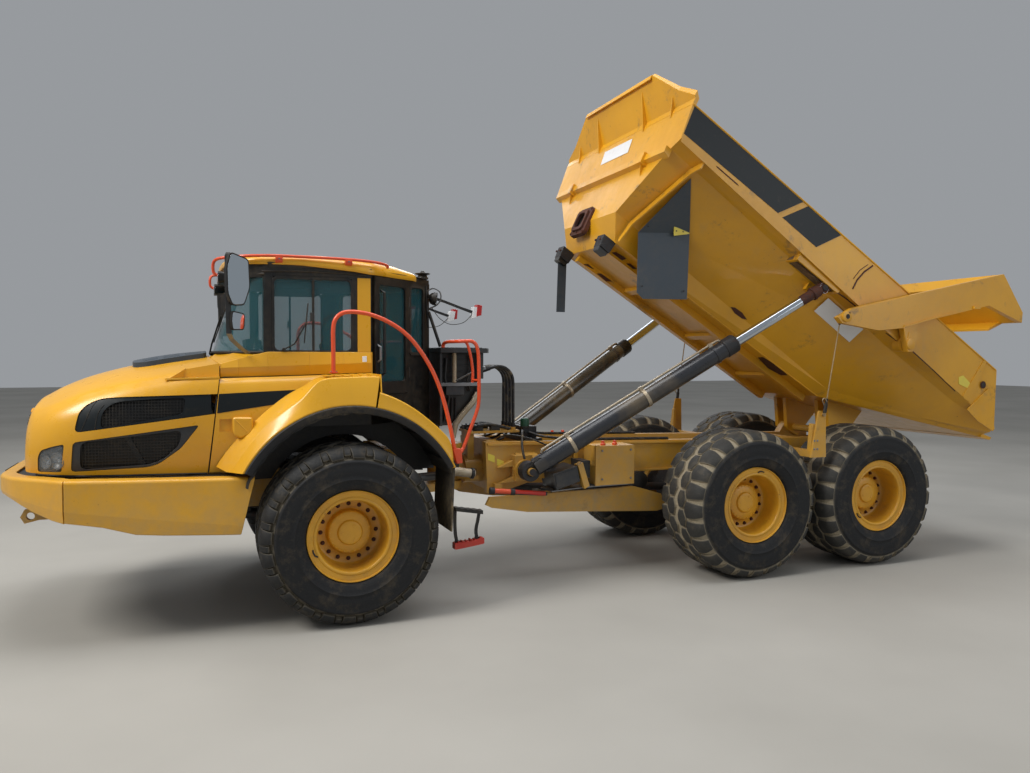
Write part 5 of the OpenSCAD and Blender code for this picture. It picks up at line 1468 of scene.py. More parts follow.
b = Build("plastic", "black", "grey_metal", "rubber")
b.loop_solid([[DP(u_, 0.0195, z) for u_, z in rounded(0.292, 2.020, 0.46, 0.10, 0.02)], [DP(u_, 0.0245, z) for u_, z in rounded(0.292, 2.020, 0.46, 0.10, 0.02)]], "plastic")
for ring_o, ring_i in ((rounded(0.290, 2.525, 0.448, 0.938, 0.05), rounded(0.290, 2.525, 0.400, 0.890, 0.04)),):
    n_ = len(ring_o)
    rr_ = [[DP(u_, 0.019, z) for u_, z in ring_o], [DP(u_, 0.025, z) for u_, z in ring_o], [DP(u_, 0.025, z) for u_, z in ring_i], [DP(u_, 0.006, z) for u_, z in ring_i]]
    b.faces([p for r_ in rr_ for p in r_], [(j * n_ + i, j * n_ + (i + 1) % n_, ((j + 1) % 4) * n_ + (i + 1) % n_, ((j + 1) % 4) * n_ + i) for j in range(4) for i in range(n_)], "rubber")
b.tube([DP(0.065, 0.022, 2.26), DP(0.065, 0.060, 2.28), DP(0.065, 0.060, 2.40), DP(0.065, 0.022, 2.42)], 0.010, 8, "grey_metal")
b.tube([DP(0.115, 0.022, 2.14), DP(0.115, 0.066, 2.16), DP(0.115, 0.066, 2.90), DP(0.115, 0.022, 2.92)], 0.012, 8, "black")
for z in (2.16, 2.84):
    b.tube([DP(0.556, 0.012, z - 0.05), DP(0.556, 0.012, z + 0.05)], 0.016, 10, "grey_metal")
b.done("door_trim", "cab_door", "dark_paint", bevel=0.002)

# seat: pedestal, suspension bellows, cushions, arm rests
b = Build("plastic", "black")
for k in range(5):
    z = 1.751 + k * 0.038
    b.prism_z(rounded(-0.19, 0, 0.40 - (k % 2) * 0.03, 0.42 - (k % 2) * 0.03, 0.05), z, z + 0.040, "black")
b.prism_z(rounded(-0.19, 0, 0.46, 0.44, 0.05), 1.935, 1.962, "plastic")
b.done("seat_pedestal", "front_unit", "dark_paint", bevel=0.008, replaces=("cab_seat",))


def cushion(name, prof_fn, n=9):
    b_ = Build("seat")
    b_.loop_solid([prof_fn(k / (n - 1)) for k in range(n)], "seat")
    ob_ = b_.done(name, "front_unit", "seat_fabric", bevel=0.0, angle=60)
    return ob_


def seat_base(t):
    y = -0.262 + 0.524 * t
    e = 1 - (abs(t - 0.5) * 2) ** 6
    e2 = 1 - (abs(t - 0.5) * 2) ** 10
    side_h = 0.018 * (abs(t - 0.5) * 2) ** 2
    z0, z1 = 1.968, 2.085 + side_h
    zm = (z0 + z1) / 2
    out = []
    for x, zf in ((-0.44, 0), (-0.10, 0), (0.05, 0.0), (0.082, 0.25), (0.085, 0.6), (0.060, 0.92), (0.0, 1.0), (-0.15, 0.98), (-0.32, 0.96), (-0.45, 0.98), (-0.475, 0.7), (-0.470, 0.2)):
        xx = -0.19 + (x + 0.19) * (0.93 + 0.07 * e2)
        z = z0 + (z1 - z0) * zf
        out.append(V(xx, y, zm + (z - zm) * max(0.35, e)))
    return out


def seat_back(t):
    y0 = 0.245 * (2 * t - 1)
    e = 1 - (abs(t - 0.5) * 2) ** 6
    out = []
    for x, z in ((-0.345, 2.115), (-0.335, 2.20), (-0.350, 2.35), (-0.372, 2.50), (-0.400, 2.62), (-0.425, 2.72), (-0.450, 2.785), (-0.495, 2.795), (-0.530, 2.740), (-0.525, 2.55), (-0.505, 2.35), (-0.480, 2.18), (-0.455, 2.115)):
        xm = -0.418 - (z - 2.115) * 0.10
        wide = 1.0 if z < 2.60 else 1.0 - (z - 2.60) * 1.15
        side_f = 0.016 * (abs(t - 0.5) * 2) ** 2 if x > xm else 0
        out.append(V(xm + (x - xm) * max(0.4, e) + side_f, y0 * wide, z))
    return out


cushion("seat_cushion", seat_base, 15)
cushion("seat_backrest", seat_back, 15)
b = Build("plastic", "black", "grey_metal", "seat")
for s in (1, -1):
    W = lambda x, y, z: V(x, s * y, z)
    b.loop_solid([[W(x, 0.295, z) for x, z in soften([(-0.36, 2.215), (0.04, 2.215), (0.055, 2.29), (-0.36, 2.298)], 0.02)], [W(x, 0.385, z) for x, z in soften([(-0.36, 2.215), (0.04, 2.215), (0.055, 2.29), (-0.36, 2.298)], 0.02)]], "plastic")
    b.loop_solid([[W(x, 0.300, z) for x, z in soften([(-0.37, 1.755), (-0.02, 1.755), (-0.02, 2.13), (-0.10, 2.21), (-0.37, 2.21)], 0.03)], [W(x, 0.380, z) for x, z in soften([(-0.37, 1.755), (-0.02, 1.755), (-0.02, 2.13), (-0.10, 2.21), (-0.37, 2.21)], 0.03)]], "black")
b.tube([V(0.0, -0.34, 2.29), V(0.015, -0.34, 2.36), V(0.012, -0.34, 2.40)], 0.014, 10, "black")
b.lathe([(0.0, 0.0), (0.022, 0.0), (0.026, 0.03), (0.018, 0.055), (0.0, 0.06)], V(0.012, -0.34, 2.39), (0, 0, 1), 16, "black")
b.box((-0.30, -0.85, 1.751), (0.30, -0.45, 1.99), "plastic")
b.done("seat_consoles", "front_unit", "dark_paint", bevel=0.006)

# dash details: hood over the gauges, gauges, screen, stalks, pedals
b = Build("plastic", "black", "grey_metal", "mirror", "lens")
b.loop_solid([[V(x, -0.30, z) for x, z in ((0.79, 2.385), (0.66, 2.395), (0.655, 2.45), (0.72, 2.49), (0.80, 2.47))], [V(x, 0.30, z) for x, z in ((0.79, 2.385), (0.66, 2.395), (0.655, 2.45), (0.72, 2.49), (0.80, 2.47))]], "plastic")
for y, rr in ((-0.17, 0.034), (-0.07, 0.042), (0.05, 0.042), (0.17, 0.034)):
    b.lathe([(0.0, 0.002), (rr, 0.002), (rr, 0.010), (rr * 1.15, 0.010), (rr * 1.15, 0.0), (0.0, 0.0)], V(0.6565, y, 2.432), (-1, 0, 0.1), 24, "grey_metal")
b.box((0.60, 0.36, 2.36), (0.63, 0.52, 2.50), "black")
b.tube([V(0.64, 0.44, 2.33), V(0.72, 0.44, 2.36)], 0.012, 8, "black")
for s in (1, -1):
    b.tube([V(0.48, s * 0.05, 2.255), V(0.46, s * 0.17, 2.275)], 0.008, 8, "black")
for y in (-0.20, 0.16):
    b.loop_solid([[V(0.55, y - 0.05, 1.77), V(0.55, y + 0.05, 1.77), V(0.68, y + 0.05, 1.86), V(0.68, y - 0.05, 1.86)], [V(0.54, y - 0.05, 1.785), V(0.54, y + 0.05, 1.785), V(0.67, y + 0.05, 1.875), V(0.67, y - 0.05, 1.875)]], "grey_metal")
b.lathe([(0.0, 0.0), (0.070, 0.0), (0.065, 0.028), (0.040, 0.042), (0.0, 0.046)], V(0.452, 0, 2.312), (-0.423, 0, 0.906), 24, "plastic")
b.done("dash_details", "front_unit", "dash_plastic", bevel=0.003)


# ------------------------------------------------------------------ rails, mirrors, steps, lamps and cooler
def weld_plate(b_, c, ax, r, mat, t=0.008):
    b_.disc(c, ax, r, t, mat, 20)


for side, s in SIDES:
    W = lambda x, y, z: V(x, s * y, z)
    b = Build("orange", "grey_metal")
    arch_rail = spline([(0.140, 1.270, 2.165), (0.140, 1.270, 2.36), (0.140, 1.270, 2.545), (0.121, 1.270, 2.630), (0.070, 1.270, 2.680), (0.0, 1.270, 2.697), (-0.10, 1.270, 2.692), (-0.20, 1.270, 2.672), (-0.31, 1.270, 2.630),
                        (-0.42, 1.270, 2.570), (-0.52, 1.270, 2.490), (-0.60, 1.270, 2.400), (-0.69, 1.270, 2.270), (-0.76, 1.270, 2.140), (-0.82, 1.270, 1.990), (-0.87, 1.270, 1.820), (-0.912, 1.270, 1.640), (-0.940, 1.270, 1.50), (-0.962, 1.270, 1.38)], 4)
    b.tube([W(*p) for p in arch_rail], 0.0185, 16, "orange")
    b.box((0.105, min(s * 1.240, s * 1.300), zt(0.14) + 0.022), (0.175, max(s * 1.240, s * 1.300), zt(0.14) + 0.032), "orange")
    for dx in (-0.022, 0.022):
        b.bolt(W(0.140 + dx, 1.292, zt(0.14) + 0.032), (0, 0, 1), 0.007, 0.006, "grey_metal")
    # plate where both rails end
    b.loop_solid([[W(x, 1.225, z) for x, z in ((-0.925, 1.475), (-1.000, 1.475), (-1.014, 1.345), (-0.962, 1.340))], [W(x, 1.300, z) for x, z in ((-0.925, 1.475), (-1.000, 1.475), (-1.014, 1.345), (-0.962, 1.340))]], "orange")
    back_rail = spline([(-1.040, 0.580, 2.402), (-1.044, 0.595, 2.440), (-1.052, 0.68, 2.456), (-1.066, 0.82, 2.458), (-1.095, 0.925, 2.459), (-1.150, 0.945, 2.460), (-1.215, 0.945, 2.460), (-1.262, 0.945, 2.425), (-1.284, 0.945, 2.340),
                        (-1.290, 0.945, 2.200), (-1.290, 0.945, 1.900), (-1.266, 0.945, 1.780), (-1.200, 0.945, 1.610), (-1.152, 0.945, 1.485), (-1.118, 0.950, 1.418), (-1.080, 0.98, 1.396), (-1.030, 1.08, 1.400), (-0.990, 1.20, 1.415)], 5)
    b.tube([W(*p) for p in back_rail], 0.0175, 16, "orange")
    inner_rail = spline([(-1.200, 0.800, 2.458), (-1.225, 0.800, 2.425), (-1.255, 0.800, 2.320), (-1.277, 0.800, 2.170), (-1.272, 0.800, 2.060)], 4)
    b.tube([W(*p) for p in inner_rail], 0.014, 12, "orange")
    b.tube([W(-1.200, 0.80, 2.458), W(-1.200, 0.945, 2.460)], 0.014, 10, "orange")
    b.tube([W(-1.272, 0.80, 2.085), W(-1.288, 0.945, 2.085)], 0.013, 10, "orange")
    b.tube([W(-1.278, 0.80, 2.165), W(-1.15, 0.66, 2.075)], 0.009, 8, "grey_metal")
    # rail round the roof, with its two clamps
    roof_rail = spline([(0.905, 0.745, 3.014), (1.030, 0.745, 3.015), (1.078, 0.745, 3.032), (1.090, 0.745, 3.070), (1.088, 0.748, 3.118), (1.070, 0.765, 3.148), (1.020, 0.812, 3.163), (0.900, 0.892, 3.172), (0.780, 0.950, 3.178), (0.600, 0.988, 3.183),
                        (0.300, 0.990, 3.183), (0.0, 0.988, 3.180), (-0.200, 0.984, 3.172), (-0.330, 0.945, 3.163), (-0.411, 0.885, 3.152), (-0.425, 0.868, 3.128)], 4)
    b.tube([W(*p) for p in roof_rail], 0.0135, 12, "orange")
    for x in (0.557, -0.044):
        b.loop_solid([[W(x + dx, 0.972, 3.120), W(x + dx, 1.003, 3.140), W(x + dx, 1.003, 3.176), W(x + dx, 0.985, 3.190), W(x + dx, 0.955, 3.172)] for dx in (0.030, -0.030)], "orange")
        b.bolt(W(x, 1.003, 3.158), (0, s, 0), 0.008, 0.006, "grey_metal")
    b.done("handrails_%s" % side, "front_unit", "orange_rail", replaces=("handrails",) if s > 0 else (), bevel=0.0015, seg=1, angle=60)

    # mirrors: flat arm, tall head, small wide-angle head
    b = Build("plastic", "black", "mirror", "grey_metal", "yellow")
    arm = [(0.905, 0.905, 3.060), (0.930, 0.985, 3.120), (0.978, 1.080, 3.175), (0.985, 1.105, 3.150), (0.983, 1.110, 2.90), (0.980, 1.112, 2.62), (0.978, 1.112, 2.500), (0.955, 1.075, 2.452), (0.870, 0.985, 2.375), (0.815, 0.930, 2.338)]
    rings = []
    for i, p in enumerate(arm):
        c = W(*p)
        wv, tv = (Vector((0.022, 0, 0)), Vector((0, s * 0.008, 0))) if 2 < i < 7 else (Vector((0.016, 0, 0)), Vector((0, s * 0.007, 0.008)))
        rings.append([c - wv - tv, c + wv - tv, c + wv + tv, c - wv + tv])
    b.loop_solid(rings[:7], "plastic")
    b.loop_solid(rings[6:], "grey_metal")
    du, nn = Vector((0.80, s * 0.60, 0)), Vector((-0.60, s * 0.80, 0))

    def head(cx, cy, cz, outline, depth, glass_in):
        c = W(cx, cy, cz)
        shell_o = [c + du * u_ + Vector((0, 0, z)) for u_, z in outline]
        back_o = [c + du * u_ * 0.72 + Vector((0, 0, z * 0.88)) - nn * depth for u_, z in outline]
        mid_o = [c + du * u_ * 0.95 + Vector((0, 0, z * 0.98)) - nn * depth * 0.6 for u_, z in outline]
        b.loop_solid([shell_o, mid_o, back_o], "black")
        gl = shrink(outline, glass_in)
        b.loop_solid([[c + du * u_ + Vector((0, 0, z)) + nn * 0.0005 for u_, z in gl], [c + du * u_ + Vector((0, 0, z)) + nn * 0.003 for u_, z in gl]], "mirror")

    head(0.895, 1.118, 2.955, soften([(-0.105, 0.180), (0.085, 0.225), (0.128, 0.10), (0.122, -0.12), (0.070, -0.225), (-0.055, -0.215), (-0.118, -0.06)], 0.035, 4), 0.060, 0.012)
    head(0.905, 1.118, 2.608, soften([(-0.070, 0.065), (0.060, 0.085), (0.072, 0.0), (0.060, -0.080), (-0.062, -0.075), (-0.074, 0.0)], 0.025, 4), 0.050, 0.010)
    b.tube([W(0.935, 1.120, 2.955), W(0.980, 1.108, 2.955)], 0.012, 10, "plastic")
    b.tube([W(0.930, 1.118, 2.608), W(0.980, 1.112, 2.608)], 0.012, 10, "plastic")
    for z in (2.93, 2.98):
        b.bolt(W(0.983, 1.120, z), (0, s, 0), 0.009, 0.006, "grey_metal")
    b.done("mirrors_%s" % side, "front_unit", "dark_paint", replaces=("mirrors",) if s > 0 else (), bevel=0.003, angle=40)

    # work lights under the roof's front
    b = Build("black", "lens", "chrome", "grey_metal")
    for y in (0.755, 0.600):
        c = W(1.005, y, 2.998)
        b.loop_solid([[c + Vector((dx, dy * k, dz * k)) for dy, dz in rounded(0, 0, 0.125, 0.105, 0.03)] for dx, k in ((-0.060, 0.55), (-0.030, 0.85), (0.030, 1.0), (0.046, 1.0))], "black")
        b.loop_solid([[c + Vector((dx, dy, dz)) for dy, dz in rounded(0, 0, 0.105, 0.085, 0.025)] for dx in (0.047, 0.050)], "lens")
        b.lathe([(0.0, 0.0), (0.036, 0.004), (0.040, 0.0), (0.0, -0.002)], c + Vector((0.0465, 0, 0)), (1, 0, 0), 20, "chrome")
        b.tube([c + Vector((-0.02, 0, 0.045)), c + Vector((-0.03, 0, 0.115))], 0.010, 8, "grey_metal")
    b.done("work_lights_%s" % side, "front_unit", "dark_paint", bevel=0.003, angle=40)

    # steps: carrier, arm, lower tread, straps and the red hanging tread
    b = Build("black", "red_paint", "grey_metal", "rubber")
    b.box((-1.010, min(s * 0.560, s * 0.950), 1.401), (-0.901, max(s * 0.560, s * 0.950), 1.440), "black")
    b.box((-1.010, min(s * 0.940, s * 1.170), 1.401), (-0.946, max(s * 0.940, s * 1.170), 1.440), "black")
    b.box((-0.962, min(s * 1.100, s * 1.160), 0.872), (-0.946, max(s * 1.100, s * 1.160), 1.410), "black")
    n_ = 9
    b.loop_solid([[W(-0.950 - 0.265 * k / n_, 1.195, z), W(-0.950 - 0.265 * k / n_, 1.290, z)] + [W(-0.950 - 0.265 * k / n_, 1.290, z + 0.030 + (0.006 if k % 2 else 0)), W(-0.950 - 0.265 * k / n_, 1.195, z + 0.030 + (0.006 if k % 2 else 0))] for k in range(n_ + 1) for z in (0.905 - 0.045 * k / n_,)], "black")
    b.box((-0.985, min(s * 1.10, s * 1.20), 0.880), (-0.946, max(s * 1.10, s * 1.20), 0.915), "black")
    for pts in (((-0.958, 1.240, 0.905), (-0.956, 1.240, 0.78), (-0.962, 1.240, 0.68), (-0.978, 1.240, 0.600)), ((-1.190, 1.240, 0.870), (-1.178, 1.240, 0.80), (-1.160, 1.240, 0.71), (-1.170, 1.240, 0.620))):
        pth = spline(list(pts), 5)
        b.loop_solid([[W(x - 0.016, y, z), W(x + 0.016, y, z), W(x + 0.016, y + 0.007, z), W(x - 0.016, y + 0.007, z)] for x, y, z in pth], "rubber")
        x, y, z = pth[-1]
        b.box((x - 0.024, min(s * (y - 0.004), s * (y + 0.016)), z - 0.035), (x + 0.024, max(s * (y - 0.004), s * (y + 0.016)), z + 0.025), "black")
        b.bolt(W(x, y + 0.016, z), (0, s, 0), 0.010, 0.007, "grey_metal")
    b.loop_solid([[W(x, 1.200, z), W(x, 1.280, z), W(x, 1.280, z + h_), W(x, 1.200, z + h_)] for x, z, h_ in ((-0.945, 0.552, 0.052), (-0.965, 0.550, 0.060), (-1.05, 0.560, 0.052), (-1.14, 0.571, 0.050), (-1.205, 0.580, 0.058), (-1.230, 0.586, 0.050))], "red_paint")
    for k in range(6):
        x = -0.985 - k * 0.040
        b.box((x - 0.008, min(s * 1.205, s * 1.275), 0.612 + (0.0 if k < 3 else 0.008)), (x + 0.008, max(s * 1.205, s * 1.275), 0.621 + (0.0 if k < 3 else 0.010)), "red_paint")
    b.done("access_steps_%s" % side, "front_unit", "dark_paint", replaces=("access_steps",) if s > 0 else (), bevel=0.002, angle=40)

    # stub of pipe, black rubber ring and bracket at the frame behind the flap
    b = Build("pipe_steel", "black", "grey_metal")
    b.lathe([(0.030, 0.0), (0.042, 0.0), (0.044, 0.02), (0.044, 0.215), (0.040, 0.232), (0.032, 0.232), (0.030, 0.2)], W(-1.120, 0.645, 1.180), (-1, 0, -0.16), 24, "pipe_steel", closed=True)
    b.lathe([(0.046, 0.0), (0.056, 0.004), (0.056, 0.032), (0.046, 0.036)], W(-1.305, 0.645, 1.150), (-1, 0, -0.16), 24, "black", closed=True)
    b.lathe([(0.0, 0.0), (0.085, 0.0), (0.100, 0.02), (0.100, 0.05), (0.080, 0.07), (0.0, 0.07)], W(-1.10, 0.56, 1.235), (-0.4, s, 0), 24, "black")
    b.done("pipe_stub_%s" % side, "front_unit", "dark_paint", bevel=0.0015)

# cooler behind the cab
b = Build("black", "charcoal", "plastic", "grey_metal", "iron", "pipe_steel")
plan_deck = [(-1.010, 0.600), (-1.495, 0.600), (-1.640, 0.240), (-1.640, -0.240), (-1.495, -0.600), (-1.010, -0.600)]
b.prism_z(plan_deck, 2.352, 2.400, "plastic")
for k in range(9):
    x = -1.05 - k * 0.050
    b.box((x - 0.012, -0.54, 2.400), (x + 0.012, 0.54, 2.406), "plastic")
core = [(-1.150, 1.62), (-1.435, 1.905), (-1.435, 2.352), (-1.035, 2.352), (-1.035, 1.62)]
b.prism(core, -0.47, 0.47, "black")
for s in (1, -1):
    W = lambda x, y, z: V(x, s * y, z)
    # side frame of the cooler with its bars
    for x0, x1 in ((-1.020, -1.045), (-1.425, -1.450)):
        b.box((x1, min(s * 0.50, s * 0.54), 1.92 if x0 < -1.2 else 1.62), (x0, max(s * 0.50, s * 0.54), 2.352), "charcoal")
    b.box((-1.450, min(s * 0.50, s * 0.545), 2.018), (-1.030, max(s * 0.50, s * 0.545), 2.052), "grey_metal")
    b.box((-1.275, min(s * 0.47, s * 0.535), 1.930), (-1.087, max(s * 0.47, s * 0.535), 2.018), "charcoal")
    b.tube([W(-1.170, 0.535, 2.352), W(-1.172, 0.535, 2.20), W(-1.170, 0.535, 2.055)], 0.024, 14, "pipe_steel")
    for x in (-1.075, -1.115, -1.155, -1.195):
        b.tube([W(x, 0.485, 1.66), W(x - 0.004, 0.490, 1.90)], 0.010, 8, "iron")
    b.tube([W(-1.420, 0.515, 1.95), W(-1.380, 0.515, 1.86), W(-1.270, 0.515, 1.74), W(-1.190, 0.515, 1.64), W(-1.16, 0.515, 1.50)], 0.030, 14, "pipe_steel")
    b.tube([W(-1.10, 0.50, 2.30), W(-1.08, 0.515, 2.10), W(-1.12, 0.52, 1.90), W(-1.08, 0.50, 1.68)], 0.014, 10, "black")
    b.tube([W(-1.34, 0.50, 2.33), W(-1.36, 0.52, 2.20), W(-1.31, 0.52, 2.08), W(-1.35, 0.50, 1.96)], 0.012, 10, "black")
    for z in (2.10, 2.16, 2.22, 2.28):
        b.box((-1.415, min(s * 0.468, s * 0.480), z), (-1.05, max(s * 0.468, s * 0.480), z + 0.010), "iron")
    b.box((-1.110, min(s * 0.150, s * 0.210), 1.401), (-1.050, max(s * 0.150, s * 0.210), 1.63), "charcoal")
b.box((-1.600, -0.190, 2.080), (-1.430, 0.190, 2.356), "charcoal")
for y in (-0.135, -0.045, 0.045, 0.135):
    b.lathe([(0.0, 0.0), (0.034, 0.0), (0.034, 0.014), (0.028, 0.018), (0.028, 0.044), (0.0, 0.044)], V(-1.598, y, 2.180), (-1, 0, 0.15), 6, "grey_metal")
# fins on the rear face
for k in range(15):
    z = 1.97 + k * 0.025
    b.box((-1.447, -0.46, z), (-1.434, -0.20, z + 0.006), "iron")
    b.box((-1.447, 0.20, z), (-1.434, 0.46, z + 0.006), "iron")
b.done("cooler", "front_unit", "dark_paint", replaces=("cooler_box",), bevel=0.003, angle=40)

# rear corner of the cab: work lights, arms with tail lamps, struts
b = Build("black", "lens", "grey_metal", "red_lamp", "white_plate", "chrome", "hose")
for s in (1, -1):
    W = lambda x, y, z: V(x, s * y, z)
    c = W(-0.978, 0.42, 2.900)
    b.lathe([(0.0, 0.0), (0.030, 0.0), (0.055, 0.018), (0.066, 0.045), (0.068, 0.075), (0.060, 0.078), (0.058, 0.070), (0.0, 0.062)], c + Vector((0.035, 0, 0)), (-1, s * 0.35, -0.15), 28, "black")
    b.lathe([(0.0, 0.0), (0.057, 0.0), (0.054, 0.008), (0.0, 0.012)], c + Vector((-0.034, s * 0.024, -0.010)), (-1, s * 0.35, -0.15), 28, "lens")
    b.lathe([(0.0, 0.0), (0.030, 0.002), (0.040, 0.012), (0.0, 0.013)], c + Vector((-0.020, s * 0.020, -0.008)), (-1, s * 0.35, -0.15), 20, "chrome")
    b.tube([W(-0.95, 0.40, 2.90), W(-0.90, 0.385, 3.03)], 0.014, 10, "black")
    loop_p = spline([(-0.93, 0.40, 2.97), (-0.985, 0.43, 2.995), (-1.045, 0.45, 2.96), (-1.055, 0.45, 2.89), (-1.02, 0.43, 2.83), (-0.96, 0.40, 2.80)], 5)
    b.tube([W(*p) for p in loop_p], 0.0075, 8, "grey_metal")
    # arm that carries the lamp bracket
    b.loop_solid([[W(x, 0.41, z), W(x, 0.43, z), W(x, 0.43, z + h_), W(x, 0.41, z + h_)] for x, z, h_ in ((-0.955, 2.895, 0.030), (-1.10, 2.855, 0.026), (-1.28, 2.792, 0.026), (-1.40, 2.752, 0.030))], "black")
    b.loop_solid([[W(x, 0.36, z) for x, z in ((-1.385, 2.700), (-1.445, 2.718), (-1.462, 2.815), (-1.405, 2.820))], [W(x, 0.46, z) for x, z in ((-1.385, 2.700), (-1.445, 2.718), (-1.462, 2.815), (-1.405, 2.820))]], "white_plate")
    b.loop_solid([[W(x, 0.365, z) for x, z in ((-1.430, 2.722), (-1.482, 2.735), (-1.490, 2.835), (-1.440, 2.845))], [W(x, 0.465, z) for x, z in ((-1.430, 2.722), (-1.482, 2.735), (-1.490, 2.835), (-1.440, 2.845))]], "red_lamp")
    cable = spline([(-1.40, 0.42, 2.75), (-1.30, 0.43, 2.66), (-1.16, 0.43, 2.64), (-1.05, 0.42, 2.70), (-0.98, 0.40, 2.80)], 6)
    b.tube([W(*p) for p in cable], 0.004, 6, "hose")
    # strut from the cab's corner to the cooler's deck
    b.tube([W(-0.930, 0.450, 2.760), W(-1.035, 0.500, 2.412)], 0.016, 10, "black")
    b.tube([W(-0.915, 0.395, 3.02), W(-0.935, 0.41, 2.60)], 0.012, 10, "black")
b.done("rear_lamps", "front_unit", "dark_paint", bevel=0.0015, angle=40)
# frame round the rear pane and louvres under it
b = Build("black", "rubber", "plastic")
ro, ri = rounded(0, 2.655, 0.66, 0.67, 0.06), rounded(0, 2.655, 0.60, 0.61, 0.045)
n_ = len(ro)
b.faces([V(-0.960, y, z) for y, z in ro] + [V(-0.968, y, z) for y, z in ro] + [V(-0.968, y, z) for y, z in ri] + [V(-0.955, y, z) for y, z in ri], [(j * n_ + i, j * n_ + (i + 1) % n_, ((j + 1) % 4) * n_ + (i + 1) % n_, ((j + 1) % 4) * n_ + i) for j in range(4) for i in range(n_)], "rubber")
for s in (1, -1):
    for w0, w1 in (((0.72, 0.97),) if s > 0 else ((0.08, 0.60),)):
        def CP(u_, n, z):
            return V(-0.250 - 0.76380 * u_ - 0.64546 * n, s * (0.950 - 0.64546 * u_ + 0.76380 * n), z)
        uo = rounded((w0 + w1) / 2 * 0.851, 2.670, (w1 - w0) * 0.851 + 0.05, 0.69, 0.04)
        ui = rounded((w0 + w1) / 2 * 0.851, 2.670, (w1 - w0) * 0.851 - 0.010, 0.63, 0.03)
        n_ = len(uo)
        b.faces([CP(u_, 0.0, z) for u_, z in uo] + [CP(u_, 0.008, z) for u_, z in uo] + [CP(u_, 0.008, z) for u_, z in ui] + [CP(u_, -0.006, z) for u_, z in ui], [(j * n_ + i, j * n_ + (i + 1) % n_, ((j + 1) % 4) * n_ + (i + 1) % n_, ((j + 1) % 4) * n_ + i) for j in range(4) for i in range(n_)], "rubber")
for k in range(7):
    b.box((-0.972, -0.28, 2.08 + k * 0.030), (-0.960, 0.28, 2.092 + k * 0.030), "plastic")
b.done("cab_rear_trim", "front_unit", "dark_paint", bevel=0.0015)


# ------------------------------------------------------------------ chassis
cad_look("front_frame", "yellow_frame", 0.006)
cad_look("front_axle", "iron", 0.004)
cad_look("engine_and_gearbox", "iron", 0.012)
cad_look("mudflaps", "flap", 0.003)
cad_look("hitch_link", "yellow_frame", 0.006)
cad_look("rear_frame", "yellow_frame", 0.006)
cad_look("bogie_beams", "yellow_frame", 0.006)
cad_look("rear_axles", "iron", 0.004)
cad_look("side_boxes", "charcoal", 0.010)
for side, s in SIDES:
    cad_look("steer_barrel_%s" % side, "barrel", 0.003)
    cad_look("steer_rod_%s" % side, "chrome", 0.002)

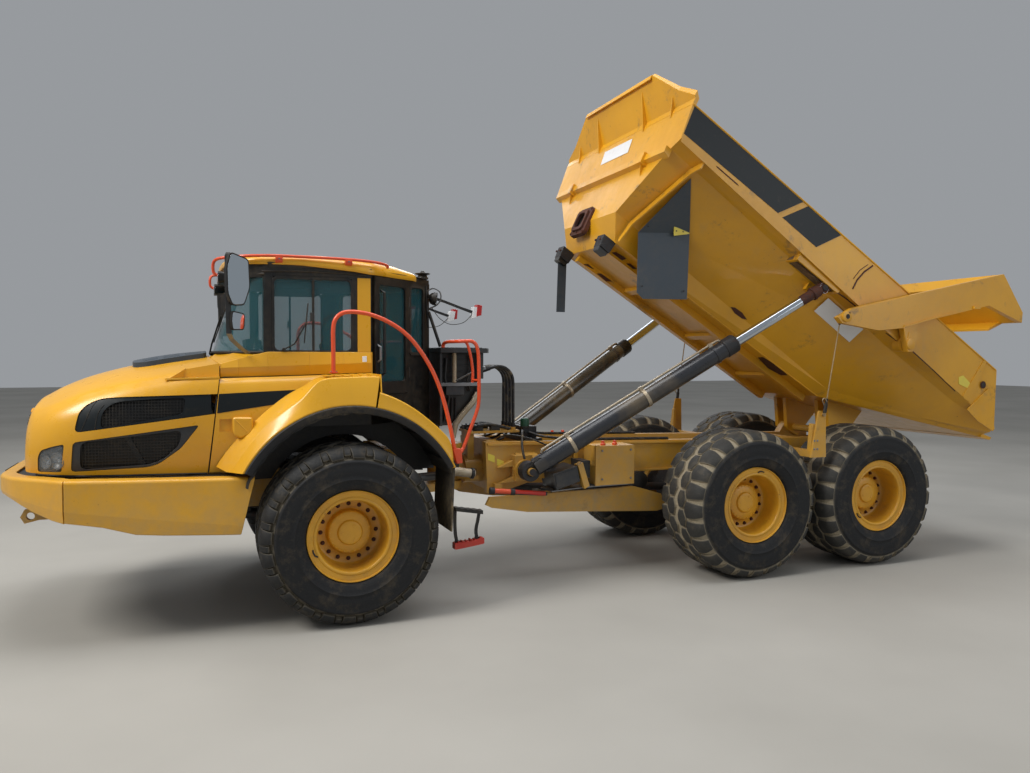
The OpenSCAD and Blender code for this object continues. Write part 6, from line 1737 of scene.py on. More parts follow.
# rear frame: ribs, plates, valve block, hoses, posts, boxes' fittings
b = Build("yellow_frame", "black", "hose", "grey_metal", "iron", "green_cap", "pale_sticker", "orange", "pipe_steel", "red_paint", "charcoal", "white_plate", "rusty")
for s in (1, -1):
    W = lambda x, y, z: V(x, s * y, z)
    # triangular ribs and step plates on the frame's side
    for x0, z0 in ((-1.86, 1.31), (-2.06, 1.245)):
        b.loop_solid([[W(x, y, z) for y, z in ((0.431, z0), (0.560, z0 - 0.045), (0.431, z0 - 0.075))] for x in (x0, x0 - 0.24)], "yellow_frame")
    b.loop_solid([[W(x, 0.431, z), W(x, 0.452, z), W(x, 0.452, z + 0.020), W(x, 0.431, z + 0.020)] for x, z in ((-1.56, 1.395), (-2.6, 1.372), (-4.5, 1.33))], "yellow_frame")
    b.loop_solid([[W(x, 0.431, z), W(x, 0.450, z), W(x, 0.450, z + 0.018), W(x, 0.431, z + 0.018)] for x, z in ((-2.22, 1.045), (-3.2, 1.045), (-4.5, 1.045))], "yellow_frame")
    # two small blank stickers
    for q in (0, 1):
        b.loop_solid([[W(x, y, z) for x, z in ((-1.565 - q * 0.10, 1.315 - q * 0.060), (-1.640 - q * 0.10, 1.285 - q * 0.060), (-1.640 - q * 0.10, 1.215 - q * 0.060), (-1.565 - q * 0.10, 1.245 - q * 0.060))] for y in (0.4312, 0.4330)], "pale_sticker")
    # posts behind the boxes
    for x in (-2.56, -2.70):
        b.box((x - 0.020, min(s * 0.431, s * 0.470), 1.08), (x + 0.020, max(s * 0.431, s * 0.470), 1.335), "yellow_frame")
    # yellow tank end with two caps
    b.box((-3.104, min(s * 0.428, s * 0.760), 0.966), (-2.666, max(s * 0.428, s * 0.760), 1.378), "yellow_frame")
    b.box((-2.690, min(s * 0.745, s * 0.772), 0.966), (-2.640, max(s * 0.745, s * 0.772), 1.390), "yellow_frame")
    b.loop_solid([[W(x, y, z) for x, z in ((-2.425, 1.195), (-2.480, 1.225), (-2.560, 0.975), (-2.505, 0.945))] for y in (0.700, 0.792)], "yellow_frame")
    # light wedges in front of the hoist pin, plates that join the pin bracket to the frame
    b.loop_solid([[W(x, y, z) for x, z in ((-1.655, 1.168), (-1.835, 1.245), (-1.835, 1.175))] for y in (0.431, 0.500)], "yellow_frame")
    b.loop_solid([[W(x, y, z) for x, z in ((-1.670, 1.002), (-1.850, 1.080), (-1.850, 1.020))] for y in (0.431, 0.500)], "yellow_frame")
    b.loop_solid([[W(x, y, z) for x, z in ((-2.010, 1.250), (-2.210, 1.045), (-2.150, 1.035), (-2.000, 1.060))] for y in (0.431, 0.520)], "yellow_frame")
    b.loop_solid([[W(x, y, z) for x, z in ((-2.30, 1.395), (-2.56, 1.385), (-2.545, 1.30), (-2.46, 1.255), (-2.33, 1.245))] for y in (0.431, 0.452)], "yellow_frame")
    for x in (-2.78, -2.92):
        b.lathe([(0.0, 0.0), (0.028, 0.0), (0.028, 0.022), (0.018, 0.030), (0.018, 0.052), (0.0, 0.052)], W(x, 0.660, 1.373), (0, 0, 1), 16, "orange")
    for x, z in ((-2.72, 1.03), (-3.06, 1.03), (-2.72, 1.33), (-3.06, 1.33)):
        b.bolt(W(x, 0.763, z), (0, s, 0), 0.012, 0.008, "grey_metal")
    # lids of the boxes
    b.loop_solid([[W(x, y, z) for x, z in ((-2.190, 0.985), (-2.235, 0.975), (-2.430, 1.025), (-2.400, 1.160), (-2.170, 1.100))] for y in (0.780, 0.788)], "charcoal")
    b.box((-2.60, min(s * 0.700, s * 0.712), 1.06), (-2.53, max(s * 0.700, s * 0.712), 1.21), "black")
    b.lathe([(0.0, 0.0), (0.080, 0.0), (0.092, 0.012), (0.092, 0.030), (0.030, 0.040), (0.0, 0.040)], W(-3.308, 0.515, 0.957), (0, s, 0), 32, "black")
    # plate under the boxes, bright worn edge
    b.loop_solid([[W(x, 0.46, z), W(x, 0.74, z), W(x, 0.74, z + 0.012), W(x, 0.46, z + 0.012)] for x, z in ((-2.15, 0.925), (-2.62, 0.950), (-3.06, 0.955))], "grey_metal")
    # lock bar: pale orange sleeve, red bar, joint pieces
    p0, p1 = W(-1.540, 0.640, 0.958), W(-2.100, 0.692, 0.905)
    dd = (p1 - p0).normalized()
    b.tube([p0 + dd * 0.0, p0 + dd * 0.20], 0.027, 14, "orange")
    b.tube([p0 + dd * 0.20, p1], 0.0245, 14, "red_paint")
    b.tube([p0 + dd * 0.19, p0 + dd * 0.235], 0.034, 14, "iron")
    b.tube([p0 - dd * 0.03, p0 + dd * 0.02], 0.036, 14, "iron")
    # hoses along the frame and along to the hoist
    for k, (dy, dz) in enumerate(((0.0, 0.0), (0.035, 0.012))):
        path = spline([(-2.10, 0.24 + dy, 1.50), (-2.20, 0.30 + dy, 1.465), (-2.34, 0.345 + dy, 1.446), (-2.60, 0.355 + dy, 1.421), (-3.2, 0.355 + dy, 1.407), (-3.75, 0.355 + dy, 1.394)], 5)
        b.tube([W(*p) for p in path], 0.014, 10, "hose")
    path = spline([(-2.05, 0.22, 1.49), (-1.98, 0.36, 1.53), (-1.92, 0.50, 1.50), (-1.88, 0.60, 1.38), (-1.885, 0.655, 1.27)], 6)
    b.tube([W(*p) for p in path], 0.013, 10, "hose")
    path = spline([(-1.72, 0.30, 1.45), (-1.80, 0.44, 1.50), (-2.00, 0.55, 1.46), (-2.16, 0.60, 1.39), (-2.24, 0.60, 1.34)], 6)
    b.tube([W(*p) for p in path], 0.0085, 8, "hose")
    b.tube([W(-2.24, 0.60, 1.345), W(-2.255, 0.60, 1.27)], 0.014, 8, "pipe_steel")
    # bolts of the pin brackets and of the outriggers
    for t_ in range(6):
        a0 = math.radians(60 * t_ + 15)
        b.bolt(W(-1.915 + 0.078 * math.cos(a0), 0.600, 1.149 + 0.078 * math.sin(a0)), (0, s, 0), 0.011, 0.010, "grey_metal")
    b.lathe([(0.0, 0.0), (0.034, 0.0), (0.036, 0.006), (0.036, 0.014), (0.0, 0.014)], W(-1.915, 0.800, 1.149), (0, s, 0), 24, "iron")
    for x in (-4.97, -4.93):
        for z in (1.33, 1.42):
            b.bolt(W(x, 1.415, z), (0, s, 0), 0.012, 0.009, "grey_metal")
    # short post with a plate beside the stay plate
    b.loop_solid([[W(x, y, z) for x, z in ((-4.90, 1.24), (-4.93, 1.60), (-4.96, 1.60), (-4.95, 1.24))] for y in (1.330, 1.388)], "yellow_frame")
# valve block with its parts
b.lathe([(0.0, 0.0), (0.046, 0.0), (0.048, 0.012), (0.048, 0.070), (0.036, 0.088), (0.0, 0.090)], V(-2.075, 0.185, 1.562), (0, 0, 1), 28, "green_cap")
b.lathe([(0.0, 0.0), (0.060, 0.0), (0.060, 0.018), (0.0, 0.018)], V(-2.075, 0.185, 1.548), (0, 0, 1), 28, "black")
b.box((-2.194, -0.164, 1.432), (-2.036, 0.234, 1.564), "iron")
b.box((-2.219, -0.335, 1.400), (-2.021, 0.335, 1.440), "black")
for y in (-0.12, -0.04, 0.04, 0.12):
    b.lathe([(0.0, 0.0), (0.024, 0.0), (0.024, 0.014), (0.018, 0.016), (0.018, 0.036), (0.0, 0.036)], V(-2.045, y, 1.50), (1, 0, 0.2), 6, "grey_metal")
    b.lathe([(0.0, 0.0), (0.021, 0.0), (0.021, 0.016), (0.0, 0.016)], V(-2.115, y, 1.556), (0, 0, 1), 12, "grey_metal")
for k, y in enumerate((-0.12, 0.0, 0.10)):
    path = spline([(-2.02, y, 1.505), (-1.93, y * 1.3, 1.50 + 0.02 * k), (-1.82, y * 1.8 + 0.02, 1.45), (-1.74, y * 2.0, 1.425)], 5)
    b.tube([V(*p) for p in path], 0.013, 10, "hose")
# rear tow eye's bolts, tail plate
for y in (-0.24, 0.24):
    for z in (1.16, 1.24):
        b.bolt(V(-6.372, y, z), (-1, 0, 0), 0.014, 0.010, "grey_metal")
for s in (1, -1):
    ro = rounded(s * 0.30, 1.22, 0.20, 0.085, 0.015)
    b.loop_solid([[V(x, y, z) for y, z in ro] for x in (-6.384, -6.352)], "black")
b.done("rear_frame_fittings", "rear_unit", "yellow_paint", bevel=0.0015, angle=40)
b = Build("red_lamp", "amber_lamp")
for s in (1, -1):
    b.loop_solid([[V(x, y, z) for y, z in rounded(s * 0.325, 1.22, 0.125, 0.066, 0.012)] for x in (-6.384, -6.392)], "red_lamp")
    b.loop_solid([[V(x, y, z) for y, z in rounded(s * 0.232, 1.22, 0.050, 0.066, 0.012)] for x in (-6.384, -6.392)], "amber_lamp")
b.done("tail_lamps", "rear_unit", "dark_paint", bevel=0.001)

# bogie: caps on the trunnions, bolts
b = Build("yellow_frame", "iron", "grey_metal", "rusty")
for s in (1, -1):
    W = lambda x, y, z: V(x, s * y, z)
    xm = -5.010
    b.lathe([(0.0, 0.0), (0.105, 0.0), (0.115, 0.010), (0.115, 0.030), (0.095, 0.040), (0.0, 0.040)], W(xm, 0.652, 0.86), (0, s, 0), 36, "yellow_frame")
    for t_ in range(8):
        a0 = math.radians(45 * t_)
        b.bolt(W(xm + 0.090 * math.cos(a0), 0.690, 0.86 + 0.090 * math.sin(a0)), (0, s, 0), 0.010, 0.010, "grey_metal")
b.done("bogie_fittings", "rear_unit", "yellow_paint", bevel=0.001, angle=40)

# engine and gearbox details seen from below and through the arch
b = Build("iron", "rubber", "grey_metal", "pipe_steel")
for x in (0.55, 0.95, 1.35):
    b.box((x, -0.22, 0.985), (x + 0.03, 0.22, 1.0), "iron")
for s in (1, -1):
    W = lambda x, y, z: V(x, s * y, z)
    b.tube([W(*p) for p in spline([(0.35, 0.38, 1.30), (0.10, 0.40, 1.36), (-0.30, 0.385, 1.33), (-0.60, 0.37, 1.25)], 5)], 0.020, 10, "rubber")
    b.tube([W(0.0, 0.52, 0.86), W(0.03, 0.48, 1.28)], 0.055, 18, "iron")
    b.tube([W(0.015, 0.50, 1.02), W(0.027, 0.485, 1.22)], 0.075, 18, "rubber")
    for k in range(8):
        a0 = math.radians(45 * k)
        b.bolt(W(0.10 * math.cos(a0), 0.785, 0.775 + 0.10 * math.sin(a0)), (0, -s, 0), 0.012, 0.012, "grey_metal")
b.done("underside_parts", "front_unit", "machinery_iron", bevel=0.001, angle=40)

# black hoses and blocks on the hitch's plate
b = Build("hose", "black", "grey_metal")
for k in range(6):
    y = -0.185 + 0.074 * k
    path = spline([(-1.46 - 0.02 * (k % 3), y, 1.535), (-1.56, y + 0.012 * (k % 2), 1.560 + 0.012 * (k % 3)), (-1.70, y * 0.95, 1.575 + 0.012 * (k % 2)), (-1.82, y * 0.9, 1.560), (-1.90, y * 0.85, 1.540)], 5)
    b.tube([V(*p) for p in path], 0.014 + 0.003 * (k % 2), 10, "hose")
for x, y, w_, d_, h_ in ((-1.56, 0.13, 0.09, 0.08, 0.060), (-1.74, 0.15, 0.10, 0.07, 0.050), (-1.70, -0.14, 0.11, 0.09, 0.055), (-1.50, -0.10, 0.07, 0.10, 0.050)):
    b.box((x - w_ / 2, y - d_ / 2, 1.526), (x + w_ / 2, y + d_ / 2, 1.526 + h_), "black")
    b.bolt(V(x, y, 1.526 + h_), (0, 0, 1), 0.014, 0.012, "grey_metal")
b.done("hitch_hoses", "hitch", "dark_paint", bevel=0.0015, angle=40)


# ------------------------------------------------------------------ bed, tailgate and hoist
cad_look("dump_bed", "yellow_bed", 0.005)
bed_tree = tree(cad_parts["dump_bed"])
EYE = V(*CAM)


def at(u_, v_, lift=0.0):
    """where the line of sight through a place in the view meets the bed, and the surface's direction there"""
    d_ = (f + right * ((u_ - 515.0) / FOCAL) - up * ((v_ - 386.5) / FOCAL)).normalized()
    hit, no, _, _ = bed_tree.ray_cast(EYE, d_)
    if no.dot(d_) > 0:
        no = -no
    return hit + no * lift, no


def patch(b_, pts, mat, lift=0.0015, t=0.003, mirror=True):
    got = [at(*p) for p in pts]
    n_ = Vector((0, 0, 0))
    for _, no in got:
        n_ += no
    n_.normalize()
    base = [p + n_ * lift for p, _ in got]
    topp = [p + n_ * (lift + t) for p, _ in got]
    b_.loop_solid([base, topp], mat)
    if mirror:
        b_.loop_solid([[Vector((p.x, -p.y, p.z)) for p in base], [Vector((p.x, -p.y, p.z)) for p in topp]], mat)


def strip(b_, pts, w_, mat, lift=0.001, t=0.004, mirror=True):
    got = [at(*p) for p in pts]
    for k in range(len(got) - 1):
        (p0, n0), (p1, n1) = got[k], got[k + 1]
        n_ = (n0 + n1).normalized()
        side_ = (p1 - p0).cross(n_).normalized() * w_ * 0.5
        for m_ in ((1, -1) if mirror else (1,)):
            mm = lambda q: Vector((q.x, m_ * q.y, q.z))
            b_.loop_solid([[mm(p0 - side_ + n_ * lift), mm(p0 + side_ + n_ * lift), mm(p0 + side_ + n_ * (lift + t)), mm(p0 - side_ + n_ * (lift + t))],
                           [mm(p1 - side_ + n_ * lift), mm(p1 + side_ + n_ * lift), mm(p1 + side_ + n_ * (lift + t)), mm(p1 - side_ + n_ * (lift + t))]], mat)


b = Build("decal", "rusty", "white_plate", "pale_sticker", "iron", "yellow_bed")
for s in (1, -1):
    for poly in (((-1.985, 2.832), (-2.03, 2.526), (-3.37, 2.536), (-3.58, 2.834)), ((-3.65, 2.824), (-4.18, 2.829), (-3.97, 2.526), (-3.44, 2.531))):
        b.loop_solid([[R(x, s * 1.4505, z) for x, z in poly], [R(x, s * 1.4525, z) for x, z in poly]], "decal")
    # long thin slot low on the rail
    sl_ = [(-2.50, 2.486), (-2.52, 2.479), (-2.80, 2.477), (-2.83, 2.483), (-2.80, 2.490), (-2.52, 2.492)]
    b.loop_solid([[R(x, s * 1.4503, z) for x, z in sl_], [R(x, s * 1.4518, z) for x, z in sl_]], "rusty")
    # rolled edge on the rail's top
    b.tube([R(-1.965, s * 1.452, 2.834), R(-4.5, s * 1.452, 2.834), R(-6.95, s * 1.452, 2.834)], 0.010, 8, "yellow_bed")
b.done("bed_decals", "bed", "yellow_paint", bevel=0.0)

b = Build("rusty", "white_plate", "pale_sticker", "iron", "yellow_bed", "black")
for s in (1, -1):
    b.loop_solid([[R(x, s * (y + q), z - q * 1.12) for x, y, z in ((-4.553, 1.104, 2.137), (-4.524, 1.262, 2.278), (-5.124, 1.265, 2.260), (-5.155, 1.113, 2.111))] for q in (0.012, 0.015)], "white_plate")
patch(b, [(958.5, 377), (963, 375.5), (972.5, 386), (970, 389.5), (958.5, 384)], "pale_sticker")
strip(b, [(873, 265.5), (864, 272), (857, 280), (852.5, 289)], 0.018, "rusty", 0.0, 0.003)
strip(b, [(868, 264.5), (860, 270), (853, 279)], 0.008, "rusty", 0.0, 0.002)
strip(b, [(829, 291.5), (838, 293), (848, 300), (855.5, 306)], 0.014, "rusty", 0.0, 0.004)
# dark line along the fold between the slope and the tail rail: painted shadow of the rail's foot, drawn in the rust
# material
strip(b, [(886, 333), (897, 341), (911, 350), (934, 371), (955, 391)], 0.012, "rusty", 0.0, 0.004)
for pts in (((730.5, 307), (735, 307.5), (742, 312.5), (747, 319.5), (742, 318.5), (734.5, 313)), ((758, 357.5), (763, 357), (778, 366), (787.5, 375), (781, 375), (768, 368)),
            ((611.5, 252.5), (616, 252), (626.5, 258.5), (622, 260.5)), ((626, 263.5), (630, 263.5), (637, 269), (633, 269)), ((583.5, 264), (588, 264), (594, 269), (589, 270)), ((596.5, 273.5), (601, 273.5), (612, 281.5), (606, 281.5))):
    patch(b, pts, "rusty", 0.001, 0.003, mirror=True)
b.done("bed_rust_marks_and_painted_shadow", "bed", "yellow_paint", bevel=0.0)

# bolted and welded parts of the bed
b = Build("yellow_bed", "slate", "rusty", "iron", "white_plate", "pale_sticker", "black", "flap")
for s in (1, -1):
    W = lambda x, y, z: R(x, s * y, z)
    # flange across the side wall near the front
    inner_l = [(-2.288, 0.640, 1.575), (-2.292, 0.680, 1.800), (-2.340, 1.280, 2.370), (-2.368, 1.440, 2.450)]
    outer_l = [(-2.288, 0.690, 1.545), (-2.292, 0.765, 1.760), (-2.340, 1.345, 2.295), (-2.368, 1.448, 2.360)]
    b.loop_solid([[W(x, y, z) for x, y, z in inner_l] + [W(x, y, z) for x, y, z in reversed(outer_l)], [W(x - 0.014, y, z) for x, y, z in inner_l] + [W(x - 0.014, y, z) for x, y, z in reversed(outer_l)]], "yellow_bed")
    # collars on the headboard's rib
    b.loop_solid([[W(x, y, z) for x, z in ((-1.975, 2.295), (-1.960, 2.415), (-2.060, 2.425), (-2.085, 2.290))] for y in (0.800, 0.905)], "yellow_bed")
    b.loop_solid([[W(x, y, z) for x, z in ((-2.005, 2.300), (-2.060, 2.300), (-2.085, 2.180), (-2.072, 2.180))] for y in (0.846, 0.858)], "yellow_bed")
    # buffers at the headboard's foot
    b.loop_solid([[W(x, y, z) for x, z in ((-2.145, 1.560), (-2.165, 1.430), (-2.300, 1.420), (-2.310, 1.555))] for y in (0.430, 0.585)], "iron")
    b.loop_solid([[W(x, y, z) for x, z in ((-2.165, 1.435), (-2.175, 1.385), (-2.285, 1.380), (-2.295, 1.430))] for y in (0.445, 0.570)], "black")
    for y in (0.455, 0.560):
        b.bolt(W(-2.143, y, 1.50), (1, 0, 0.2), 0.014, 0.014, "rusty")
    # gusset, post and stiffener at the tail
    b.loop_solid([[W(x, y, z) for x, z in ((-6.80, 2.20), (-7.02, 2.175), (-7.30, 2.20), (-7.31, 2.235), (-6.99, 2.60), (-6.955, 2.58))] for y in (1.452, 1.464)], "yellow_bed")
    b.loop_solid([[W(x, y, z) for x, z in ((-6.66, 2.30), (-6.70, 2.285), (-6.80, 2.30), (-6.76, 2.84), (-6.72, 2.84))] for y in (1.4505, 1.458)], "yellow_bed")
    b.lathe([(0.0, 0.0), (0.030, 0.0), (0.044, 0.004), (0.044, 0.008), (0.0, 0.008)], W(-6.862, 1.456, 2.575), (0, s, 0), 24, "rusty")
    # black disc: painted shade for the dark inside of the hole in the rusty ring
    b.disc(W(-6.862, 1.464, 2.575), (0, s, 0), 0.026, 0.003, "black", 20)
    # rubbing strip along the side's lower fold
    b.loop_solid([[W(x, 1.4505, 2.44 - (x + 2.03) * -0.0418), W(x, 1.4555, 2.44 - (x + 2.03) * -0.0418), W(x, 1.4555, 2.47 - (x + 2.03) * -0.0418), W(x, 1.4505, 2.47 - (x + 2.03) * -0.0418)] for x in (-2.04, -3.2, -4.4, -5.45)], "yellow_bed")
    # gate pivot boss
    b.lathe([(0.0, 0.0), (0.055, 0.0), (0.062, 0.004), (0.062, 0.010), (0.050, 0.014), (0.0, 0.014)], W(-5.559, 1.553, 2.318), (0, s, 0), 32, "yellow_bed")
    # weld along the slope's foot
    b.tube([W(-2.30, 0.606, 1.552), W(-4.0, 0.610, 1.556), W(-5.5, 0.612, 1.560)], 0.008, 6, "yellow_bed")
    # top lip of the spill guard
    lip = [(-1.652, 0.0, 3.222), (-1.652, 0.760, 3.222), (-1.858, 1.200, 3.195), (-1.926, 1.448, 2.935)]
    b.loop_solid([[W(x, y, z), W(x - 0.004, y, z - 0.055), W(x - 0.014, y, z - 0.055), W(x - 0.012, y, z + 0.004)] for x, y, z in lip[:2]], "yellow_bed")
# splash panel that hangs beside the bed on one side, with its tab
PA, PR, PE = (-2.415, 1.245, 2.320), (-2.850, 0.915, 2.012), (-2.392, 0.780, 1.720)
PD, PC, PB = (-3.233, 0.850, 1.428), (-2.793, 0.820, 1.147), (-2.696, 0.820, 1.163)
for poly in ((PA, PR, PE), (PE, PR, PD, PC, PB)):
    b.loop_solid([[R(x, y, z) for x, y, z in poly], [R(x, y + 0.009, z - 0.002) for x, y, z in poly]], "slate")
for x, y, z in ((-2.43, 1.17, 2.24), (-2.42, 0.86, 1.80), (-2.70, 0.845, 1.24), (-3.14, 0.87, 1.47)):
    b.bolt(R(x, y + 0.010, z), (0, 1, 0), 0.010, 0.007, "iron")
tab = [(-2.659, 1.957), (-2.709, 1.877), (-2.852, 2.000), (-2.842, 2.030)]
b.loop_solid([[R(x, 0.915 + d0, z) for x, z in tab] for d0 in (0.0, 0.010)], "pale_sticker")
for x, z in ((-2.705, 1.935), (-2.775, 1.975)):
    b.disc(R(x, 0.925, z), (0, 1, 0), 0.008, 0.003, "black", 10)
# blank plate on the headboard, flanged port with its bolts
hx = lambda z: -2.03 + (z - 2.47) * 0.2027
b.loop_solid([[R(hx(z) + o_, y, z) for y, z in ((-0.335, 2.60), (0.315, 2.60), (0.315, 2.765), (-0.335, 2.765))] for o_ in (0.002, 0.005)], "white_plate")


def ring_on(cy_, cz_, wo, ho, wi, hi_, x0_, x1_, mat):
    lo_, li_ = rounded(cy_, cz_, wo, ho, min(wo, ho) * 0.16), rounded(cy_, cz_, wi, hi_, min(wi, hi_) * 0.34)
    xx = lambda z: -2.11 + (z - 1.81) * 0.110
    n_ = len(lo_)
    pts = [R(xx(z) + x0_, y, z) for y, z in lo_] + [R(xx(z) + x1_, y, z) for y, z in lo_] + [R(xx(z) + x1_, y, z) for y, z in li_] + [R(xx(z) + x0_, y, z) for y, z in li_]
    b.faces(pts, [(j * n_ + i, j * n_ + (i + 1) % n_, ((j + 1) % 4) * n_ + (i + 1) % n_, ((j + 1) % 4) * n_ + i) for j in range(4) for i in range(n_)], mat)


ring_on(-0.130, 1.810, 0.36, 0.34, 0.21, 0.20, -0.02, 0.030, "rusty")
ring_on(-0.130, 1.810, 0.26, 0.25, 0.19, 0.18, 0.025, 0.060, "rusty")
b.loop_solid([[R(-2.12 + o_ + (z - 1.81) * 0.11, y, z) for y, z in rounded(-0.130, 1.810, 0.20, 0.19, 0.06)] for o_ in (-0.01, 0.022)], "black")
for dy in (-0.150, 0.0, 0.150):
    for dz in (-0.140, 0.140):
        b.bolt(R(-2.082 + dz * 0.11, -0.130 + dy, 1.810 + dz), (1, 0, 0.35), 0.013, 0.014, "rusty")
# strap that hangs at the headboard's far low corner
top_ = R(-2.240, -0.520, 1.440)
b.loop_solid([[top_ + Vector((dx + 0.02 * k, 0.0, -0.62 * k)) + Vector((0, dy, 0)) for dx, dy in ((-0.055, -0.004), (0.055, -0.004), (0.055, 0.004), (-0.055, 0.004))] for k in (0.0, 0.3, 0.65, 1.0)], "slate")
# stiffeners under the floor
for x in (-3.1, -4.1, -5.0):
    b.loop_solid([[R(x + dx, y, z) for dx, z in ((-0.05, 1.552), (-0.04, 1.512), (0.04, 1.512), (0.05, 1.552))] for y in (-0.335, 0.335)], "yellow_bed")
b.done("bed_fittings", "bed", "yellow_paint", bevel=0.002, angle=40)

# bare steel lining of the load space
stn = ((-2.165, 0.598, 1.838, 1.305, 2.437, 2.08), (-5.50, 0.652, 1.706, 1.235, 2.296, 5.50))
prof_in = [[(-2.345, 0.556, 1.594), (-2.165, 0.596, 1.836), (-2.100, 1.252, 2.424), (-2.088, 1.349, 2.492), (-2.010, 1.349, 2.836)],
           [(-5.50, 0.566, 1.604), (-5.50, 0.656, 1.696), (-5.50, 1.236, 2.284), (-5.50, 1.349, 2.354), (-5.50, 1.349, 2.836)],
           [(-6.64, 0.956, 1.957), (-6.64, 1.006, 1.996), (-6.64, 1.284, 2.276), (-6.64, 1.349, 2.334), (-6.64, 1.349, 2.836)],
           [(-7.34, 1.226, 2.188), (-7.33, 1.266, 2.220), (-7.32, 1.326, 2.252), (-7.30, 1.349, 2.300), (-7.02, 1.349, 2.760)]]
b = Build("bed_inside")


def on_inner(p, c):
    """the point of the bed's inner face that lies behind p as seen from c, 5 mm in front of it"""
    d_ = (p - c).normalized()
    hit, no, _, _ = bed_tree.ray_cast(c, d_)
    if hit is None or (hit - c).length > (p - c).length + 0.12:
        return p
    if no.dot(d_) > 0:
        no = -no
    return hit + no * 0.005


def between(a_, b_, t_):
    return tuple(a_[i] + (b_[i] - a_[i]) * t_ for i in range(3))


rows = []
for k in range(3):
    for q in range(11 if k == 2 else 10):
        t_ = q / 10
        st_ = [between(prof_in[k][i], prof_in[k + 1][i], t_) for i in range(5)]
        half = []
        for i in range(4):
            half += [between(st_[i], st_[i + 1], w / 6) for w in range(6)]
        half.append(st_[4])
        line = [(x, y, z) for x, y, z in reversed(half)] + [between(st_[0], (st_[0][0], -st_[0][1], st_[0][2]), w / 6) for w in range(1, 6)] + [(x, -y, z) for x, y, z in half]
        rows.append([on_inner(R(x, y, z), R(x - 0.02, y * 0.25, max(z, 2.55))) for x, y, z in line])
b.loft(rows, "bed_inside", closed=False)
head_rows = []
half = []
for i in range(4):
    half += [between(prof_in[0][i], prof_in[0][i + 1], w / 4) for w in range(4)]
half.append(prof_in[0][4])
for x, y, z in half:
    head_rows.append([on_inner(R(x, y * (1 - w / 5), z), R(x - 0.60, y * (1 - w / 5) * 0.9, z + 0.05)) for w in range(11)])
b.loft(head_rows, "bed_inside", closed=False)
for s in (1, -1):
    b.loop_solid([[R(x, s * y, z) for x, z in ((-4.506, 2.300), (-3.844, 2.300), (-3.844, 2.394), (-4.506, 2.394))] for y in (1.219, 1.352)], "bed_inside")
b.done("bed_lining", "bed", "machinery_iron", bevel=0.0, flat=True)

# tailgate
cad_look("tailgate", "yellow_bed", 0.004)
cad_look("gate_stays", "wire")
b = Build("yellow_bed", "iron", "gate_inside", "rusty", "grey_metal")
for s in (1, -1):
    W = lambda x, y, z: V(x, s * y, z)
    b.lathe([(0.0, 0.0), (0.052, 0.0), (0.060, 0.006), (0.060, 0.024), (0.046, 0.030), (0.0, 0.030)], W(-5.210, 1.545, 2.750), (0, s, 0), 28, "yellow_bed")
    b.lathe([(0.0, 0.0), (0.026, 0.0), (0.026, 0.006), (0.0, 0.006)], W(-5.210, 1.572, 2.750), (0, s, 0), 20, "iron")
    b.bolt(W(-5.235, 1.570, 2.790), (0, s, 0), 0.009, 0.007, "iron")
    # folded edge along the arm's foot and doubler plate on the ear
    b.loop_solid([[W(x, 1.552, z), W(x, 1.570, z + 0.004), W(x, 1.570, z + 0.020), W(x, 1.552, z + 0.018)] for x, z in ((-6.02, 2.648), (-6.12, 2.664), (-6.45, 2.745), (-6.80, 2.815))], "yellow_bed")
    b.loop_solid([[W(x, y, z) for x, z in ((-6.10, 2.60), (-6.25, 2.60), (-6.20, 2.48), (-6.16, 2.415), (-6.09, 2.415), (-6.06, 2.48))] for y in (1.552, 1.558)], "yellow_bed")
    for dz in (0.03, 0.07):
        b.disc(W(-6.125, 1.558, 2.43 + dz), (0, s, 0), 0.008, 0.003, "rusty", 10)
    # ear where the plate's lower edge folds
    b.box((-7.16, min(s * 1.552, s * 1.575), 2.875), (-7.06, max(s * 1.552, s * 1.575), 2.905), "pale_sticker" if False else "yellow_bed")
b.done("gate_fittings", "tailgate", "yellow_paint", bevel=0.002, angle=40)
gate_tree = tree(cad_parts["tailgate"])
b = Build("gate_inside")
# worn lining on the plate's under side, laid 3 mm off it by rays from below
rows = []
for i in range(9):
    x = -6.62 - i * 0.135
    row = []
    for j in range(9):
        y = -1.36 + j * 0.34
        hit, no, _, _ = gate_tree.ray_cast(V(x, y, 1.9), Vector((0, 0, 1)))
        row.append(None if hit is None else hit - Vector((0, 0, 0.004)))
    rows.append(row)
for i in range(8):
    for j in range(8):
        q = [rows[i][j], rows[i + 1][j], rows[i + 1][j + 1], rows[i][j + 1]]
        if all(p is not None for p in q) and max(p.z for p in q) - min(p.z for p in q) < 0.25:
            b.faces(q, [(0, 1, 2, 3)], "gate_inside")
if len(b.bm.faces):
    b.done("gate_lining", "tailgate", "machinery_iron", bevel=0.0, flat=True)

# shackle and turnbuckle at each stay's foot
b = Build("black", "iron", "pipe_steel")
for s in (1, -1):
    W = lambda k, o=0.0: V(-5.040 - 0.170 * k, s * (1.436 + 0.032 * k), 1.700 + 1.040 * k)
    b.tube([W(0.02), W(0.115)], 0.020, 10, "black")
    b.tube([W(0.115), W(0.165)], 0.013, 10, "iron")
    b.tube([W(0.93), W(1.0)], 0.013, 10, "iron")
    lp = spline([tuple(W(0.10) + Vector((0.025, 0, 0))), tuple(W(0.14) + Vector((0.055, 0, 0.01))), tuple(W(0.17) + Vector((0.030, 0, 0))), tuple(W(0.13) + Vector((0.0, s * 0.012, 0)))], 4)
    b.tube([Vector(p) for p in lp], 0.005, 6, "pipe_steel")
b.done("stay_fittings", "gate_stays", "dark_paint", bevel=0.0)

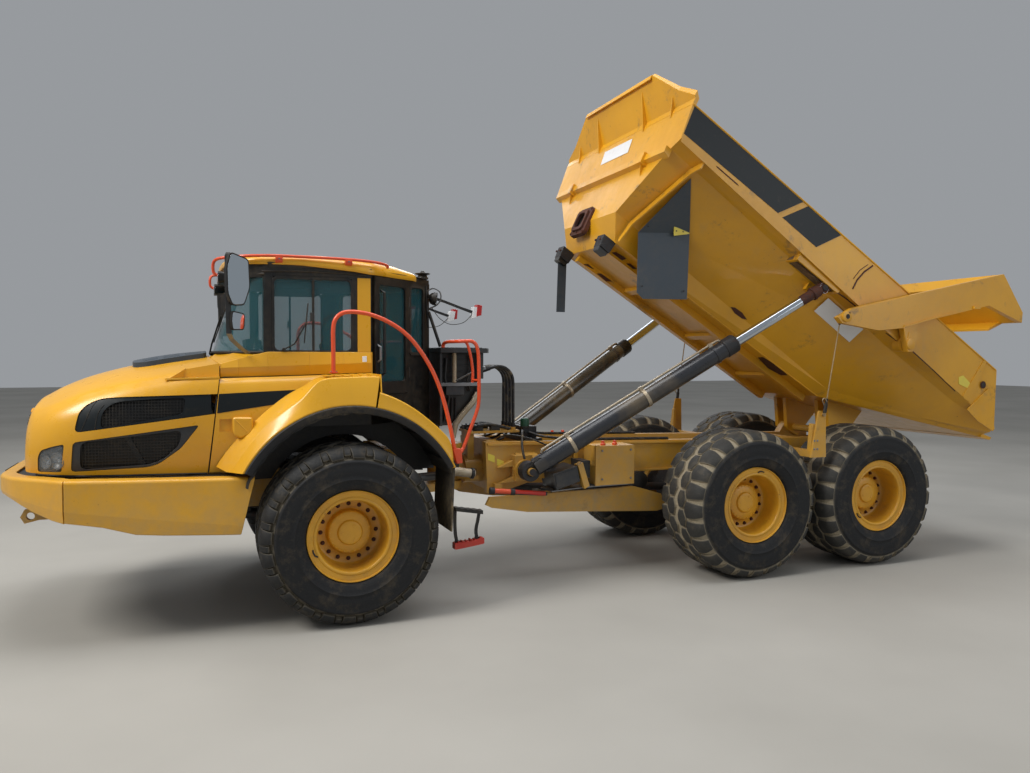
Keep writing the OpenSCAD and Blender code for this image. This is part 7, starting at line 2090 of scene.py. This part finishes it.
# hoist cylinders
HA = Vector((-1.915, 0.700, 1.149))
HBp = R(-4.330, 1.370, 2.258)
for side, s in SIDES:
    cad_look("hoist_barrel_%s" % side, "barrel" if s > 0 else "barrel_old", 0.004)
    cad_look("hoist_rod_%s" % side, "chrome", 0.002)
    a_ = V(-1.915, s * 0.700, 1.149)
    b_end = Vector((HBp.x, s * HBp.y, HBp.z))
    d_ = (b_end - a_).normalized()
    sid = d_.cross(Vector((0, 0, 1))).normalized()
    nrm = sid.cross(d_).normalized()
    b = Build("barrel", "pipe_steel", "iron", "black", "grey_metal", "rusty", "hose")
    P_ = lambda k, u_=0.0, v_=0.0: a_ + d_ * k + nrm * u_ + sid * v_
    for k in (0.50, 1.42, 2.30):
        b.lathe([(0.0925, 0), (0.100, 0.003), (0.100, 0.037), (0.0925, 0.040)], P_(k), d_, 36, "pipe_steel" if k < 2 else "barrel", closed=True)
        b.loop_solid([[P_(k + q, 0.090, v_), P_(k + q, 0.134, v_)] + [P_(k + q, 0.134, v_ + 0.036), P_(k + q, 0.090, v_ + 0.036)] for q, v_ in ((0.0, -0.018), (0.040, -0.018))], "pipe_steel")
    pth = spline([tuple(P_(0.20, 0.092, 0.0)), tuple(P_(0.23, 0.114, 0.0)), tuple(P_(0.30, 0.118, 0.0)), tuple(P_(1.2, 0.118, 0.0)), tuple(P_(2.20, 0.118, 0.0)), tuple(P_(2.36, 0.120, 0.0)), tuple(P_(2.42, 0.114, 0.0)), tuple(P_(2.435, 0.100, 0.0))], 4)
    b.tube([Vector(p) for p in pth], 0.0125, 12, "pipe_steel")
    # gland at the barrel's mouth
    b.lathe([(0.0555, 2.500), (0.0555, 2.585), (0.082, 2.585), (0.096, 2.572), (0.101, 2.560), (0.101, 2.436), (0.094, 2.430), (0.094, 2.500)], a_, d_, 48, "iron" if s > 0 else "black", closed=True)
    for q in range(8):
        t_ = 2 * math.pi * q / 8
        b.bolt(P_(2.585, 0.074 * math.cos(t_), 0.074 * math.sin(t_)), d_, 0.008, 0.007, "grey_metal")
    # greasy eye and grease pipe loop at the foot
    b.lathe([(0.052, -0.062), (0.098, -0.062), (0.103, -0.050), (0.103, 0.050), (0.098, 0.062), (0.052, 0.062)], a_, (0, 1, 0), 40, "iron", closed=True)
    lp = spline([tuple(a_ + Vector((0.02, s * 0.066, 0.05))), tuple(a_ + Vector((-0.05, s * 0.085, 0.13))), tuple(a_ + Vector((-0.16, s * 0.085, 0.15))), tuple(a_ + Vector((-0.26, s * 0.075, 0.22))), tuple(P_(0.34, 0.10, -0.02))], 5)
    b.tube([Vector(p) for p in lp], 0.006, 8, "black")
    b.done("hoist_barrel_fittings_%s" % side, "hoist_barrel_%s" % side, "dark_paint", bevel=0.0015, angle=40)
    b = Build("rusty", "iron", "black")
    L_ = (b_end - a_).length
    b.lathe([(0.0, -0.037), (0.058, -0.037), (0.062, -0.028), (0.062, 0.028), (0.058, 0.037), (0.0, 0.037)], b_end, (0, 1, 0), 36, "rusty")
    b.lathe([(0.0, 0.037), (0.034, 0.037), (0.032, 0.050), (0.0, 0.050)], b_end, (0, s, 0), 24, "iron")
    b.lathe([(0.0555, L_ - 0.145), (0.072, L_ - 0.142), (0.074, L_ - 0.125), (0.068, L_ - 0.110), (0.064, L_ - 0.06), (0.05, L_ - 0.03), (0.0555, L_ - 0.10)], a_, d_, 32, "rusty", closed=True)
    b.lathe([(0.0551, L_ - 0.30), (0.0557, L_ - 0.298), (0.0557, L_ - 0.144), (0.0551, L_ - 0.142)], a_, d_, 32, "rusty", closed=True)
    b.done("hoist_rod_fittings_%s" % side, "hoist_rod_%s" % side, "dark_paint", bevel=0.001, angle=40)


# ------------------------------------------------------------------ studio
fm = Mat("floor_pale", Roughness=0.85)
fm.colour(fm.mix(fm.ramp(fm.noise(0.35, 4, 0.5), 0.35, 0.65), hexc("#a9a69f"), hexc("#9e9b94")))
bm = bmesh.new()
vs = [bm.verts.new(p) for p in ((-60, -60, 0), (60, -60, 0), (60, 60, 0), (-60, 60, 0))]
bm.faces.new(vs)
me = bpy.data.meshes.new("floor")
bm.to_mesh(me)
bm.free()
me.materials.append(fm.m)
floor = bpy.data.objects.new("floor", me)
bpy.context.scene.collection.objects.link(floor)


def area(name, at, to, size, power, colour=(1, 1, 1)):
    d = bpy.data.lights.new(name, "AREA")
    d.shape = "RECTANGLE"
    d.size, d.size_y = size
    d.energy = power
    d.color = colour
    o = bpy.data.objects.new(name, d)
    bpy.context.scene.collection.objects.link(o)
    at, to = Vector(at), Vector(to)
    o.matrix_world = Matrix.Translation(at) @ (to - at).to_track_quat("-Z", "Y").to_matrix().to_4x4()
    return o


area("key", (12.0, 3.0, 12.0), (0.5, 0.0, 2.0), (5, 5), 1500, (1.0, 0.97, 0.92))
area("fill", (-9.0, 12.0, 6.0), (0.0, 0.0, 2.0), (9, 7), 300, (0.94, 0.97, 1.0))
area("back", (-4.0, -13.0, 9.0), (0.0, 0.0, 2.5), (10, 6), 650, (0.95, 0.97, 1.0))
area("top", (0.0, 1.0, 14.0), (0.0, 0.0, 0.0), (12, 9), 1250, (0.97, 0.98, 1.0))
world = bpy.data.worlds.new("studio")
bpy.context.scene.view_settings.view_transform = "Standard"
bpy.context.scene.world = world
world.use_nodes = True
bg = world.node_tree.nodes["Background"]
bg.inputs["Color"].default_value = (0.86, 0.90, 0.95, 1)
bg.inputs["Strength"].default_value = 0.36
